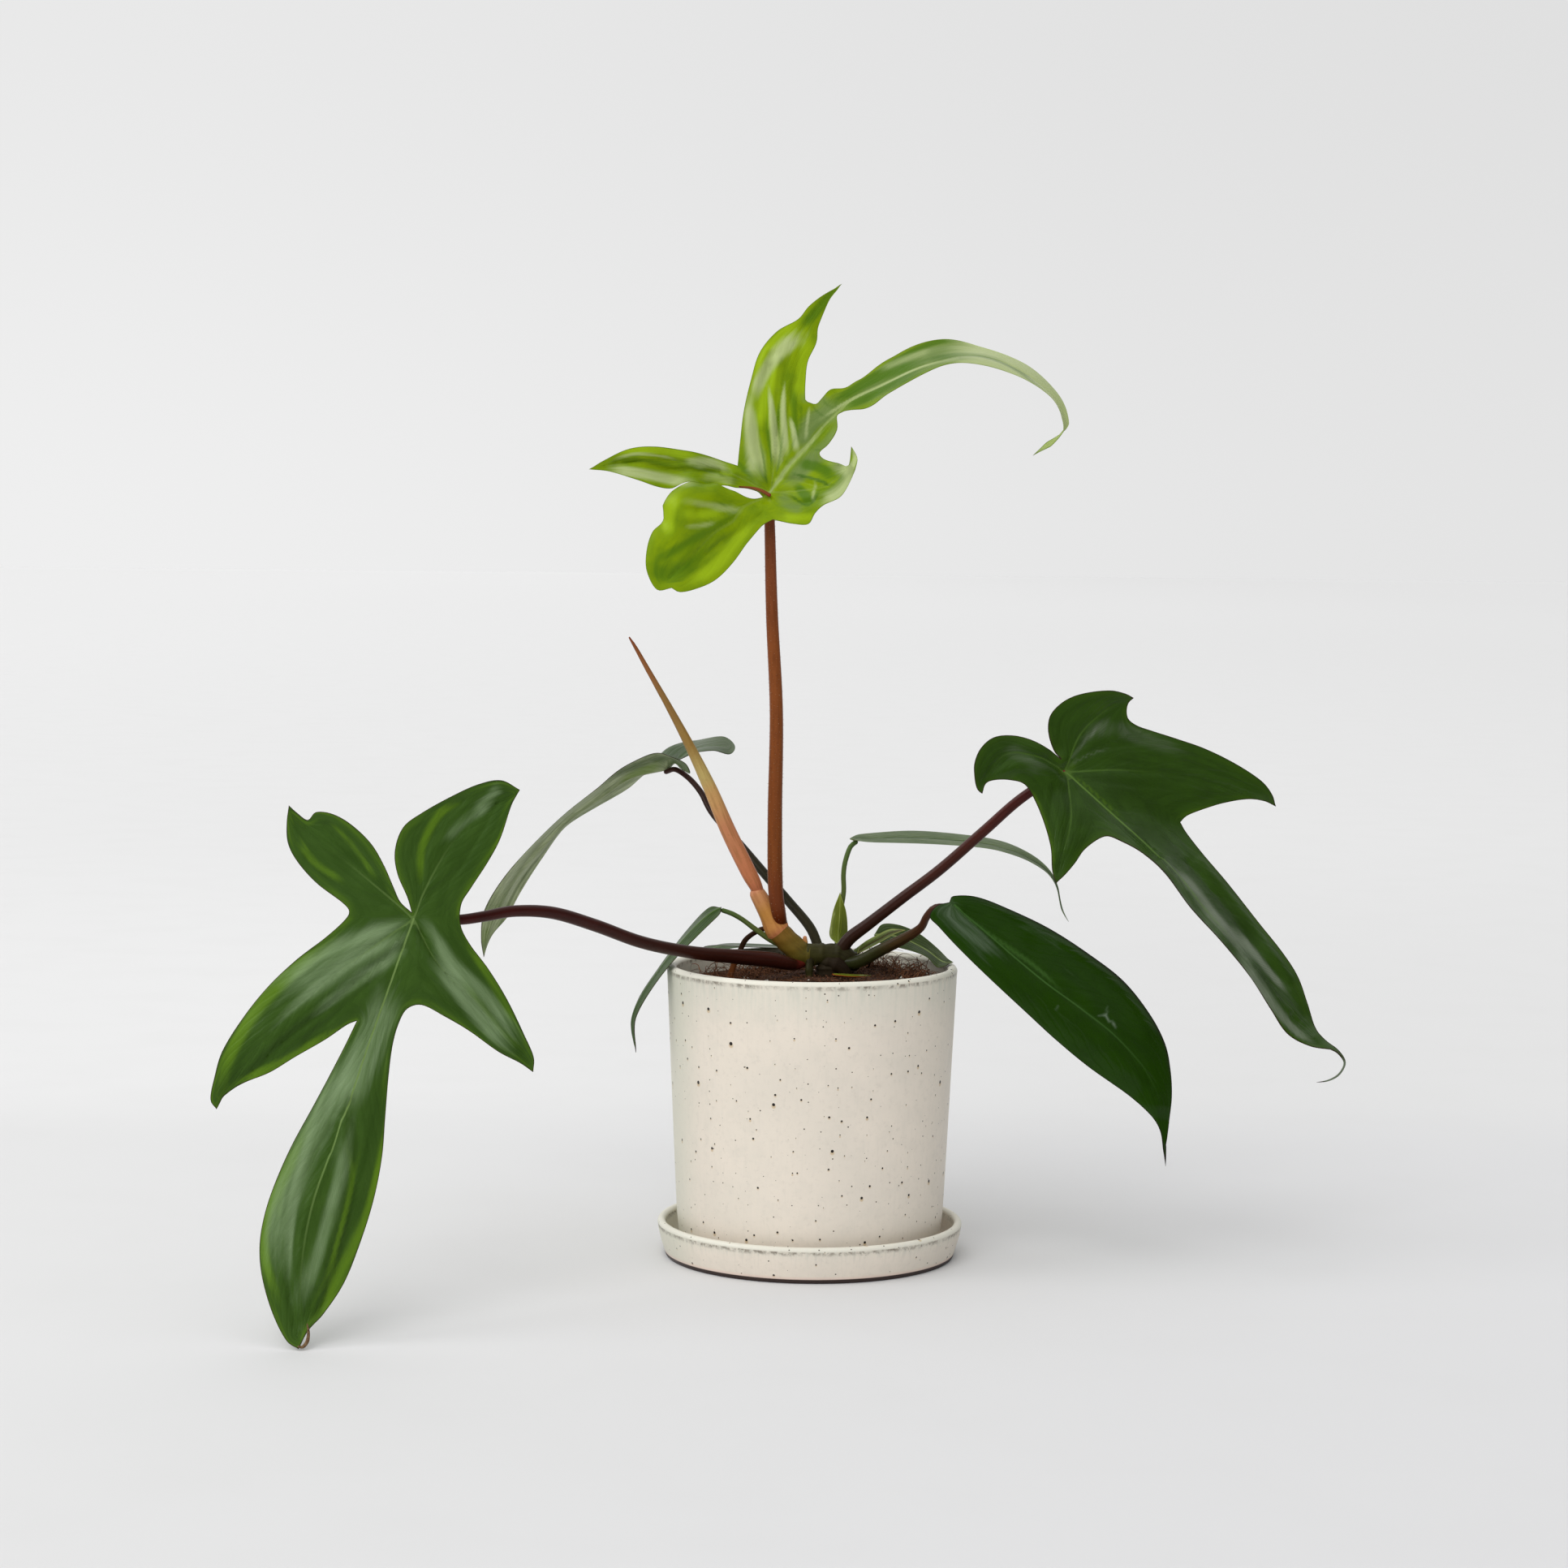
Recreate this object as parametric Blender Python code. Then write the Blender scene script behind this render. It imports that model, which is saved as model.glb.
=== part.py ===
"""A potted philodendron with lobed green leaves, in a speckled stoneware pot on its saucer.

Metres in the scene, +Z up. Every size below is in millimetres. The origin is the centre of the
saucer's flat underside, and the front looks along +Y.

The plant is drawn on a front elevation, the upright plane through the pot's axis, as it shows
from the point SIGHT. A drawn point is (x, z, y): x and z on that elevation, and y its depth, to
which it is moved along its own line of sight. So a leaf keeps its outline at any depth.
"""
import math

import bmesh
import bpy
import numpy as np
from mathutils import Vector
from mathutils.geometry import delaunay_2d_cdt

MM = 0.001
SIGHT = (-14.4, -1600.0, 341.1)

SEAT_GAP = 0.3            # between pieces that rest on or in each other
ROUND_SIDES = 48          # round the pot and the saucer

SAUCER_HEIGHT = 17.0
SAUCER_LIP_RADIUS = 73.4
SAUCER_LIP_ROUND = 1.9
SAUCER_INNER_RADIUS = 69.0
SAUCER_FOOT_RADIUS = 69.6
SAUCER_FOOT_ROUND = 1.0
SAUCER_FLOOR = 5.0
FLAT_RADIUS = 40.0        # a ring of points on wide flat faces

POT_RIM_Z = 140.8
POT_RIM_RADIUS = 70.0
POT_FLARE = 6.6           # how much the rim stands out past the wall's foot
POT_FLARE_POWER = 1.05
POT_TUCK = 2.4            # how much the wall is drawn in just over the surface
POT_TUCK_HEIGHT = 5.0
POT_WALL = 4.6
POT_FLOOR = 7.0
FOOT_RING_RADIUS = 59.8
FOOT_RING_WIDTH = 4.3
FOOT_RECESS = 1.5
DRAIN_RADIUS = 6.0
CORNER_WIDTH = 6.0        # of the sloped corner between the inside wall and the floor
CORNER_HEIGHT = 8.0
CORNER_STEP = 0.6

SOIL_EDGE_Z = 131.0
SOIL_MOUND = 4.5
SOIL_MOUND_RADIUS = 34.0

BLADE_THICKNESS = 0.9
BLADE_CREASE = 0.9        # how deep the blade dips along its ribs
CREASE_REACH = 5.0
EDGE_STEP = 4.8           # spacing of the blade's mesh along its edge
FACE_STEP = 8.5           # and inside it

# The blades: each run of an outline starts at a corner, such as a lobe's tip or a sharp notch,
# and ends at the next run's first point. Between corners the edge is one smooth curve. A row of
# five gives the place on the leaf pressed flat too, where a lobe is seen edge on or overlaps.
TOP_JUNCTION = (-23, 367, -6)
TOP_LOBE_ROOT = (11, 407, -2)
TOP_LOBE_TURN = 41.0      # degrees, the way its middle lobe lies on the leaf pressed flat
TOP_LOBE_STATIONS = [     # rib, upper edge and lower edge, from the lobe's waist to its tip
    ((22, 415, 0), (20, 421, 6), (22, 407, -5)),
    ((41, 425, 4), (36, 432, 16), (33, 414, -9)),
    ((58, 431, 9), (57, 440, 24), (57, 427, -9)),
    ((76, 433, 14), (76, 437, 31), (72, 429, -5)),
    ((94, 427.5, 19), (98, 429, 34), (90, 425, 4)),
    ((109, 417, 24), (112, 417.5, 34), (104.5, 418.2, 12)),
    ((117, 406, 27), (118.3, 408, 31), (114.8, 408.5, 20)),
    ((119, 399, 28), (120, 400, 29), (117.5, 399, 26)),
    ((110, 390.5, 27), (109, 391.5, 27.5), (111, 389.5, 26.5)),
]
TOP_LOBE_TIP = (103, 385, 26)
TOP_UPPER_LOBE = [(-38, 379.5, -1), (-37, 390), (-35.3, 405, 0), (-32, 420), (-28, 433, 2),
                  (-20, 443), (-10, 449, 6), (-4, 456)]
TOP_UPPER_LOBE_BACK = [(11, 466, 12), (5, 458), (0, 446, 7), (-1, 438), (-5, 429, 3),
                       (-6, 420), (-6, 411, 0)]
TOP_SHOULDER = [(-5, 410, 0), (-1, 409), (2, 412), (6, 416), (13, 417, 2)]
TOP_NECK = [(12, 406, -3), (9, 404), (9, 397, -5), (5, 390), (1, 386), (3, 383, -7), (10, 381),
            (14, 380, -14)]
TOP_RIGHT_LOBE = [(16, 389, -20), (19, 383), (16.5, 375, -24), (11.4, 365.5, -24), (3, 361),
                  (-1, 357, -19), (-4, 352), (-11, 352, -16), (-19, 353.5)]
TOP_LOW_LOBE = [(-21, 354, -12), (-26, 351), (-33, 342.8, -17), (-40, 333), (-48, 325, -26),
                (-57, 320.7), (-65, 319, -31)]
TOP_LOW_LOBE_END = [(-69, 321, -31), (-76, 320), (-81, 329, -29), (-81, 339), (-78, 348, -23),
                    (-73, 354)]
TOP_LOW_LOBE_BACK = [(-73.5, 360, -19, -72, 357), (-69, 367, -17, -67, 360.5),
                     (-60, 371.5, -14, -58, 363), (-48, 370.8, -12, -47, 362.5),
                     (-39, 367.4, -10, -38, 362), (-32, 364.4, -8, -32, 362)]
TOP_LEFT_LOBE = [(-26, 365, -6), (-29, 367.6), (-39, 369, -2), (-51, 369, 3), (-69, 368.5, 7),
                 (-85, 372, 10), (-99, 376)]
TOP_LEFT_LOBE_BACK = [(-109, 377, 14), (-101.7, 381.3), (-90, 386.8, 9), (-77, 388), (-64, 386.4, 3),
                      (-51, 383.5)]
TOP_RIBS = [
    [TOP_JUNCTION, (-20, 385, -5), (-19, 405, -3), (-14, 430, 1), (-4, 450, 6), (8, 464, 11)],
    [TOP_JUNCTION, (-40, 375.5, -4), (-60, 380.5, 3), (-82, 381, 8), (-106, 377.5, 13)],
    [TOP_JUNCTION, (-40, 353, -14), (-55, 341, -22), (-70, 326, -29)],
    [TOP_JUNCTION, (-9, 368, -11), (4, 371, -17), (15, 380, -21)],
]

LEFT_JUNCTION = (-192, 161, -165)
LEFT_EDGE = [
    [(-193, 164, -164), (-195, 171), (-200, 183, -161), (-201, 194), (-197, 205, -157),
     (-188, 212), (-174, 220, -151), (-161, 226), (-150, 228, -147)],
    [(-141, 223.5, -144), (-145, 216), (-150.3, 200, -153), (-156, 189), (-164.5, 175.7, -160),
     (-169, 168), (-169.3, 158, -162), (-165, 149), (-156, 137, -163), (-147, 122.5),
     (-138.5, 105.2, -163), (-133.7, 94)],
    [(-134, 86.8, -162), (-140.4, 91.2), (-151, 96.7, -168), (-165, 106.6), (-177, 113.6, -172),
     (-188, 119), (-195, 117), (-199, 110, -174), (-202, 99), (-204, 83, -179),
     (-205.5, 64), (-207, 45, -184), (-211, 24), (-217.4, 3, -191), (-225.3, -17),
     (-235, -32, -199), (-243, -41)],
    [(-247.5, -49.8, -208), (-253.5, -45.6), (-260.6, -31, -200), (-265.4, -13),
     (-266.2, 2, -188), (-263.6, 17), (-258.5, 32.3, -183), (-250.7, 50), (-240.4, 69.2, -178),
     (-232.3, 84.6), (-225, 99, -175)],
    [(-219.3, 111, -174), (-224, 109), (-234.4, 101.8, -176), (-249.3, 93), (-261.3, 85.5, -181),
     (-275, 79.6), (-283, 73.5, -186)],
    [(-287, 67.3, -188), (-290, 72), (-288, 83, -185), (-284, 96), (-273.4, 113, -176),
     (-261.5, 127.8), (-248, 140.7, -170), (-234, 151.6), (-225, 160, -167), (-223, 164),
     (-226, 168, -165), (-238.6, 177.5), (-248, 188, -158), (-252.5, 197), (-253, 207, -152)],
    [(-252, 215, -150), (-248, 211.4), (-243, 208, -151), (-239, 211.8), (-231, 211, -154),
     (-222, 206), (-212.4, 196.8, -159), (-206, 186), (-201.4, 175.3, -163), (-198.4, 169)],
]
LEFT_RIBS = [
    [LEFT_JUNCTION, (-197, 147, -168), (-205, 124, -173), (-214, 99, -178), (-221, 78, -182),
     (-231, 49, -187), (-241, 20, -191), (-246, -9, -197), (-247, -43, -205)],
    [LEFT_JUNCTION, (-186, 176, -162), (-174, 197, -156), (-158, 213, -150), (-144, 221, -145)],
    [LEFT_JUNCTION, (-205, 172, -163), (-222, 186, -158), (-238, 199, -154), (-250, 210, -151)],
    [LEFT_JUNCTION, (-214, 145, -171), (-238, 127, -176), (-262, 104, -182), (-284, 74, -187)],
    [LEFT_JUNCTION, (-182, 142, -170), (-166, 124, -170), (-150, 106, -167), (-136, 91, -163)],
]

RIGHT_JUNCTION = (121, 235, -34)
RIGHT_EDGE = [
    [(118.5, 241, -33), (115, 245), (112, 254, -30), (113, 262), (119.3, 268.6, -24), (128, 272.3),
     (141, 274, -18), (149, 272.5)],
    [(153, 270.5, -14), (150, 267), (150, 261, -16), (154, 257.5), (161, 255, -12),
     (173, 251.3), (187.2, 246.5, -6), (202.2, 239.3), (214.7, 231.2, 1), (220.2, 224.5)],
    [(222, 219, 3), (217, 221.5), (209, 222.5, -4), (197, 220.5), (186, 217, -14), (179, 214)],
    [(176, 211, -20), (179, 206), (187.5, 195.4, -26), (199.2, 182), (214.4, 163.2, -34), (226.5, 148.4),
     (234, 137, -42), (239, 124), (243, 113, -52), (248, 106.5), (254.5, 101.3),
     (258.2, 95.5, -60), (255.5, 89.3), (250, 86)],
    [(244, 85.6, -58), (250, 87.2), (254.6, 90.3), (256.8, 95.3, -61), (254, 99.8)],
    [(250.5, 101.8, -61), (239.8, 103.5), (229.4, 109.4, -66), (221.2, 121.5), (211, 137.2, -68), (197, 154),
     (182, 170, -64), (169, 187), (157.7, 196.6, -58), (146.7, 202.2), (141, 204, -54), (136, 202),
     (130, 197, -56), (126, 191), (121.5, 185.5, -62)],
    [(117, 181, -66), (115, 187), (114, 198, -58), (111, 209), (106, 221, -50), (101, 228.5),
     (94, 230.5, -49), (87, 230.5), (83, 229, -53)],
    [(81, 224, -58), (78.5, 226), (77, 233, -57), (77, 239), (80, 246, -50), (86, 251),
     (95, 252, -41), (104, 250), (112, 246, -36)],
]
RIGHT_RIBS = [
    [RIGHT_JUNCTION, (145, 214, -41), (160, 201, -46), (174, 187, -50), (188, 170, -53),
     (204, 152, -55), (220, 133.5, -57), (232, 118, -59), (242, 109, -60)],
    [RIGHT_JUNCTION, (127, 252, -26), (139, 264, -20), (151, 270, -15)],
    [RIGHT_JUNCTION, (150, 236, -25), (185, 232, -12), (219, 220.5, 1)],
    [RIGHT_JUNCTION, (124, 215, -50), (121, 197, -60), (117.5, 184, -65)],
    [RIGHT_JUNCTION, (108, 242, -41), (92, 243, -47), (81, 228, -56)],
]

LOWER_JUNCTION = (68, 170.5, -41)
LOWER_EDGE = [
    [(65.5, 171.5, -39), (67.5, 174.5), (79, 174, -36), (95, 168), (114, 159, -39),
     (133, 147), (150, 134, -47), (163, 118), (170.6, 103.8, -58), (173.5, 91), (174.5, 78, -68),
     (173.5, 65), (172.5, 53, -77)],
    [(172, 44, -79), (171, 52), (169.5, 61, -77), (165, 68), (154, 78, -72), (134, 92),
     (118, 105, -64), (103.3, 118.3), (84.6, 135.4, -55), (69.8, 149.7), (60.7, 159.4, -47),
     (56.3, 164.3), (59.5, 169.5, -43)],
]
LOWER_RIBS = [
    [LOWER_JUNCTION, (82, 159, -47), (98, 145, -54), (114, 132, -60), (131, 120, -64),
     (147, 107.5, -68), (162, 91, -72), (169.5, 74, -75), (172, 54, -78)],
]

BACK_JUNCTION = (-70, 236, 80)
BACK_STATIONS = [          # rib, near edge and far edge, from the junction to the tip
    ((-89, 230.5, 84), (-90, 235.8, 64), (-88, 225.6, 104)),
    ((-104, 220, 88), (-103, 225.4, 70), (-104.5, 215.5, 107)),
    ((-118.5, 209.5, 92), (-118, 213.4, 76), (-119, 206, 108)),
    ((-130.5, 196.5, 97), (-133, 199, 82), (-128.5, 193.4, 112)),
    ((-144, 180.5, 102), (-148, 182, 89), (-139.3, 176.5, 114)),
    ((-153, 164, 108), (-158.3, 164.3, 99), (-147.3, 161.7, 117)),
    ((-157.7, 152, 113), (-159.7, 151, 109), (-155, 152.4, 117)),
]
BACK_TIP = (-159, 143, 117)
BACK_NEAR_LOBE = [         # rows of five, its places pressed flat from the junction
    (-78, 241.4, 60, 10, 25), (-69, 240.2, 55, -6, 28), (-61.5, 237, 57, -16, 24),
    (-59.3, 232.5, 62, -19, 17), (-63.8, 234.9, 71, -12, 8)]
BACK_NOTCH = (-67, 238, 79, -4, 1)
BACK_FAR_LOBE = [
    (-58, 242, 84, -15, -4), (-48, 243.3, 89, -26, -7), (-40.7, 241.7, 95, -35, -12),
    (-38, 245.4, 100, -38, -20), (-42.9, 250, 105, -31, -26), (-55, 248.4, 107, -17, -28),
    (-71, 243.8, 108, 1, -28)]

SMALL_LEFT_BASE = (-43.5, 167, -2)
SMALL_LEFT_STATIONS = [
    ((-47.5, 164.7, -4), (-49.5, 167.6, 5), (-45.4, 163.5, -12)),
    ((-57.2, 156, -7), (-59.2, 157.9, 5), (-55.2, 153.8, -17)),
    ((-65.2, 146.7, -10), (-66.6, 148.4, 0), (-63.6, 145.1, -20)),
    ((-73.7, 135.3, -14), (-75, 136.4, -5), (-72.4, 134.4, -23)),
    ((-81.5, 123.2, -17), (-82.8, 124, -11), (-80.1, 122.8, -24)),
    ((-85.7, 111.7, -20), (-86.6, 111.6, -17), (-84.7, 112, -24)),
]
SMALL_LEFT_TIP = (-83.5, 97, -23)

BACK_RIGHT_BASE = (17.5, 202.5, 20)
BACK_RIGHT_STATIONS = [
    ((24, 202.3, 23), (24, 204, 33), (24, 200.4, 14)),
    ((44, 203, 31), (45, 205.6, 45), (42, 199.8, 18)),
    ((68, 201.7, 41), (70, 204.2, 56), (66, 199, 28)),
    ((90, 198.5, 51), (92, 200.6, 63), (88, 196.8, 40)),
    ((105, 192.8, 57), (107, 193.6, 63), (103.5, 191.8, 51)),
    ((115.2, 184.8, 61), (115.8, 185.1, 63), (114.7, 184.4, 59)),
    ((118.5, 178, 62.5), (119.1, 178.2, 63), (117.9, 177.8, 62)),
    ((120.7, 168.5, 63.5), (121.2, 168.7, 64), (120.2, 168.3, 63)),
]
BACK_RIGHT_TIP = (124, 163, 64)

RIM_RIGHT_BASE = (30, 156, 19)
RIM_RIGHT_STATIONS = [
    ((32.5, 156, 20.5), (33.5, 160.4, 27), (31.3, 152, 15)),
    ((41, 155, 22), (41.5, 160.2, 29), (41, 149.4, 15)),
    ((50, 151.5, 21), (51.5, 156, 28), (49.5, 147.2, 13)),
    ((57, 147.5, 17), (59.3, 150, 23), (56, 144.3, 10)),
    ((61.5, 144, 11), (63.7, 145.8, 15), (60.3, 140, 6)),
]
RIM_RIGHT_TIP = (67.3, 143.1, -2)

RIM_BACK_BASE = (-5, 147.8, 40)
RIM_BACK_STATIONS = [
    ((-12, 148.3, 46), (-7, 148.9, 54), (-17, 148.2, 38)),
    ((-24, 148.9, 56), (-17, 149.5, 67), (-31, 148.6, 46)),
    ((-36, 149.2, 68), (-28, 149.1, 80), (-44, 149.2, 58)),
    ((-46, 148.3, 80), (-40, 147.7, 87), (-52, 148.5, 72)),
]
RIM_BACK_TIP = (-55, 144, 92)

SOIL_LEAF_BASE = (31, 134.1, 0)
SOIL_LEAF_STATIONS = [
    ((26, 134.6, -3.5), (27, 134.8, 0.5), (25, 134.5, -7)),
    ((19, 134.7, -6.5), (20, 134.9, -2.5), (18, 134.5, -10.5)),
    ((13, 135, -8), (14, 135.5, -5), (12.3, 134.9, -11)),
]
SOIL_LEAF_TIP = (9.5, 134.9, -11)

SHEATH_BACK_STATIONS = [   # the bract round the foot of the back right leaf's stalk
    ((12.2, 155, 7), (8.2, 154.3, 12), (16.5, 154.3, 11.5)),
    ((12.6, 161, 8.2), (8.6, 160.6, 13.5), (16.9, 160.7, 12.5)),
    ((12.8, 168, 10), (9.9, 167.5, 14), (15.8, 168.3, 13)),
]
SHEATH_BACK_BASE = (12.3, 150.1, 3.8)
SHEATH_BACK_TIP = (12.9, 176, 12.8)

SHEATH_LOWER_STATIONS = [  # the wing along the lower right leaf's stalk
    ((24.6, 149.5, -5), (23.6, 150.9, -2), (26, 148.4, -8.8)),
    ((31.5, 153.5, -9.5), (30.8, 155.3, -6), (32.5, 152, -12.8)),
    ((37.8, 156.9, -14), (37.4, 158.4, -11.5), (38.5, 155.6, -16.8)),
]
SHEATH_LOWER_BASE = (20.8, 146.6, -2.6)
SHEATH_LOWER_TIP = (44, 158.4, -19)

# The stalks: a point and the radius there, from the stem out to the blade. The blade's own
# junction ends each stalk.
TOP_STALK = [((-15, 158, -4), 3.2), ((-16, 164, -6), 3.6), ((-18, 178, -5), 3.6),
             ((-18.6, 212, -2), 3.5), ((-18.4, 262, 0), 3.2), ((-20.9, 308, 2), 2.9),
             ((-22.2, 345, 2), 2.6), ((-22.6, 360, 0.5), 2.4)]
LEFT_STALK = [((-4, 139.5, -6), 3.2), ((-10, 140.5, -10), 3.7), ((-20, 142.6, -14), 3.8),
              ((-37, 144, -24), 3.5), ((-59, 146, -43), 3.0), ((-82, 150.5, -68), 2.9),
              ((-105, 158.6, -92), 2.9), ((-125, 164.3, -112), 2.8), ((-143, 165, -128), 2.6),
              ((-157, 162.5, -140), 2.4), ((-169, 160.6, -149), 2.3), ((-182, 160.5, -156), 2.2)]
RIGHT_STALK = [((14, 148, -1), 3.3), ((17.8, 153.3, -1.5), 3.2), ((26.6, 160.2, -3), 2.9),
               ((42.3, 172.6, -6), 2.7), ((61, 187.1, -11), 2.6), ((82, 206, -18), 2.5),
               ((97.1, 219.8, -24), 2.4), ((110, 229, -28), 2.3)]
LOWER_STALK = [((15.5, 141.5, -2), 3.0), ((23, 142.5, -6), 3.1), ((32.7, 147.7, -12), 2.9),
               ((44, 153.5, -20), 2.5), ((52, 158.8, -28), 2.0), ((55, 164.4, -33), 1.8),
               ((59.3, 168.7, -36), 1.7)]
BACK_STALK = [((3, 149, 4), 2.4), ((-1.3, 158.6, 11), 2.4), ((-11.3, 170.6, 21), 2.3),
              ((-24, 185, 31), 2.3), ((-36, 199, 43), 2.1), ((-48.7, 213.4, 56), 1.7),
              ((-54.2, 223.1, 64), 1.5), ((-60, 229.8, 70), 1.4), ((-66.5, 234, 75), 1.3)]
SMALL_LEFT_STALK = [((-13, 149, 0), 1.6), ((-20, 152.3, -1), 1.5), ((-27.6, 157.4, -1), 1.3),
                    ((-33.5, 161.8, -1), 1.2), ((-38.6, 164.7, -1.5), 1.2)]
BACK_RIGHT_STALK = [((11, 145.5, 3), 1.5), ((11.8, 148.5, 7.5), 1.5), ((12.4, 153, 11), 1.5),
                    ((13.4, 166, 14.5), 1.3), ((14.8, 176, 16), 1.2), ((14.6, 184, 17), 1.2),
                    ((15.4, 190.5, 18), 1.2), ((17.8, 197.6, 20), 1.2)]
RIM_RIGHT_STALK = [((14, 143, 4), 1.7), ((20, 146, 11), 1.6), ((26, 150.5, 17), 1.5)]
RIM_BACK_STALK = [((0, 144, 2), 1.6), ((-1, 144.5, 18), 1.5), ((-3, 146, 32), 1.4)]
AERIAL_ROOT = [((-16, 156.5, 4), 1.3), ((-23, 157.7, 5), 1.3), ((-28.4, 155.3, 5.5), 1.2),
               ((-32.3, 152, 6), 1.3), ((-34.5, 147.5, 6), 1.3), ((-37.4, 141, 6), 1.5),
               ((-39.6, 132.5, 6), 1.4), ((-40, 118, 6), 0.9)]

# The stem: a creeping piece above the soil, its foot in the soil and its rising tip.
STEM_CREEP = [((19.5, 142, 0), 4.6), ((14, 145, 0), 5.6), ((6, 145.6, 0), 5.2),
              ((-1.5, 145.4, 0), 5.4)]
STEM_RISE = [((0, 144.6, 0), 5.0), ((-5, 145.6, 0), 5.9), ((-10.5, 150.5, 0), 5.9),
             ((-16.6, 158.2, 0), 6.2)]
STEM_FOOT = [((8, 144, 0), 4.6), ((8.5, 137, 0), 6.8), ((8.5, 128, 0), 6.6), ((8, 112, 0), 4.0)]
STEM_SCAR = [((-3.5, 148, 0.5), 1.8), ((-3.6, 153.4, 0.5), 1.0)]
TIP_SEGMENT = [((-15.6, 156.9, 0), 4.0), ((-17.2, 159.4, 0), 4.9), ((-19.8, 163.6, 0), 5.2),
               ((-22.8, 168, 0), 4.5), ((-26.4, 174.2, 0), 3.9)]
NEW_LEAF = [((-25, 171.5, 0), 2.4), ((-27.6, 178.2, -0.5), 3.3), ((-30.8, 184.2, -1), 3.9),
            ((-41.2, 205, -4), 3.9), ((-49.9, 225, -7), 3.4), ((-59.5, 244.7, -10), 2.5),
            ((-69.2, 262.7, -13), 1.8), ((-79.5, 280.8, -16), 1.25), ((-86.2, 292.6, -18), 0.85),
            ((-89, 297, -19), 0.4)]


def place(x, z, y):
    """A point of the elevation, moved along its line of sight to the depth y, in metres."""
    reach = (y - SIGHT[1]) / -SIGHT[1]
    return np.array([SIGHT[0] + (x - SIGHT[0]) * reach, y,
                     SIGHT[2] + (z - SIGHT[2]) * reach]) * MM


def smooth(points, step):
    """Points about a step apart on a smooth curve through the given ones, both ends kept."""
    points = np.asarray(points, dtype=float)
    padded = np.vstack([2 * points[0] - points[1], points, 2 * points[-1] - points[-2]])
    out = []
    for a, b, c, d in zip(padded, padded[1:], padded[2:], padded[3:]):
        count = max(1, round(float(np.linalg.norm(c - b)) / step))
        knots = np.cumsum([0.0] + [math.sqrt(float(np.linalg.norm(q - p))) + 1e-9
                                   for p, q in ((a, b), (b, c), (c, d))])
        slope_b = (c - a) / (knots[2] - knots[0])
        slope_c = (d - b) / (knots[3] - knots[1])
        width = knots[2] - knots[1]
        for i in range(count):
            t = i / count
            out.append((2 * t**3 - 3 * t**2 + 1) * b + (t**3 - 2 * t**2 + t) * width * slope_b
                       + (3 * t**2 - 2 * t**3) * c + (t**3 - t**2) * width * slope_c)
    return np.array(out + [points[-1]])


def thin_plate(places, values):
    """The smoothest surface through values given at places on the flat leaf."""
    places, values = np.asarray(places, float) / 100, np.asarray(values, float)

    def kernel(a, b):
        square = ((a[:, None] - b[None]) ** 2).sum(-1) + 1e-12
        return square * np.log(square)

    size = len(places)
    plane = np.hstack([np.ones((size, 1)), places])
    system = np.zeros((size + 3, size + 3))
    system[:size, :size] = kernel(places, places)
    system[:size, size:] = plane
    system[size:, :size] = plane.T
    weights = np.linalg.solve(system, np.vstack([values, np.zeros((3, values.shape[1]))]))

    def surface(flat):
        flat = np.atleast_2d(flat) / 100
        return kernel(flat, places) @ weights[:size] + np.hstack(
            [np.ones((len(flat), 1)), flat]) @ weights[size:]
    return surface


def flat_place(row):
    return (row[3], row[4]) if len(row) == 5 else (row[0], row[1])


def with_depths(loop):
    """A closed outline's rows, each with a depth: one that gives none takes it from the rest."""
    flat = np.array([flat_place(row) for row in loop])
    run = np.cumsum(np.linalg.norm(flat - np.roll(flat, 1, axis=0), axis=1))
    known = [i for i, row in enumerate(loop) if len(row) > 2]
    depths = np.interp(run, run[known], [loop[i][2] for i in known], period=run[-1])
    return [(row[0], row[1], depth, *spot) for row, depth, spot in zip(loop, depths, flat)]


def segment_distance(points, line):
    """How far each point lies from a line of points."""
    best = np.full(len(points), 1e9)
    for a, b in zip(line, line[1:]):
        along = b - a
        t = np.clip((points - a) @ along / max(float(along @ along), 1e-9), 0, 1)
        best = np.minimum(best, np.linalg.norm(points - (a + t[:, None] * along), axis=1))
    return best


def is_inside(points, loop):
    """Which points lie inside a closed loop."""
    inside = np.zeros(len(points), dtype=bool)
    for a, b in zip(loop, np.roll(loop, -1, axis=0)):
        crosses = (a[1] > points[:, 1]) != (b[1] > points[:, 1])
        rise = b[1] - a[1] if b[1] != a[1] else 1e-12
        inside ^= crosses & (points[:, 0] < (b[0] - a[0]) * (points[:, 1] - a[1]) / rise + a[0])
    return inside


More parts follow.
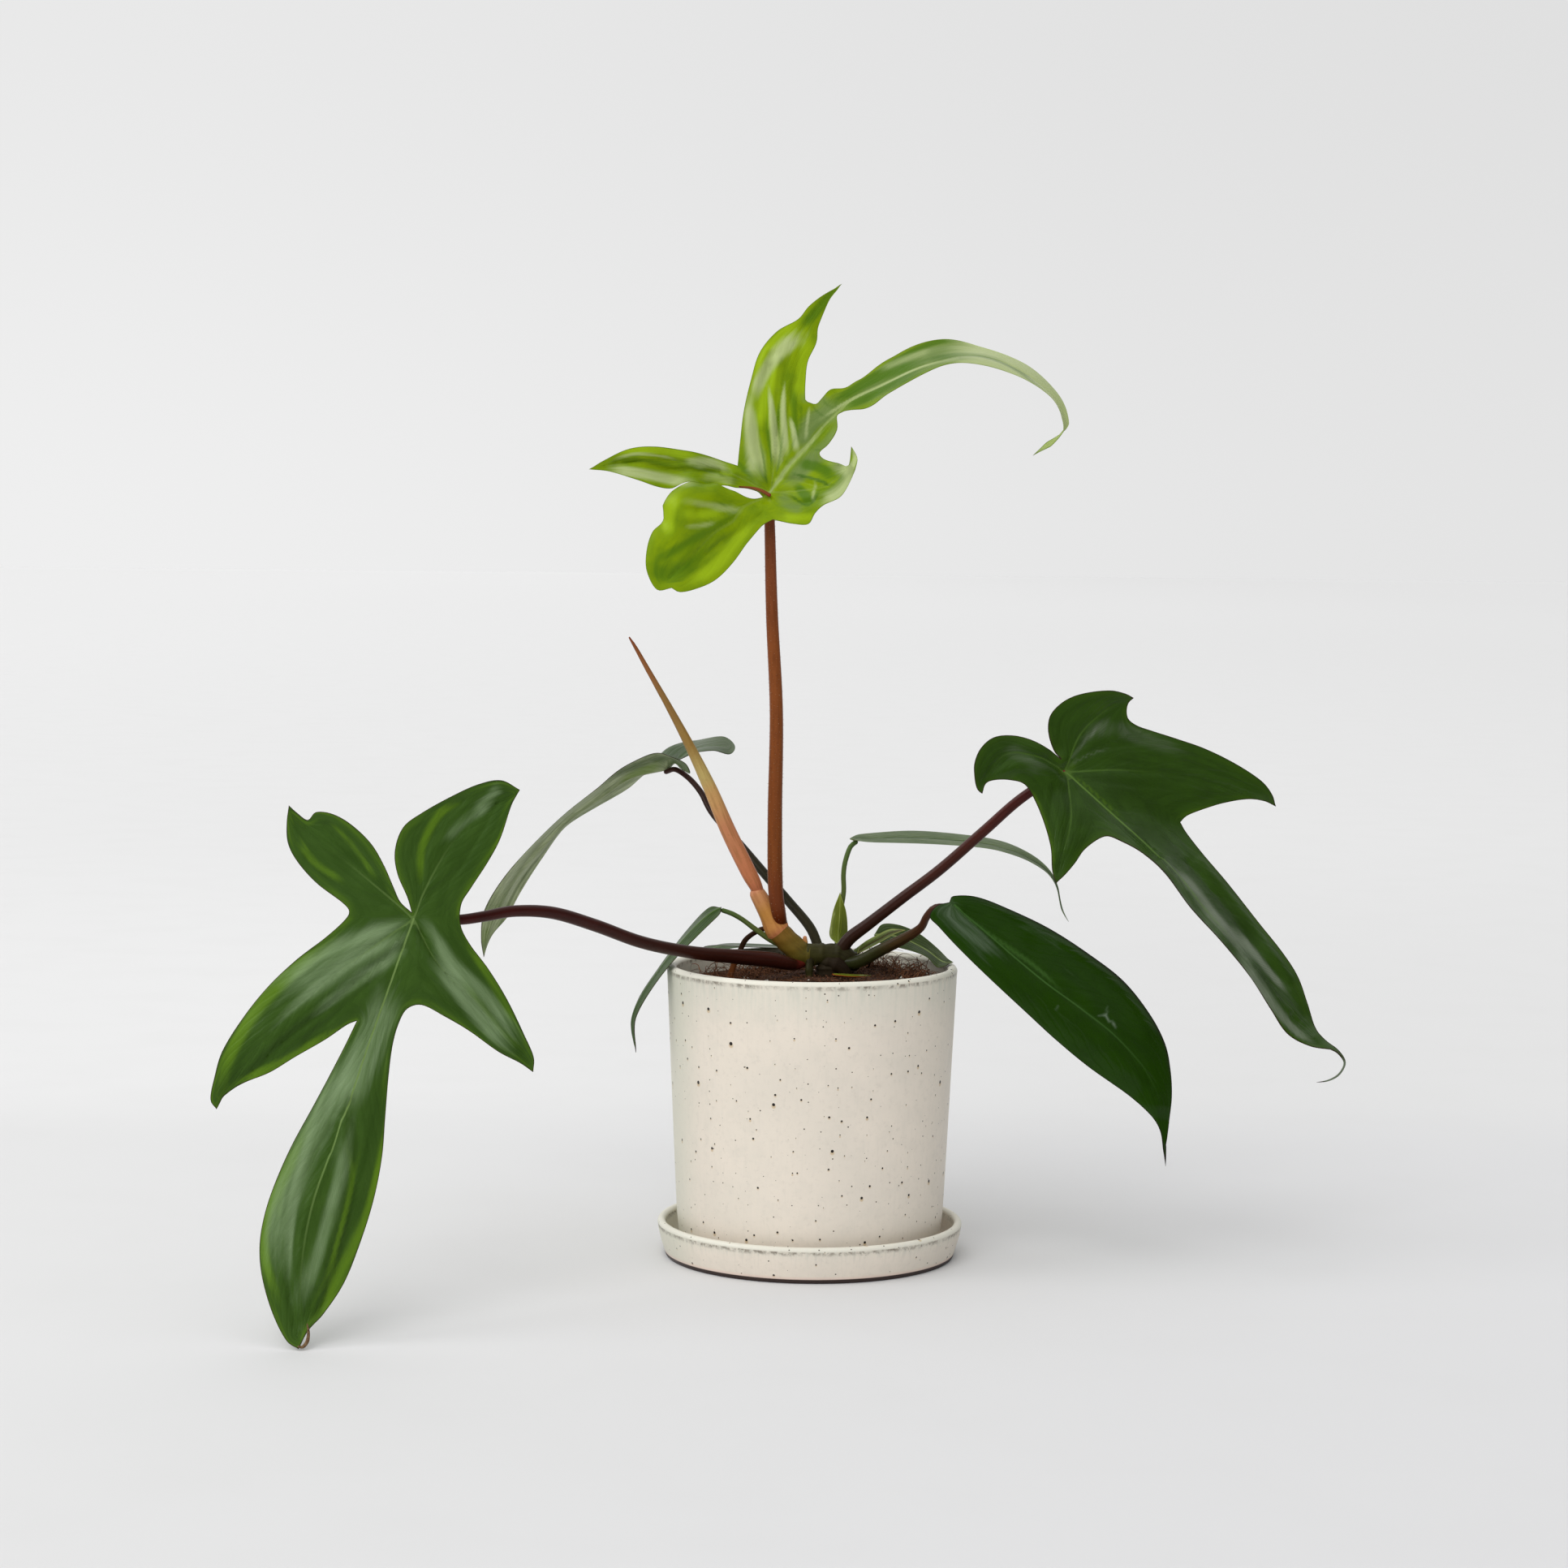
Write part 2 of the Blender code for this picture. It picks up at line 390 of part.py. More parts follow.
class Blade:
    """A leaf blade: an outline with its ribs, pressed flat, and the surface it bends to."""

    def __init__(self, runs, ribs):
        rows = with_depths([row for run in runs for row in run])
        rows += [row for rib in ribs for row in rib]
        unique = {tuple(float(c) for c in flat_place(row)): row[:3] for row in rows}
        self.drawn = thin_plate(list(unique), list(unique.values()))
        self.loop = []
        for run, after in zip(runs, runs[1:] + runs[:1]):
            corner_to_corner = [flat_place(row) for row in run] + [flat_place(after[0])]
            self.loop.extend(smooth(corner_to_corner, EDGE_STEP)[:-1])
        self.loop = np.array(self.loop)
        self.ribs = [smooth([flat_place(row) for row in rib], EDGE_STEP) for rib in ribs]

    def middle(self, flat):
        """Where the middle of the blade's thickness lies."""
        return np.array([place(*point) for point in self.drawn(flat)])

    def face(self, flat):
        """The way the blade faces."""
        along = self.middle(np.atleast_2d(flat) + (0.5, 0)) - self.middle(flat)
        across = self.middle(np.atleast_2d(flat) + (0, 0.5)) - self.middle(flat)
        normal = np.cross(along, across)
        return normal / np.linalg.norm(normal, axis=1)[:, None]

    def creased(self, flat):
        """The middle of the blade with the dip along its ribs."""
        near = np.min([segment_distance(flat, rib) for rib in self.ribs], axis=0)
        dip = BLADE_CREASE * MM * np.exp(-near / CREASE_REACH)
        return self.middle(flat) - self.face(flat) * dip[:, None]

    def seat(self, flat, side, reach):
        """A point a reach away from the blade's middle, on one side of it, in metres."""
        point = np.atleast_2d(flat).astype(float)
        return (self.creased(point) + side * self.face(point) * reach * MM)[0]

    def solid(self, name):
        """The blade as one closed mesh, split into triangles alike on both faces."""
        low, high = self.loop.min(axis=0), self.loop.max(axis=0)
        rows = np.arange(low[1], high[1], FACE_STEP * 0.866)
        grid = np.array([(x + (i % 2) * FACE_STEP / 2, z) for i, z in enumerate(rows)
                         for x in np.arange(low[0], high[0], FACE_STEP)])
        grid = grid[is_inside(grid, self.loop)]
        closed = np.vstack([self.loop, self.loop[:1]])
        clear = segment_distance(grid, closed) > EDGE_STEP * 0.55
        for rib in self.ribs:
            clear &= segment_distance(grid, rib) > FACE_STEP * 0.45
        inner = [rib[is_inside(rib, self.loop) & (segment_distance(rib, closed) > 1.2)]
                 for rib in self.ribs]
        points, edges = [Vector(p) for p in self.loop], []
        for rib in inner:
            edges += [(len(points) + i, len(points) + i + 1) for i in range(len(rib) - 1)]
            points += [Vector(p) for p in rib]
        points += [Vector(p) for p in grid[clear]]
        flat, _, faces, *_ = delaunay_2d_cdt(
            points, edges, [list(range(len(self.loop)))], 1, 1e-4)
        flat = np.array([tuple(p) for p in flat])
        faces = [tuple(f) for f in faces]
        middle = self.creased(flat)
        normal = np.zeros_like(middle)
        for f in faces:
            a, b, c = middle[f[0]], middle[f[1]], middle[f[2]]
            for i in f:
                normal[i] += np.cross(b - a, c - a)
        normal /= np.linalg.norm(normal, axis=1)[:, None]
        half = BLADE_THICKNESS / 2 * MM
        shift = len(flat)
        vertices = list(middle + normal * half) + list(middle - normal * half)
        sides = {}
        for f in faces:
            for a, b in zip(f, f[1:] + f[:1]):
                sides[(a, b)] = (b, a) not in sides
                if not sides[(a, b)]:
                    sides[(b, a)] = False
        walls = [(a, b) for (a, b), open_edge in sides.items() if open_edge]
        skin = faces + [tuple(i + shift for i in reversed(f)) for f in faces]
        skin += [(b, a, a + shift) for a, b in walls] + [(b, a + shift, b + shift)
                                                        for a, b in walls]
        return mesh_object(name, vertices, skin)


def strip(start, turn, stations, tip):
    """Rows for a lobe or a narrow leaf, pressed flat by its true lengths.

    It gives the rib's rows, the first edge's and the second's, all from the base out, and the
    tip's. The first edge lies on the left of the way out.
    """
    angle = math.radians(turn)
    along, left = (math.cos(angle), math.sin(angle)), (-math.sin(angle), math.cos(angle))
    base_flat = np.array(flat_place(start))
    reach, last = 0.0, place(*start[:3])
    ribs, firsts, seconds = [], [], []
    for rib, first, second in stations:
        here = place(*rib)
        reach += float(np.linalg.norm(here - last)) / MM
        last = here
        spot = base_flat + reach * np.array(along)
        ribs.append(rib + tuple(spot))
        for edge, side, rows in ((first, 1, firsts), (second, -1, seconds)):
            width = float(np.linalg.norm(place(*edge) - here)) / MM
            rows.append(edge + tuple(spot + side * width * np.array(left)))
    reach += float(np.linalg.norm(place(*tip) - last)) / MM
    return ribs, firsts, seconds, tip + tuple(base_flat + reach * np.array(along))


def narrow_blade(base, stations, tip, turn=0.0):
    """A leaf without lobes, from its base out to its tip."""
    ribs, firsts, seconds, end = strip(base, turn, stations, tip)
    root = base + flat_place(base)
    return Blade([[root] + firsts, [end] + seconds[::-1]], [[root] + ribs + [end]])


def mesh_object(name, vertices, faces):
    mesh = bpy.data.meshes.new(name)
    mesh.from_pydata([tuple(v) for v in vertices], [], faces)
    mesh.validate()
    piece = bpy.data.objects.new(name, mesh)
    bpy.context.scene.collection.objects.link(piece)
    return piece


def rounded_path(points_and_radii, step, extra=0.0):
    """The places and radii along a stalk, in metres, with a dome of rings at each end."""
    rows = [tuple(p if isinstance(p, np.ndarray) else place(*p)) + (r * MM,)
            for p, r in points_and_radii]
    rows = smooth(rows, step * MM)
    line, radii = rows[:, :3], rows[:, 3] + extra * MM
    domes = []
    for end, neighbour, radius in ((line[0], line[1], radii[0]), (line[-1], line[-2], radii[-1])):
        out = (end - neighbour) / np.linalg.norm(end - neighbour)
        domes.append([(end + out * radius * math.sin(t), radius * math.cos(t))
                      for t in (math.radians(35), math.radians(68))])
    line = np.vstack([[p for p, _ in domes[0][::-1]], line, [p for p, _ in domes[1]]])
    radii = np.concatenate([[r for _, r in domes[0][::-1]], radii, [r for _, r in domes[1]]])
    return line, radii


def tube(name, points_and_radii, step=12.0, sides=8, extra=0.0):
    """A round stalk with domed ends along a smooth path."""
    line, radii = rounded_path(points_and_radii, step, extra)
    ahead = np.gradient(line, axis=0)
    ahead /= np.linalg.norm(ahead, axis=1)[:, None]
    side = np.cross(ahead[0], (0.1, 0.9, 0.3))
    vertices = []
    for point, way, radius in zip(line, ahead, radii):
        side = side - way * (side @ way)
        side /= np.linalg.norm(side)
        other = np.cross(way, side)
        for i in range(sides):
            turn = 2 * math.pi * i / sides
            vertices.append(point + radius * (math.cos(turn) * side + math.sin(turn) * other))
    rings = len(line)
    faces = []
    for ring in range(rings - 1):
        for i in range(sides):
            a, b = ring * sides + i, ring * sides + (i + 1) % sides
            faces += [(a, b, b + sides), (a, b + sides, a + sides)]
    first, last = len(vertices), len(vertices) + 1
    vertices += [line[0], line[-1]]
    for i in range(sides):
        j = (i + 1) % sides
        faces += [(first, j, i), (last, (rings - 1) * sides + i, (rings - 1) * sides + j)]
    return mesh_object(name, vertices, faces)


def turned(name, profile):
    """A round body from its profile, listed as (radius, height) from axis to axis."""
    mesh = bpy.data.meshes.new(name)
    bm = bmesh.new()
    angles = [2 * math.pi * i / ROUND_SIDES for i in range(ROUND_SIDES)]
    rings = []
    for radius, height in profile:
        if radius == 0:
            rings.append([bm.verts.new((0, 0, height * MM))])
        else:
            rings.append([bm.verts.new((radius * MM * math.cos(a), radius * MM * math.sin(a),
                                        height * MM)) for a in angles])
    closing = [] if len(rings[0]) == 1 else [(rings[-1], rings[0])]
    for lower, upper in list(zip(rings, rings[1:])) + closing:
        for i in range(ROUND_SIDES):
            j = (i + 1) % ROUND_SIDES
            corners = [lower[i % len(lower)], lower[j % len(lower)],
                       upper[j % len(upper)], upper[i % len(upper)]]
            bm.faces.new(list(dict.fromkeys(corners)))
    bmesh.ops.recalc_face_normals(bm, faces=bm.faces)
    bm.to_mesh(mesh)
    bm.free()
    piece = bpy.data.objects.new(name, mesh)
    bpy.context.scene.collection.objects.link(piece)
    return piece


def arc(centre_radius, centre_height, radius, start, end, count):
    """Profile points round a corner, by angles in degrees from the outward direction."""
    turns = [math.radians(start + (end - start) * i / count) for i in range(count + 1)]
    return [(centre_radius + radius * math.cos(t), centre_height + radius * math.sin(t))
            for t in turns]


def finish(piece, colour, roughness=0.5):
    """Gives a piece its own material and smooth shading."""
    material = bpy.data.materials.new(piece.name)
    material.use_nodes = True
    shader = next(n for n in material.node_tree.nodes if n.type == "BSDF_PRINCIPLED")
    red, green, blue = (int(colour[i:i + 2], 16) / 255 for i in (1, 3, 5))
    shader.inputs["Base Color"].default_value = (red**2.2, green**2.2, blue**2.2, 1)
    shader.inputs["Roughness"].default_value = roughness
    shader.inputs["Metallic"].default_value = 0.0
    piece.data.materials.append(material)
    piece.data.shade_smooth()
    return piece


def cut(piece, cutter):
    """Cuts a plain hole or a socket for another piece, which keeps its clearance in it."""
    cutter.hide_render = True
    cutter.display_type = "WIRE"
    modifier = piece.modifiers.new("clear_" + cutter.name, "BOOLEAN")
    modifier.operation = "DIFFERENCE"
    modifier.object = cutter


def join(piece, other):
    """Joins another body into a piece."""
    other.hide_render = True
    other.display_type = "WIRE"
    modifier = piece.modifiers.new("with_" + other.name, "BOOLEAN")
    modifier.operation = "UNION"
    modifier.object = other


def build_saucer():
    wall = SAUCER_FOOT_RADIUS + 1.6
    outer = [(0, 0), (FLAT_RADIUS, 0), (SAUCER_FOOT_RADIUS - SAUCER_FOOT_ROUND, 0),
             (SAUCER_FOOT_RADIUS, SAUCER_FOOT_ROUND), (wall, 6.0), (SAUCER_LIP_RADIUS - 0.4, 12.5)]
    lip = SAUCER_LIP_ROUND
    rim = arc(SAUCER_LIP_RADIUS - lip, SAUCER_HEIGHT - lip, lip, 0, 180, 5)
    inner = [(SAUCER_INNER_RADIUS, 12.0), (SAUCER_INNER_RADIUS - 1.2, 7.5),
             (SAUCER_INNER_RADIUS - 3.5, SAUCER_FLOOR), (FLAT_RADIUS, SAUCER_FLOOR),
             (0, SAUCER_FLOOR)]
    return finish(turned("saucer", outer + rim + inner), "#D9D7CA", 0.35)


def pot_radius(height):
    """The pot's outer radius at a height: a slow flare, drawn in at the foot."""
    foot = SAUCER_FLOOR + SEAT_GAP
    share = (height - foot) / (POT_RIM_Z - foot)
    flare = POT_RIM_RADIUS - POT_FLARE * (1 - share) ** POT_FLARE_POWER
    return flare - POT_TUCK * math.exp(-(height - foot) / POT_TUCK_HEIGHT)


def inside_profile(clearance):
    """The pot's inside from high on its wall down to its floor, less a clearance all over."""
    floor = SAUCER_FLOOR + SEAT_GAP + POT_FLOOR
    wall = [(pot_radius(h) - POT_WALL - clearance, h) for h in (120, 80, 40)]
    toe = pot_radius(20) - POT_WALL - clearance
    return wall + [(toe - CORNER_STEP, floor + CORNER_HEIGHT),
                   (toe - CORNER_WIDTH, floor + clearance)]


def build_pot():
    foot = SAUCER_FLOOR + SEAT_GAP
    inner_ring = FOOT_RING_RADIUS - FOOT_RING_WIDTH
    outer = [(DRAIN_RADIUS, foot + FOOT_RECESS), (inner_ring - FOOT_RECESS, foot + FOOT_RECESS),
             (inner_ring, foot), (FOOT_RING_RADIUS, foot)]
    outer += [(pot_radius(h), h) for h in (foot + 0.8, foot + 4, foot + 12, 40, 70, 100, 124)]
    lip = POT_WALL / 2
    rim = arc(POT_RIM_RADIUS - lip, POT_RIM_Z - lip, lip, 0, 180, 5)
    inner = inside_profile(0) + [(DRAIN_RADIUS, foot + POT_FLOOR)]
    return finish(turned("pot", outer + rim + inner), "#DAD7CA", 0.35)


def soil_height(radius):
    return SOIL_EDGE_Z + SOIL_MOUND * math.exp(-(radius / SOIL_MOUND_RADIUS) ** 2)


def build_soil(holes):
    below = inside_profile(SEAT_GAP)[::-1]
    edge = pot_radius(SOIL_EDGE_Z) - POT_WALL - SEAT_GAP
    profile = [(0, below[0][1])] + below
    profile += [(r, soil_height(r)) for r in (edge, 52, 38, 26, 14, 0)]
    soil = finish(turned("soil", profile), "#4A2F20", 0.95)
    for hole in holes:
        cut(soil, hole)
    return soil


def build_top_blade():
    ribs, firsts, seconds, tip = strip(TOP_LOBE_ROOT, TOP_LOBE_TURN, TOP_LOBE_STATIONS,
                                       TOP_LOBE_TIP)
    main_rib = [TOP_JUNCTION, (-15, 378, -6), (-7, 387, -5), (3, 399, -3), TOP_LOBE_ROOT]
    runs = [TOP_UPPER_LOBE, TOP_UPPER_LOBE_BACK, TOP_SHOULDER + firsts, [tip] + seconds[::-1],
            TOP_NECK, TOP_RIGHT_LOBE, TOP_LOW_LOBE, TOP_LOW_LOBE_END, TOP_LOW_LOBE_BACK,
            TOP_LEFT_LOBE, TOP_LEFT_LOBE_BACK]
    return Blade(runs, [main_rib + ribs + [tip]] + TOP_RIBS)


def build_back_blade():
    junction = BACK_JUNCTION + (0, 0)
    ribs, nears, fars, tip = strip(junction, 0, BACK_STATIONS, BACK_TIP)
    runs = [[BACK_NOTCH] + BACK_FAR_LOBE + fars, [tip] + nears[::-1] + BACK_NEAR_LOBE]
    near_rib = [junction, (-66, 238, 70, -6, 12), (-62, 235, 66, -14, 18)]
    far_rib = [junction, (-56, 245, 94, -16, -14), (-42, 246, 99, -31, -19)]
    return Blade(runs, [[junction] + ribs + [tip], near_rib, far_rib])


def main():
    for old in list(bpy.data.objects):
        bpy.data.objects.remove(old, do_unlink=True)

    blades = {
        "blade_top": (build_top_blade(), "#78960A"),
        "blade_left": (Blade(LEFT_EDGE, LEFT_RIBS), "#2F5A20"),
        "blade_right": (Blade(RIGHT_EDGE, RIGHT_RIBS), "#26501A"),
        "blade_lower_right": (Blade(LOWER_EDGE, LOWER_RIBS), "#163F10"),
        "blade_back_left": (build_back_blade(), "#5F7A50"),
        "blade_small_left": (narrow_blade(SMALL_LEFT_BASE, SMALL_LEFT_STATIONS,
                                          SMALL_LEFT_TIP), "#4C6848"),
        "blade_back_right": (narrow_blade(BACK_RIGHT_BASE, BACK_RIGHT_STATIONS,
                                          BACK_RIGHT_TIP), "#8FA888"),
        "blade_rim_right": (narrow_blade(RIM_RIGHT_BASE, RIM_RIGHT_STATIONS,
                                         RIM_RIGHT_TIP), "#4E5E30"),
        "blade_rim_back": (narrow_blade(RIM_BACK_BASE, RIM_BACK_STATIONS,
                                        RIM_BACK_TIP), "#7C8C7C"),
        "blade_on_soil": (narrow_blade(SOIL_LEAF_BASE, SOIL_LEAF_STATIONS,
                                       SOIL_LEAF_TIP), "#7C8C20"),
        "sheath_back_right": (narrow_blade(SHEATH_BACK_BASE, SHEATH_BACK_STATIONS,
                                           SHEATH_BACK_TIP), "#9AAE4C"),
        "sheath_lower_right": (narrow_blade(SHEATH_LOWER_BASE, SHEATH_LOWER_STATIONS,
                                            SHEATH_LOWER_TIP), "#6C7C3C"),
    }
    for name, (blade, colour) in blades.items():
        finish(blade.solid(name), colour, 0.4)

    # Each stalk: its path, the blade that ends it, the spot there, its side and its colour.
    stalks = {
        "stalk_top": (TOP_STALK, "blade_top", TOP_JUNCTION, -1, "#7A4020"),
        "stalk_left": (LEFT_STALK, "blade_left", LEFT_JUNCTION, -1, "#3A1418"),
        "stalk_right": (RIGHT_STALK, "blade_right", RIGHT_JUNCTION, -1, "#4A2420"),
        "stalk_lower_right": (LOWER_STALK, "blade_lower_right", LOWER_JUNCTION, -1, "#5C3A28"),
        "stalk_back_left": (BACK_STALK, "blade_back_left", BACK_JUNCTION + (2, 0), -1,
                            "#2C2A1C"),
        "stalk_small_left": (SMALL_LEFT_STALK, "blade_small_left", SMALL_LEFT_BASE, 1,
                             "#6E7430"),
        "stalk_back_right": (BACK_RIGHT_STALK, "blade_back_right", (21, 202.5), -1,
                             "#6C7440"),
        "stalk_rim_right": (RIM_RIGHT_STALK, "blade_rim_right", (33, 156), -1, "#5E6430"),
        "stalk_rim_back": (RIM_BACK_STALK, "blade_rim_back", RIM_BACK_BASE, 1, "#5E6430"),
    }
    sockets = []
    for name, (path, blade_name, spot, side, colour) in stalks.items():
        radius = path[-1][1]
        reach = BLADE_THICKNESS / 2 + SEAT_GAP + radius
        end = blades[blade_name][0].seat(flat_place(spot), side, reach)
        whole = path + [(end, radius * 0.95)]
        finish(tube(name, whole), colour, 0.45)
        sockets.append(tube(name + "_socket", whole[:3], extra=SEAT_GAP))

    root = finish(tube("aerial_root", AERIAL_ROOT, step=6, sides=7), "#5C3A24", 0.7)
    root_socket = tube("aerial_root_socket", AERIAL_ROOT, step=6, sides=7, extra=SEAT_GAP)

    stem = finish(tube("stem", STEM_CREEP, step=6, sides=10), "#4A5030", 0.5)
    for name, path in (("rise", STEM_RISE), ("foot", STEM_FOOT), ("scar", STEM_SCAR)):
        join(stem, tube("stem_" + name, path, step=6, sides=10))
    stem_tip = finish(tube("stem_tip", TIP_SEGMENT, step=6, sides=10), "#C08A58", 0.4)
    finish(tube("new_leaf", NEW_LEAF, step=12, sides=12), "#B97C50", 0.4)
    tip_socket = tube("stem_tip_socket", TIP_SEGMENT, step=6, sides=10, extra=SEAT_GAP)
    for socket in sockets + [root_socket, tip_socket]:
        cut(stem, socket)
    new_leaf_socket = tube("new_leaf_socket", NEW_LEAF, step=12, sides=12, extra=SEAT_GAP)
    for socket in (new_leaf_socket, bpy.data.objects["stalk_top_socket"], root_socket):
        cut(stem_tip, socket)

    build_saucer()
    build_pot()
    build_soil([root_socket, tube("foot_hole", STEM_FOOT, step=6, sides=10, extra=SEAT_GAP)])


main()
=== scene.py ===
"""The looks of a potted philodendron: fine leaves, stalks, soil and glaze round its CAD frame.

Metres in the scene. Every size below is in millimetres. The plant is drawn on a front elevation,
the upright plane through the pot's axis, as it shows from the point SIGHT. A drawn point is
(x, z, y): x and z on that elevation, and y its depth, to which it is moved along its own line of
sight. These places are the CAD model's own, so each piece lies where its node does.
"""
import math

import bpy
import numpy as np
from mathutils import Matrix, Vector, noise
from mathutils.geometry import delaunay_2d_cdt


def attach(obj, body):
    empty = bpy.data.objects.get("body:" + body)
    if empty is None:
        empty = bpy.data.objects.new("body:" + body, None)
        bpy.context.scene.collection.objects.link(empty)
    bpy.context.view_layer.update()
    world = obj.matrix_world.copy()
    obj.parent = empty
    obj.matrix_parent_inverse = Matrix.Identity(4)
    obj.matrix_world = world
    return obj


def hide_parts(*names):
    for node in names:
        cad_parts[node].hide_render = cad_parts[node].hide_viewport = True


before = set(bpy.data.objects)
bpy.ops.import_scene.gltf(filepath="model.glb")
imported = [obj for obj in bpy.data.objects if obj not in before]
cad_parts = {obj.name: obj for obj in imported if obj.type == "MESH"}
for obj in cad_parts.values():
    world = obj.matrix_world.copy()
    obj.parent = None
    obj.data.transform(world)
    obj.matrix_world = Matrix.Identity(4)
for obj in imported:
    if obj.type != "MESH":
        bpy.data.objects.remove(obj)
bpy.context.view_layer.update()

MM = 0.001
SIGHT = (-14.4, -1600.0, 341.1)
SEAT_GAP = 0.3            # between pieces that rest on or in each other

SAUCER_HEIGHT = 17.6
SAUCER_LIP_RADIUS = 73.4
SAUCER_LIP_ROUND = 1.9
SAUCER_INNER_RADIUS = 69.0
SAUCER_FOOT_RADIUS = 69.6
SAUCER_FLOOR = 5.0

POT_FOOT = SAUCER_FLOOR + SEAT_GAP
POT_RIM_Z = 140.8
POT_RIM_RADIUS = 70.0
POT_FLARE = 6.6           # how much the rim stands out past the wall's foot
POT_FLARE_POWER = 1.05
POT_TUCK = 2.4            # how much the wall is drawn in just over the surface
POT_TUCK_HEIGHT = 5.0
POT_WALL = 4.6
POT_FLOOR = 7.0
FOOT_RING_RADIUS = 59.8
FOOT_RING_WIDTH = 4.3
FOOT_RECESS = 1.5
DRAIN_RADIUS = 6.0

SOIL_EDGE_Z = 131.0
SOIL_MOUND = 4.5
SOIL_MOUND_RADIUS = 34.0

BLADE_CREASE = 0.9        # how deep a blade dips along its ribs
CREASE_REACH = 5.0
BLADE_THICKNESS = 0.5     # a living blade, thinner than its solid in the CAD model
MARGIN_THICKNESS = 0.24
EDGE_STEP = 1.3           # spacing of a blade's mesh along its edge
FACE_STEP = 1.6           # and inside it
ROW_SHARE = 0.866         # of the step, between rows of an even triangular grid
RING_INSET = 0.55         # of a ring of points just inside the edge
GROOVE_DEPTH = 0.22       # of the fine groove along each rib, and how far it reaches
GROOVE_REACH = 0.7
RIDGE_HEIGHT = 0.75       # of the midrib on the underside, and how far it reaches
RIDGE_REACH = 1.2
MARGIN_REACH = 1.5        # over which a blade thickens from its edge inwards
FOLD_MARGIN = 3.0         # and over which its folds rise to their height

UNROLL_RADIUS = 66.0      # of the round on which the glaze's UV map is measured
CLEARING = (2, -22, 42)   # x, y and radius of the ground round the stem, where fibres lie low

LENS = 76.77              # the camera's, and its turns in degrees
LOOK_DOWN = 4.06
ROLL = 0.56

# The blades: each run of an outline starts at a corner, such as a lobe's tip or a sharp notch,
# and ends at the next run's first point. Between corners the edge is one smooth curve. A row of
# five gives the place on the leaf pressed flat too, where a lobe is seen edge on or overlaps.
TOP_JUNCTION = (-23, 367, -6)
TOP_LOBE_ROOT = (11, 407, -2)
TOP_LOBE_TURN = 41.0      # degrees, the way its middle lobe lies on the leaf pressed flat
TOP_LOBE_STATIONS = [     # rib, upper edge and lower edge, from the lobe's waist to its tip
    ((22, 415, 0), (20, 421, 6), (22, 407, -5)),
    ((41, 425, 4), (36, 432, 16), (33, 414, -9)),
    ((58, 431, 9), (57, 440, 24), (57, 427, -9)),
    ((76, 433, 14), (76, 437, 31), (72, 429, -5)),
    ((94, 427.5, 19), (98, 429, 34), (90, 425, 4)),
    ((109, 417, 24), (112, 417.5, 34), (104.5, 418.2, 12)),
    ((117, 406, 27), (118.3, 408, 31), (114.8, 408.5, 20)),
    ((119, 399, 28), (120, 400, 29), (117.5, 399, 26)),
    ((110, 390.5, 27), (109, 391.5, 27.5), (111, 389.5, 26.5)),
]
TOP_LOBE_TIP = (103, 385, 26)
TOP_UPPER_LOBE = [(-38, 379.5, -1), (-37, 390), (-35.3, 405, 0), (-32, 420), (-28, 433, 2),
                  (-20, 443), (-10, 449, 6), (-4, 456)]
TOP_UPPER_LOBE_BACK = [(11, 466, 12), (5, 458), (0, 446, 7), (-1, 438), (-5, 429, 3),
                       (-6, 420), (-6, 411, 0)]
TOP_SHOULDER = [(-5, 410, 0), (-1, 409), (2, 412), (6, 416), (13, 417, 2)]
TOP_NECK = [(12, 406, -3), (9, 404), (9, 397, -5), (5, 390), (1, 386), (3, 383, -7), (10, 381),
            (14, 380, -14)]
TOP_RIGHT_LOBE = [(16, 389, -20), (19, 383), (16.5, 375, -24), (11.4, 365.5, -24), (3, 361),
                  (-1, 357, -19), (-4, 352), (-11, 352, -16), (-19, 353.5)]
TOP_LOW_LOBE = [(-21, 354, -12), (-26, 351), (-33, 342.8, -17), (-40, 333), (-48, 325, -26),
                (-57, 320.7), (-65, 319, -31)]
TOP_LOW_LOBE_END = [(-69, 321, -31), (-76, 320), (-81, 329, -29), (-81, 339), (-78, 348, -23),
                    (-73, 354)]
TOP_LOW_LOBE_BACK = [(-73.5, 360, -19, -72, 357), (-69, 367, -17, -67, 360.5),
                     (-60, 371.5, -14, -58, 363), (-48, 370.8, -12, -47, 362.5),
                     (-39, 367.4, -10, -38, 362), (-32, 364.4, -8, -32, 362)]
TOP_LEFT_LOBE = [(-26, 365, -6), (-29, 367.6), (-39, 369, -2), (-51, 369, 3), (-69, 368.5, 7),
                 (-85, 372, 10), (-99, 376)]
TOP_LEFT_LOBE_BACK = [(-109, 377, 14), (-101.7, 381.3), (-90, 386.8, 9), (-77, 388),
                      (-64, 386.4, 3), (-51, 383.5)]
TOP_RIBS = [
    [TOP_JUNCTION, (-20, 385, -5), (-19, 405, -3), (-14, 430, 1), (-4, 450, 6), (8, 464, 11)],
    [TOP_JUNCTION, (-40, 375.5, -4), (-60, 380.5, 3), (-82, 381, 8), (-106, 377.5, 13)],
    [TOP_JUNCTION, (-40, 353, -14), (-55, 341, -22), (-70, 326, -29)],
    [TOP_JUNCTION, (-9, 368, -11), (4, 371, -17), (15, 380, -21)],
]

